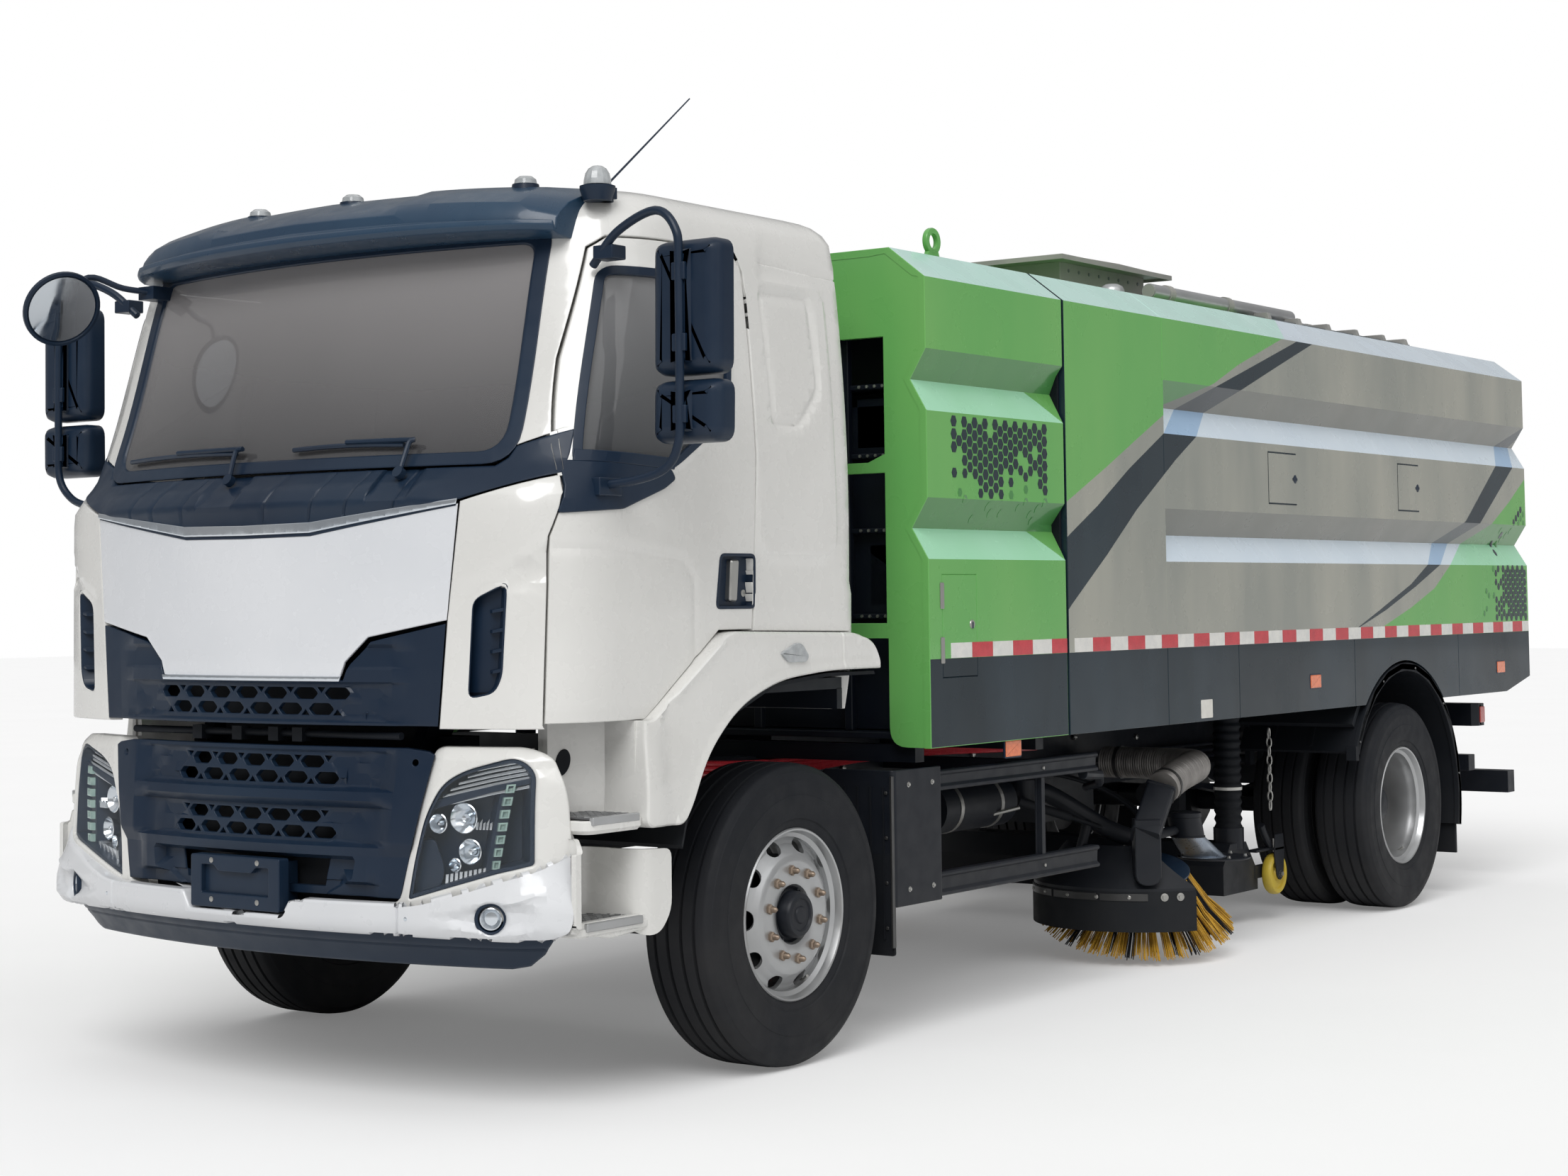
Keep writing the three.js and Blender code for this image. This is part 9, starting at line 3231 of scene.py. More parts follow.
@dataclass
class SideGuard:
    """Side guard: folded front panel, two lipped rails, a post and the mud flap.

    Attributes:
        side: Side of the truck that it hangs on.
        front: y where its rails start.
        rear: y where its rails end.
        rails: Lower and upper edge of each rail.
    """

    side: Side
    front: float = 0.915
    rear: float = 2.135
    rails: tuple[Point2, ...] = ((0.868, 0.944), (0.482, 0.570))

    def build(self) -> None:
        """Builds the guard's pieces."""
        word = self.side.word
        shape = Shape()
        fold = rounded([(0.895, 0.600), (1.196, 0.600), (1.196, 0.925), (1.150, 0.925), (1.150, 0.905), (1.186, 0.905),
                        (1.186, 0.612), (0.895, 0.612)], [0, 0.022, 0.012, 0, 0, 0.006, 0.012, 0], 5)
        shape.stack(fold, on_top, [(0.472, -0.002), (0.476, 0), (0.956, 0), (0.960, -0.002)])
        for low, high in self.rails:
            section = [(1.150, high), (1.184, high), (1.190, high - 0.006), (1.190, high - 0.014),
                       (1.180, high - 0.022), (1.178, low + 0.024), (1.190, low + 0.014), (1.190, low + 0.004),
                       (1.184, low), (1.150, low), (1.150, low + 0.004), (1.180, low + 0.004), (1.184, low + 0.012),
                       (1.172, low + 0.024), (1.172, high - 0.020), (1.184, high - 0.010), (1.180, high - 0.004),
                       (1.150, high - 0.004)]
            shape.stack(section, on_front, [(-self.rear, 0), (-self.front, 0)])
        shape.block((1.155, 1.692, 0.560), (1.178, 1.718, 0.880)).block((1.150, 1.686, 0.560), (1.157, 1.724, 0.880))
        for y in (0.66, 1.70):
            shape.block((0.432, y, 0.884), (1.160, y + 0.045, 0.936))
        gusset = [Vector((1.165, 2.05, 0.860)), Vector((1.158, 2.20, 0.848)), Vector((1.05, 2.40, 0.800)),
                  Vector((0.93, 2.50, 0.770))]
        shape.tube(gusset, lambda run: 0.022 - 0.010 * run, 10)
        Piece(f"guard_rails_{word}", "chassis", "chassis_black", (BLACK,), (f"side_guard_{word}",), bevel=0.0012).make(
            shape.on(self.side))
        flap = Shape()
        edge = [(0.880, 0.300), (1.190, 0.300), (1.190, 0.955), (0.880, 0.955)]
        flap.sheet([rounded(edge, 0.012, 3)], lambda u, v, w: Vector((u, 0.600 - w + 0.006 * math.sin(v * 9), v)),
                   -0.002, -0.011, (0.06, 0.06), 0.0015)
        for k in range(5):
            flap.block((0.93 + 0.055 * k, 0.594, 0.36), (0.936 + 0.055 * k, 0.600, 0.90))
        Piece(f"front_flap_{word}", "chassis", "black_rubber", (RUBBER,)).make(flap.on(self.side))
        strip = Shape().block((1.184, 0.592, 0.330), (1.192, 0.612, 0.94))
        for z in (0.40, 0.56, 0.72, 0.88):
            strip.lathe([(0, 0), (0.008, 0), (0.007, 0.005), (0, 0.006)], Vector((1.165, 0.598, z)), AHEAD, 6)
        Piece(f"flap_strip_{word}", "chassis", "chassis_black", (CLAMP,), bevel=0.001).make(strip.on(self.side))
        bolts = Shape()
        for y, z in ((0.70, 0.905), (0.86, 0.905), (0.70, 0.53), (0.86, 0.53)):
            bolts.lathe([(0, -0.002), (0.010, -0.002), (0.010, 0.001), (0.0065, 0.0015), (0.006, 0.006), (0, 0.006)],
                        Vector((1.1955, y, z)), LEFT, 12)
        for z in (0.526, 0.905):
            bolts.lathe([(0, -0.002), (0.008, -0.002), (0.007, 0.005), (0, 0.005)], Vector((1.179, 1.705, z)), LEFT, 6)
        Piece(f"guard_bolts_{word}", "chassis", "wheel_silver", (BOLT,)).make(bolts.on(self.side))


@dataclass
class Brush:
    """Side brush with its arm, dust skirt, hood, duct and bristles.

    Attributes:
        side: Side of the truck that it swings out on.
        skirt_radius: Radius of the dust skirt.
        fold: Height at which the shroud folds inwards.
        taper: How far its cone runs inwards.
        cone: Height of the cone.
        sweep: Angles at which the shroud starts and ends, in hundreds of degrees.
        rubber: Lower and upper edge of the rubber skirt.
    """

    side: Side
    skirt_radius: float = 0.448
    fold: float = 0.332
    taper: float = 0.148
    cone: float = 0.168
    sweep: Point2 = (-1.50, -0.28)
    rubber: Point2 = (0.150, 0.318)

    def build(self) -> None:
        """Builds the brush's pieces."""
        self.carrier()
        self.skirt()
        self.hood()
        self.bristles()

    def skirt(self) -> None:
        """Steel shroud over a rubber skirt, held by a clamp strip and round bolts."""
        word, body = self.side.word, f"brush_carrier_{self.side.word}"

        def place(u: float, v: float, w: float) -> Vector:
            """Point of the shroud and the rubber skirt, w outside it.

            Args:
                u: Angle about the brush, in hundreds of degrees.
                v: Height.
                w: Distance outside it.

            Returns:
                The point, in the axle frame.
            """
            angle, rise = math.radians(u * 100), v
            radius = self.skirt_radius
            if rise >= self.fold:
                radius -= self.taper * (rise - self.fold) / self.cone
            return Vector((BRUSH_FOOT.x + (radius + w) * math.cos(angle),
                           BRUSH_FOOT.y + (radius + w) * math.sin(angle), rise))

        first, last = self.sweep
        low, high = self.rubber
        plate = [(first, 0.285), (last, 0.285), (last, self.fold), (-0.52, 0.500), (first, 0.500)]
        shape = Shape().sheet([rounded(plate, [0, 0.01, 0.03, 0.04, 0], 5)], place, 0.0, -0.006, (0.05, 0.05), 0.0008,
                              lines=[[(first, self.fold), (last, self.fold)]])
        Piece(f"brush_shroud_{word}", body, "chassis_black", (BLACK,),
              (f"brush_arm_{word}",)).make(shape.on(self.side))
        rubber = Shape().sheet([[(first, low), (last, low), (last, high), (first, high)]], place, 0.005, 0.0,
                               (0.05, 0.06), 0.0015)
        Piece(f"brush_skirt_{word}", body, "black_rubber", (RUBBER,)).make(rubber.on(self.side))
        strip = Shape()
        for start, end in ((-1.44, -1.15), (-1.13, -0.84), (-0.82, -0.56)):
            strip.sheet([[(start, 0.282), (end, 0.282), (end, 0.312), (start, 0.312)]], place, 0.0085, 0.004,
                        (0.03, 0.1), 0.001)
        Piece(f"skirt_clamp_{word}", body, "chassis_black", (CLAMP,)).make(strip.on(self.side))
        bolts, bolt_height = Shape(), 0.297
        for turn, big in ((-1.40, 0), (-1.21, 0), (-1.02, 0), (-0.84, 0), (-0.66, 0), (-0.47, 1), (-0.38, 1)):
            centre = place(turn, bolt_height, 0.007)
            out = centre - Vector((BRUSH_FOOT.x, BRUSH_FOOT.y, bolt_height))
            r = 0.017 if big else 0.009
            bolts.lathe([(0, -0.003), (r, -0.003), (r, 0.001), (r * 0.6, 0.0025), (r * 0.56, 0.007), (0, 0.008)],
                        centre, out.normalized(), 20)
        Piece(f"skirt_bolts_{word}", body, "wheel_silver", (BOLT,)).make(bolts.on(self.side))

    def carrier(self) -> None:
        """Arm, hydraulic motor, duct and its leaning throat."""
        word, body = self.side.word, f"brush_carrier_{self.side.word}"
        hub = BRUSH_PLATE + BRUSH_UP * 0.125
        shape = Shape().lathe([(0, 0.002), (0.108, 0.002), (0.110, 0.012), (0.074, 0.020), (0.072, 0.030),
                               (0.072, 0.080), (0.066, 0.084), (0.066, 0.135), (0.060, 0.150), (0, 0.150)],
                              BRUSH_PLATE, BRUSH_UP, 32)
        route = smooth_route([(0.560, 2.620, 0.720), (0.620, 2.710, 0.720), (0.811, 2.885, 0.566), tuple(hub)], 6)
        shape.tube(route, 0.040, 20)
        pivot = Vector((0.560, 2.620, 0.0))
        shape.lathe([(0.023, 0.681), (0.056, 0.681), (0.058, 0.686), (0.058, 0.779), (0.056, 0.784), (0.023, 0.784)],
                    pivot, UP, 32)
        shape.tube([Vector((0.770, 2.812, 0.600)), Vector((0.735, 2.800, 0.478))], 0.022, 14)
        shape.tube([BRUSH_PLATE + BRUSH_UP * 0.130, Vector((1.0, 3.30, 0.545))], 0.022, 14)
        across, out = Vector((0.808, 0.589, 0)), Vector((0.589, -0.808, 0))
        middle = Vector((1.100, 2.715, 0))
        panel = rounded([(-0.056, 0.348), (0.056, 0.348), (0.056, 0.628), (-0.056, 0.628)],
                        [0.054, 0.054, 0.004, 0.004], 8)
        shape.stack(panel, lambda u, v, w: middle + across * u + out * w + UP * v,
                    [(-0.044, -0.002), (-0.040, 0), (0.040, 0), (0.045, -0.004)])
        foot, top = Vector((1.100, 2.730, 0.590)), Vector((1.085, 2.880, 0.735))
        along = (top - foot).normalized()
        broad = across.cross(along).cross(along).normalized()
        deep = along.cross(broad)
        box = rounded([(-0.060, -0.050), (0.060, -0.050), (0.060, 0.050), (-0.060, 0.050)], 0.012, 4)
        shape.stack(box, lambda u, v, w: foot + broad * u + deep * v + along * w,
                    [(-0.055, 0), (0.196, 0), (0.200, 0.006), (0.208, 0.006), (0.208, -0.012), (0.12, -0.012)])
        Piece(f"brush_carrier_arm_{word}", body, "chassis_black", (BLACK,), bevel=0.0015).make(shape.on(self.side))
        ram = Shape().tube([Vector((0.60, 2.50, 0.70)), Vector((0.74, 2.70, 0.62))], 0.020, 14)
        ram.tube([Vector((0.73, 2.69, 0.626)), Vector((0.82, 2.83, 0.57))], 0.010, 12)
        for z in (0.02, 0.05):
            start = BRUSH_PLATE + BRUSH_UP * 0.12 + Vector((0.03, z, 0))
            ram.tube(smooth_route([tuple(start), (0.86, 3.05 + z, 0.62), (0.74, 2.98 + z, 0.72),
                                   (0.62, 2.86 + z, 0.78), (0.54, 2.75 + z, 0.80)], 5), 0.008, 10)
        Piece(f"brush_hydraulics_{word}", body, "black_rubber", (RUBBER,)).make(ram.on(self.side))

    def hood(self) -> None:
        """Oblique hood on a round plate with bolts."""
        word, body = self.side.word, f"brush_carrier_{self.side.word}"
        foot, waist = Vector((1.004, 3.445, 0.400)), Vector((1.000, 3.300, 0.502))
        rings = []
        for centre, radius in ((foot - UP * 0.002, 0.102), (foot + UP * 0.003, 0.102), (foot + UP * 0.004, 0.095),
                               (waist, 0.075)):
            rings.append(circle(centre, radius))
        cone = Shape().rings(rings, True)
        Piece(f"hood_cone_{word}", body, "silver_paint", (CONE,)).make(cone.on(self.side))
        neck = Shape()
        rings = []
        for rise, radius in ((-0.002, 0.078), (0.004, 0.079), (0.006, 0.075), (0.088, 0.075), (0.090, 0.080),
                             (0.108, 0.080), (0.112, 0.074)):
            centre = waist + Vector((0, -0.35 * rise, rise))
            rings.append(circle(centre, radius))
        neck.rings(rings, True)
        plate = Vector((1.030, 3.500, 0.391))
        neck.lathe([(0, 0), (0.160, 0), (0.165, 0.003), (0.165, 0.008), (0.160, 0.010), (0, 0.010)], plate, UP, 56)
        Piece(f"hood_plate_{word}", body, "chassis_black", (BLACK,)).make(neck.on(self.side))
        bolts = Shape()
        for k in range(6):
            angle = math.tau * (k + 0.4) / 6
            bolts.lathe([(0, 0), (0.011, 0), (0.011, 0.002), (0.0075, 0.003), (0.007, 0.010), (0, 0.011)],
                        plate + Vector((0.138 * math.cos(angle), 0.138 * math.sin(angle), 0.010)), UP, 6)
        Piece(f"hood_bolts_{word}", body, "wheel_silver", (BOLT,)).make(bolts.on(self.side))

    def bristles(self) -> None:
        """Turning plate and rows of bristle tufts."""
        word, body = self.side.word, f"side_brush_{self.side.word}"
        shape = Shape().lathe([(0, -0.014), (0.222, -0.014), (0.225, -0.010), (0.225, -0.003), (0.220, 0), (0.13, 0),
                               (0.12, -0.004), (0, -0.004)], BRUSH_PLATE, BRUSH_UP, 56)
        Piece(f"brush_plate_{word}", body, "dark_plastic", (PLASTIC,)).make(shape.on(self.side))
        chance = random.Random(11)
        side_on = BRUSH_UP.cross(Vector((0, 1, 0))).normalized()
        ahead = side_on.cross(BRUSH_UP)
        pale, dark = Shape(), Shape()

        def at(radius: float, angle: float, rise: float) -> Vector:
            """Point at a radius and angle about the tilted axis of the brush."""
            return (BRUSH_PLATE + side_on * radius * math.cos(angle) + ahead * radius * math.sin(angle)
                    + BRUSH_UP * rise)

        for ring, (root, tip, drop, count) in enumerate(((0.205, 0.424, -0.262, 44), (0.175, 0.385, -0.264, 38),
                                                         (0.145, 0.345, -0.262, 30))):
            for k in range(count):
                turn = math.tau * (k + 0.5 * (ring % 2)) / count
                shade = pale if (k * 7 + ring) % 5 else dark
                for _ in range(9):
                    lean, spread = chance.gauss(0, 0.012), chance.gauss(0, 0.030)
                    start = at(root + chance.gauss(0, 0.006), turn + lean, -0.010)
                    reach = tip - abs(chance.gauss(0, 0.012))
                    end = at(reach, turn + spread, drop + abs(chance.gauss(0, 0.010)))
                    middle = (start + end) / 2 + BRUSH_UP * -0.022 - (end - start).cross(BRUSH_UP).normalized() * 0.004
                    shade.tube([start, middle, end], lambda run: 0.0024 - 0.0007 * run, 4)
        Piece(f"bristles_pale_{word}", body, "bristle", (BRISTLE,), (f"brush_{word}",)).make(pale.on(self.side))
        Piece(f"bristles_dark_{word}", body, "bristle", (RUBBER,)).make(dark.on(self.side))


def corrugated(shape: Shape, route: list[Vector], radius: float, pitch: float, depth: float, mark: int = 0) -> None:
    """Hose with rings along a route.

    Args:
        shape: Where it is added.
        route: Points of its middle line.
        radius: Radius over the rings.
        pitch: Spacing of the rings.
        depth: Depth between the rings.
        mark: Slot of its finish.
    """
    length = sum((b - a).length for a, b in zip(route, route[1:]))
    count = max(4, int(length / pitch))
    fine = []
    for k in range(count * 4 + 1):
        want, run = length * k / (count * 4), 0.0
        for a, b in zip(route, route[1:]):
            step = (b - a).length
            if run + step >= want - 1e-9:
                fine.append(a.lerp(b, min(1.0, max(0.0, (want - run) / step))))
                break
            run += step

    def wave(run: float) -> float:
        """Radius at a share of the length."""
        return radius - depth * 0.5 * (1 - math.cos(run * count * math.tau))

    shape.tube(fine, wave, 24, mark)


def build_dust_hose() -> None:
    """Elbow hose from the left brush's duct to the suction line."""
    route = smooth_route([(1.085, 2.905, 0.745), (1.080, 3.060, 0.788), (1.060, 3.240, 0.812), (1.010, 3.345, 0.815),
                          (0.900, 3.392, 0.815), (0.780, 3.400, 0.815), (0.540, 3.400, 0.815)], 8)
    hose = Shape()
    corrugated(hose, route, 0.072, 0.011, 0.004)
    Piece("elbow_hose", "brush_carrier_left", "duct_hose", (ELBOW,), ("dust_hose",), sharp=60).make(hose)
    bands = Shape()
    for spot, ahead in (((1.083, 2.945, 0.757), (0, 0.97, 0.25)), ((0.62, 3.400, 0.815), (1, 0, 0))):
        bands.lathe([(0.066, -0.008), (0.0745, -0.008), (0.0745, 0.008), (0.066, 0.008)], Vector(spot),
                    Vector(ahead).normalized(), 32)
    Piece("hose_bands", "brush_carrier_left", "wheel_silver", (CLAMP,)).make(bands)


@dataclass
class Nozzle:
    """Suction nozzle with its hose, chains, brackets and yellow casters.

    Attributes:
        hose: x and y of the suction hose.
        hose_radius: Radius over its rings.
        hub: Centre of the left caster's wheel.
        links: Links of each lift chain.
        link_step: Spacing of the links.
    """

    hose: Point2 = (0.800, 4.130)
    hose_radius: float = 0.067
    hub: tuple[float, float, float] = (0.892, 4.430, 0.230)
    links: int = 9
    link_step: float = 0.043

    def build(self) -> None:
        """Builds the nozzle's added pieces."""
        hose = Shape()
        x, y = self.hose
        corrugated(hose, smooth_route([(x, y, 0.4706), (x, y, 0.80), (x, y, 1.1245)], 6), self.hose_radius, 0.026,
                   0.008)
        Piece("suction_hose_form", "nozzle", "black_rubber", (RUBBER,), ("suction_hose",), sharp=60).make(hose)
        band = Shape().lathe([(0.064, -0.007), (0.0685, -0.007), (0.0685, 0.007), (0.064, 0.007)],
                             Vector((x, y, 0.655)), UP, 40)
        Piece("hose_white_band", "nozzle", "white_paint", (TAPE_WHITE,)).make(band)
        for side in Side:
            word = side.word
            centre = Vector(self.hub)
            wheel = Shape().lathe([(0.0146, -0.022), (0.030, -0.023), (0.034, -0.012), (0.072, -0.012),
                                   (0.074, -0.022), (0.092, -0.023), (0.099, -0.014), (0.100, 0), (0.099, 0.014),
                                   (0.092, 0.023), (0.074, 0.022), (0.072, 0.012), (0.034, 0.012), (0.030, 0.023),
                                   (0.0146, 0.022)],
                                  centre, LEFT, 48)
            Piece(f"caster_form_{word}", f"nozzle_caster_{word}", "caster_yellow", (YELLOW,),
                  (f"nozzle_wheel_{word}",)).make(wheel.on(side))
            fork = Shape().stack([(4.395, 0.225), (4.410, 0.208), (4.430, 0.200), (4.450, 0.208), (4.465, 0.225),
                                  (4.480, 0.335), (4.470, 0.420), (4.380, 0.420), (4.370, 0.335)], on_side,
                                 [(0.918, 0), (0.924, 0)])
            fork.block((0.850, 4.375, 0.345), (0.924, 4.475, 0.357)).block((0.852, 4.22, 0.345), (0.900, 4.40, 0.357))
            fork.tube([Vector((0.888, 4.40, 0.35)), Vector((0.888, 4.32, 0.44)), Vector((0.888, 4.30, 0.47))], 0.018,
                      12)
            Piece(f"caster_fork_{word}", "nozzle", "chassis_black", (BLACK,), bevel=0.001).make(fork.on(side))
            bolts = Shape().lathe([(0, 0), (0.016, 0), (0.016, 0.004), (0.011, 0.005), (0.011, 0.014), (0, 0.014)],
                                  Vector((0.924, 4.430, 0.230)), LEFT, 6)
            for y in (4.40, 4.455):
                bolts.tube([Vector((0.905, y, 0.335)), Vector((0.905, y, 0.400))], 0.006, 8)
            Piece(f"caster_bolts_{word}", "nozzle", "wheel_silver", (BOLT,)).make(bolts.on(side))
            chain = Shape()
            for k in range(self.links):
                middle = Vector((0.900, 4.385, 0.905 - self.link_step * k))
                turned = k % 2
                ring = [middle + Vector(((0.012 * math.cos(a) if turned else 0.0),
                                         (0.0 if turned else 0.012 * math.cos(a)),
                                         0.026 * math.sin(a))) for a in (math.tau * i / 10 for i in range(11))]
                chain.tube(ring, 0.0042, 6)
            Piece(f"lift_chain_{word}", "nozzle", "rod_chrome", (BOLT,)).make(chain.on(side))


@dataclass
class RearEnd:
    """Mudguards over the rear wheels, their flaps, and the lamps.

    Attributes:
        axle: y and height of the rear axle.
        guard: Outer and inner radius of the mudguard.
        bolt_ring: Radius on which its bolts sit.
        lamp: Lower and upper edge of the tail lamps.
    """

    axle: Point2 = (REAR_AXLE, 0.512)
    guard: Point2 = (0.712, 0.686)
    bolt_ring: float = 0.692
    lamp: Point2 = (0.872, 0.958)

    def build(self) -> None:
        """Builds the rear's pieces."""
        centre = self.axle
        shape = Shape()
        outer, inner = self.guard
        ring = arc(centre, outer, -12, 155, 40) + arc(centre, inner, 155, -12, 40)
        shape.stack(ring, on_side, [(0.640, 0), (1.238, 0), (1.250, -0.001)])
        lip = arc(centre, 0.713, -12, 155, 40) + arc(centre, 0.672, 155, -12, 40)
        shape.stack(lip, on_side, [(1.228, -0.001), (1.231, 0), (1.252, 0), (1.254, -0.002)])
        for x in (0.80, 1.00):
            rib = arc(centre, 0.7155, -10, 153, 40) + arc(centre, 0.700, 153, -10, 40)
            shape.stack(rib, on_side, [(x, 0), (x + 0.02, 0)])
        flap = Shape().block((0.652, 5.944, 0.216), (1.218, 5.953, 0.562))
        flap.block((0.66, 5.938, 0.50), (1.21, 5.960, 0.55))
        shape.join(flap)
        for s in (-1, 1):
            at = REAR_AXLE + s * 0.42
            shape.block((0.640, at - 0.025, 0.74), (0.668, at + 0.025, 0.98))
        shape.block((1.205, 4.593, 0.770), (1.256, 4.628, 0.840))
        Piece("mudguard_form", "chassis", "black_rubber", (RUBBER,), bevel=0.001).make(shape.both())
        bolts = Shape()
        for degrees in (10, 45, 80, 115, 150):
            angle = math.radians(degrees)
            bolts.lathe([(0, 0), (0.007, 0), (0.006, 0.004), (0, 0.005)],
                        Vector((1.253, centre[0] + self.bolt_ring * math.cos(angle),
                                centre[1] + self.bolt_ring * math.sin(angle))), LEFT, 8)
        Piece("mudguard_bolts", "chassis", "wheel_silver", (CLAMP,)).make(bolts.both())
        lamp = Shape()
        plan = rounded([(0.86, 6.462), (1.165, 6.462), (1.200, 6.430), (1.200, 6.385), (1.165, 6.352), (0.86, 6.352)],
                       0.012, 3)
        lamp.stack(plan[::-1], on_top, [(0.857, -0.003), (0.861, 0), (0.969, 0), (0.973, -0.003)])
        Piece("lamp_housing", "chassis", "dark_plastic", (PLASTIC,)).make(lamp.both())
        red = Shape()
        low, high = self.lamp
        red.stack(rounded([(6.395, low), (6.462, low), (6.462, high), (6.395, high)], 0.008, 3), on_side,
                  [(1.190, 0), (1.203, 0), (1.206, -0.004)])
        for x0, x1, mark in ((0.875, 0.97, 0), (0.98, 1.07, 1), (1.08, 1.165, 0)):
            red.stack(rounded([(-x0, high), (-x1, high), (-x1, low), (-x0, low)], 0.008, 3),
                      lambda u, v, w: Vector((-u, w, v)), [(6.455, 0), (6.466, 0), (6.469, -0.004)], mark)
        Piece("tail_lamps", "chassis", "lamp_glass", (LAMP_RED, AMBER)).make(red.both())
        plate = Shape().block((-0.22, 6.898, 0.455), (0.22, 6.906, 0.575))
        Piece("rear_blank_plate", "chassis", "white_paint", (BLANK,), bevel=0.002).make(plate)


def build_lines() -> None:
    """Cables, brake pipes, air tanks and clips of the chassis that show from the side."""
    red, black, metal = Shape(), Shape(), Shape()
    for k in range(4):
        y = 0.66 + 0.03 * k
        red.tube(smooth_route([(0.46, -0.62 + 0.02 * k, 0.93 + 0.02 * k), (0.50, 0.0, 0.965 + 0.012 * k),
                               (0.47, y, 0.90 + 0.02 * k), (0.45, 1.7, 0.93 + 0.01 * k), (0.46, 2.9, 0.90)], 5),
                 0.010, 8)
    for k in range(3):
        black.tube(smooth_route([(0.455, -0.6, 0.76 + 0.03 * k), (0.475, 0.9, 0.78 + 0.03 * k),
                                 (0.46, 2.2, 0.75 + 0.03 * k), (0.475, 3.6, 0.78 + 0.03 * k),
                                 (0.46, 6.2, 0.76 + 0.03 * k)], 6), 0.009, 8)
    black.tube([Vector((0.62, 0.98, 0.70)), Vector((0.62, 1.02, 0.70)), Vector((0.62, 1.60, 0.70))], 0.125, 28)
    black.tube([Vector((0.62, 1.72, 0.72)), Vector((0.62, 2.28, 0.72))], 0.105, 28)
    for y in (1.10, 1.48, 1.84, 2.16):
        band, height = (0.1275, 0.70) if y < 1.7 else (0.1075, 0.72)
        metal.lathe([(0.10, -0.012), (band, -0.012), (band, 0.012), (0.10, 0.012)], Vector((0.62, y, height)),
                    Vector((0, 1, 0)), 32)
    for y, z in ((1.0, 0.94), (1.4, 0.90), (1.9, 0.93), (2.4, 0.90), (3.3, 0.93), (3.9, 0.90)):
        metal.lathe([(0, 0), (0.013, 0), (0.013, 0.012), (0.008, 0.014), (0, 0.020)], Vector((0.432, y, z)), LEFT, 8)
    metal.tube(smooth_route([(0.56, 1.95, 0.62), (0.66, 2.05, 0.66), (0.78, 2.20, 0.70)], 4), 0.008, 8)
    Piece("red_cables", "chassis", "lamp_glass", (TAPE_RED,)).make(red.both())
    Piece("air_tanks", "chassis", "chassis_black", (BLACK,)).make(black.both())
    Piece("line_clips", "chassis", "wheel_silver", (BOLT,)).make(metal.both())


def dress_frame(frame: dict) -> None:
    """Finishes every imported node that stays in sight.

    Args:
        frame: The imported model.
    """
    dress(frame, ("chassis_frame", "front_axle", "rear_axle", "knuckle_left", "knuckle_right", "suction_nozzle",
                  "tip_barrels", "rear_underrun"), BLACK, 0.003)
    dress(frame, ("rear_mudguards",), RUBBER, 0.002)
    dress(frame, ("cab_interior",), TRIM, 0.012)
    dress(frame, ("tip_rods",), CHROME, 0.002)


# --------------------------------------------------------------------- stage


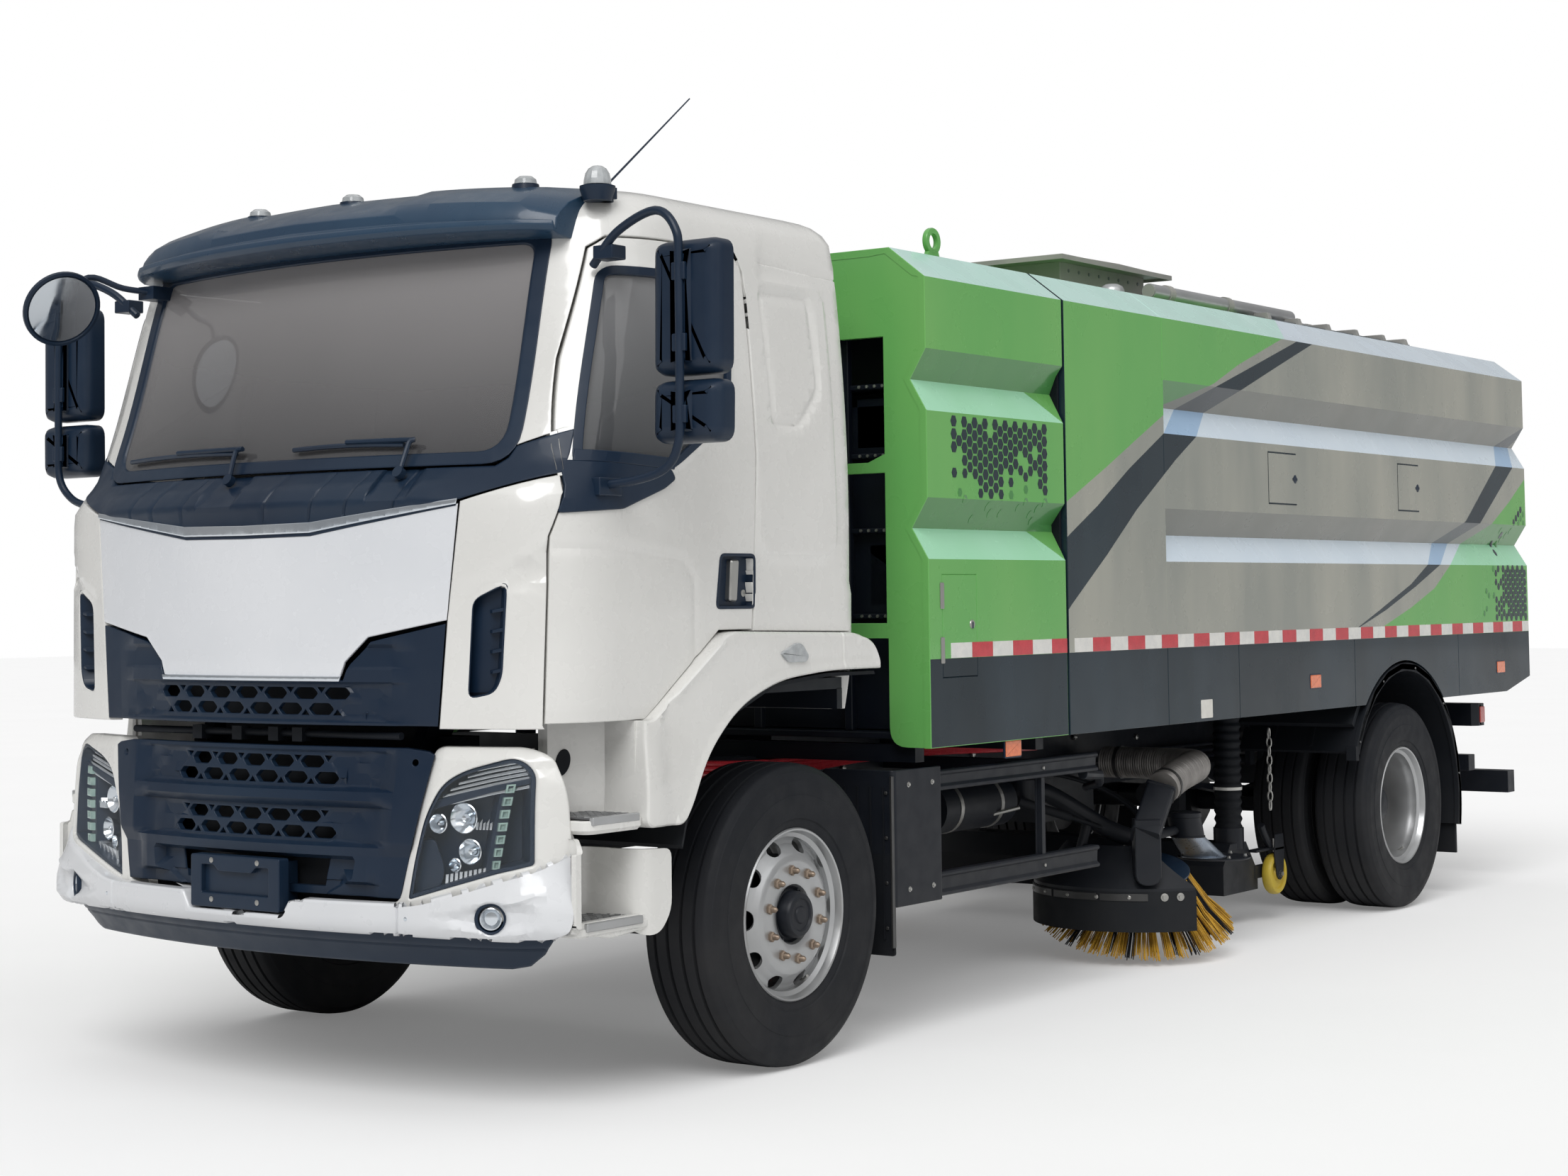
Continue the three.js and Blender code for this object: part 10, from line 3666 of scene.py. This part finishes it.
@dataclass(frozen=True)
class Stage:
    """Floor, light and camera.

    Attributes:
        eye: Where the camera stands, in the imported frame.
        yaw: Its heading, turned from +Y towards -X when negative.
        pitch: Its tilt above the horizon.
        roll: Its turn about its own line of sight.
        lens: Focal length in millimetres.
        shift: Shift of the picture.
    """

    eye: Vector = Vector((6.269, -10.005, 1.580))
    yaw: float = -0.6299
    pitch: float = 0.0584
    roll: float = -0.0111
    lens: float = 59.23
    shift: Point2 = (0.0213, -0.0891)

    def build(self) -> None:
        """Sets up the view transform, camera, lights, world and floor."""
        bpy.context.scene.view_settings.view_transform = "Standard"
        self.camera()
        self.world()
        self.lamps()
        self.floor()

    def camera(self) -> None:
        """Makes the camera at the eye."""
        ahead = Vector((math.sin(self.yaw) * math.cos(self.pitch), math.cos(self.yaw) * math.cos(self.pitch),
                        math.sin(self.pitch)))
        level = Vector((math.cos(self.yaw), -math.sin(self.yaw), 0))
        up = level.cross(ahead)
        across = level * math.cos(self.roll) + up * math.sin(self.roll)
        over = up * math.cos(self.roll) - level * math.sin(self.roll)
        data = bpy.data.cameras.new("camera")
        data.lens, data.sensor_width = self.lens, 36.0
        data.shift_x, data.shift_y = self.shift
        data.clip_start, data.clip_end = 0.1, 400.0
        camera = bpy.data.objects.new("camera", data)
        bpy.context.scene.collection.objects.link(camera)
        turn = Matrix((across, over, -ahead)).transposed().to_4x4()
        camera.matrix_world = Matrix.Translation(self.eye) @ turn
        bpy.context.scene.camera = camera

    def world(self) -> None:
        """White surroundings for the eye and for reflections, softer as a light."""
        world = bpy.data.worlds.new("studio")
        bpy.context.scene.world = world
        world.use_nodes = True
        tree = world.node_tree
        light = tree.nodes["Background"]
        path = tree.nodes.new("ShaderNodeLightPath")
        seen = tree.nodes.new("ShaderNodeMath")
        seen.operation = "MAXIMUM"
        tree.links.new(path.outputs["Is Camera Ray"], seen.inputs[0])
        tree.links.new(path.outputs["Is Transmission Ray"], seen.inputs[1])
        level = tree.nodes.new("ShaderNodeMapRange")
        level.inputs["To Min"].default_value = 0.62
        level.inputs["To Max"].default_value = 1.0
        tree.links.new(seen.outputs[0], level.inputs["Value"])
        spot = tree.nodes.new("ShaderNodeTexCoord")
        parts = tree.nodes.new("ShaderNodeSeparateXYZ")
        tree.links.new(spot.outputs["Generated"], parts.inputs[0])
        ramp = tree.nodes.new("ShaderNodeValToRGB")
        ramp.color_ramp.elements[0].position, ramp.color_ramp.elements[0].color = 0.45, (0.50, 0.50, 0.50, 1)
        ramp.color_ramp.elements[1].position, ramp.color_ramp.elements[1].color = 0.75, (1, 1, 1, 1)
        tree.links.new(parts.outputs["Z"], ramp.inputs[0])
        blend = tree.nodes.new("ShaderNodeMix")
        blend.data_type = "RGBA"
        tree.links.new(seen.outputs[0], blend.inputs["Factor"])
        colours = [s for s in blend.inputs if s.type == "RGBA"]
        tree.links.new(ramp.outputs[0], colours[0])
        colours[1].default_value = (1, 1, 1, 1)
        tree.links.new([s for s in blend.outputs if s.type == "RGBA"][0], light.inputs["Color"])
        tree.links.new(level.outputs[0], light.inputs["Strength"])

    def lamps(self) -> None:
        """A broad sun over the front corner and a soft fill from the side."""
        for name, strength, angle, turn in (("key", 1.7, 35, (0.80, 0.0, 0.42)), ("fill", 0.5, 60, (0.95, 0.0, 1.35))):
            data = bpy.data.lights.new(name, "SUN")
            data.energy, data.angle = strength, math.radians(angle)
            lamp = bpy.data.objects.new(name, data)
            lamp.rotation_euler = turn
            bpy.context.scene.collection.objects.link(lamp)

    def floor(self) -> None:
        """Pale floor that fades into the white surroundings and keeps the shadow."""
        size = 60.0
        mesh = bpy.data.meshes.new("floor")
        mesh.from_pydata([(-size, -size, -0.002), (size, -size, -0.002), (size, size, -0.002), (-size, size, -0.002)],
                         [], [(0, 1, 2, 3)])
        floor = bpy.data.objects.new("floor", mesh)
        bpy.context.scene.collection.objects.link(floor)
        recipe = Recipe("floor_pale")
        recipe.steady(Roughness=0.9)
        recipe.feed(recipe.mix(recipe.noise(0.8, 4.0), (0.80, 0.80, 0.80), (0.84, 0.84, 0.84)), "Base Color")
        glow = recipe.add("ShaderNodeEmission")
        path = recipe.add("ShaderNodeLightPath")
        recipe.link(recipe.math("MULTIPLY", path.outputs["Is Camera Ray"], 0.16), glow.inputs["Strength"])
        total = recipe.add("ShaderNodeAddShader")
        output = recipe.tree.nodes["Material Output"]
        recipe.link(recipe.shader.outputs[0], total.inputs[0])
        recipe.link(glow.outputs[0], total.inputs[1])
        recipe.link(total.outputs[0], output.inputs["Surface"])
        mesh.materials.append(recipe.material)


# ---------------------------------------------------------------------- main


def main() -> None:
    """Builds the stage and dresses every sub-assembly in order."""
    logging.basicConfig(level=logging.INFO, format="%(message)s")
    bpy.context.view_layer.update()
    Stage().build()
    CabBody().build()
    KerbMirror().build()
    LowerFront().build()
    for side in Side:
        Door(side).build()
        Fender(side).build()
        Wheels(side).build()
        SideGuard(side).build()
        Brush(side).build()
    FrontModule().build()
    Hopper().build()
    TailDoor().build()
    build_dust_hose()
    Nozzle().build()
    RearEnd().build()
    build_lines()
    dress_frame(frame)


if __name__ == "__main__":
    main()
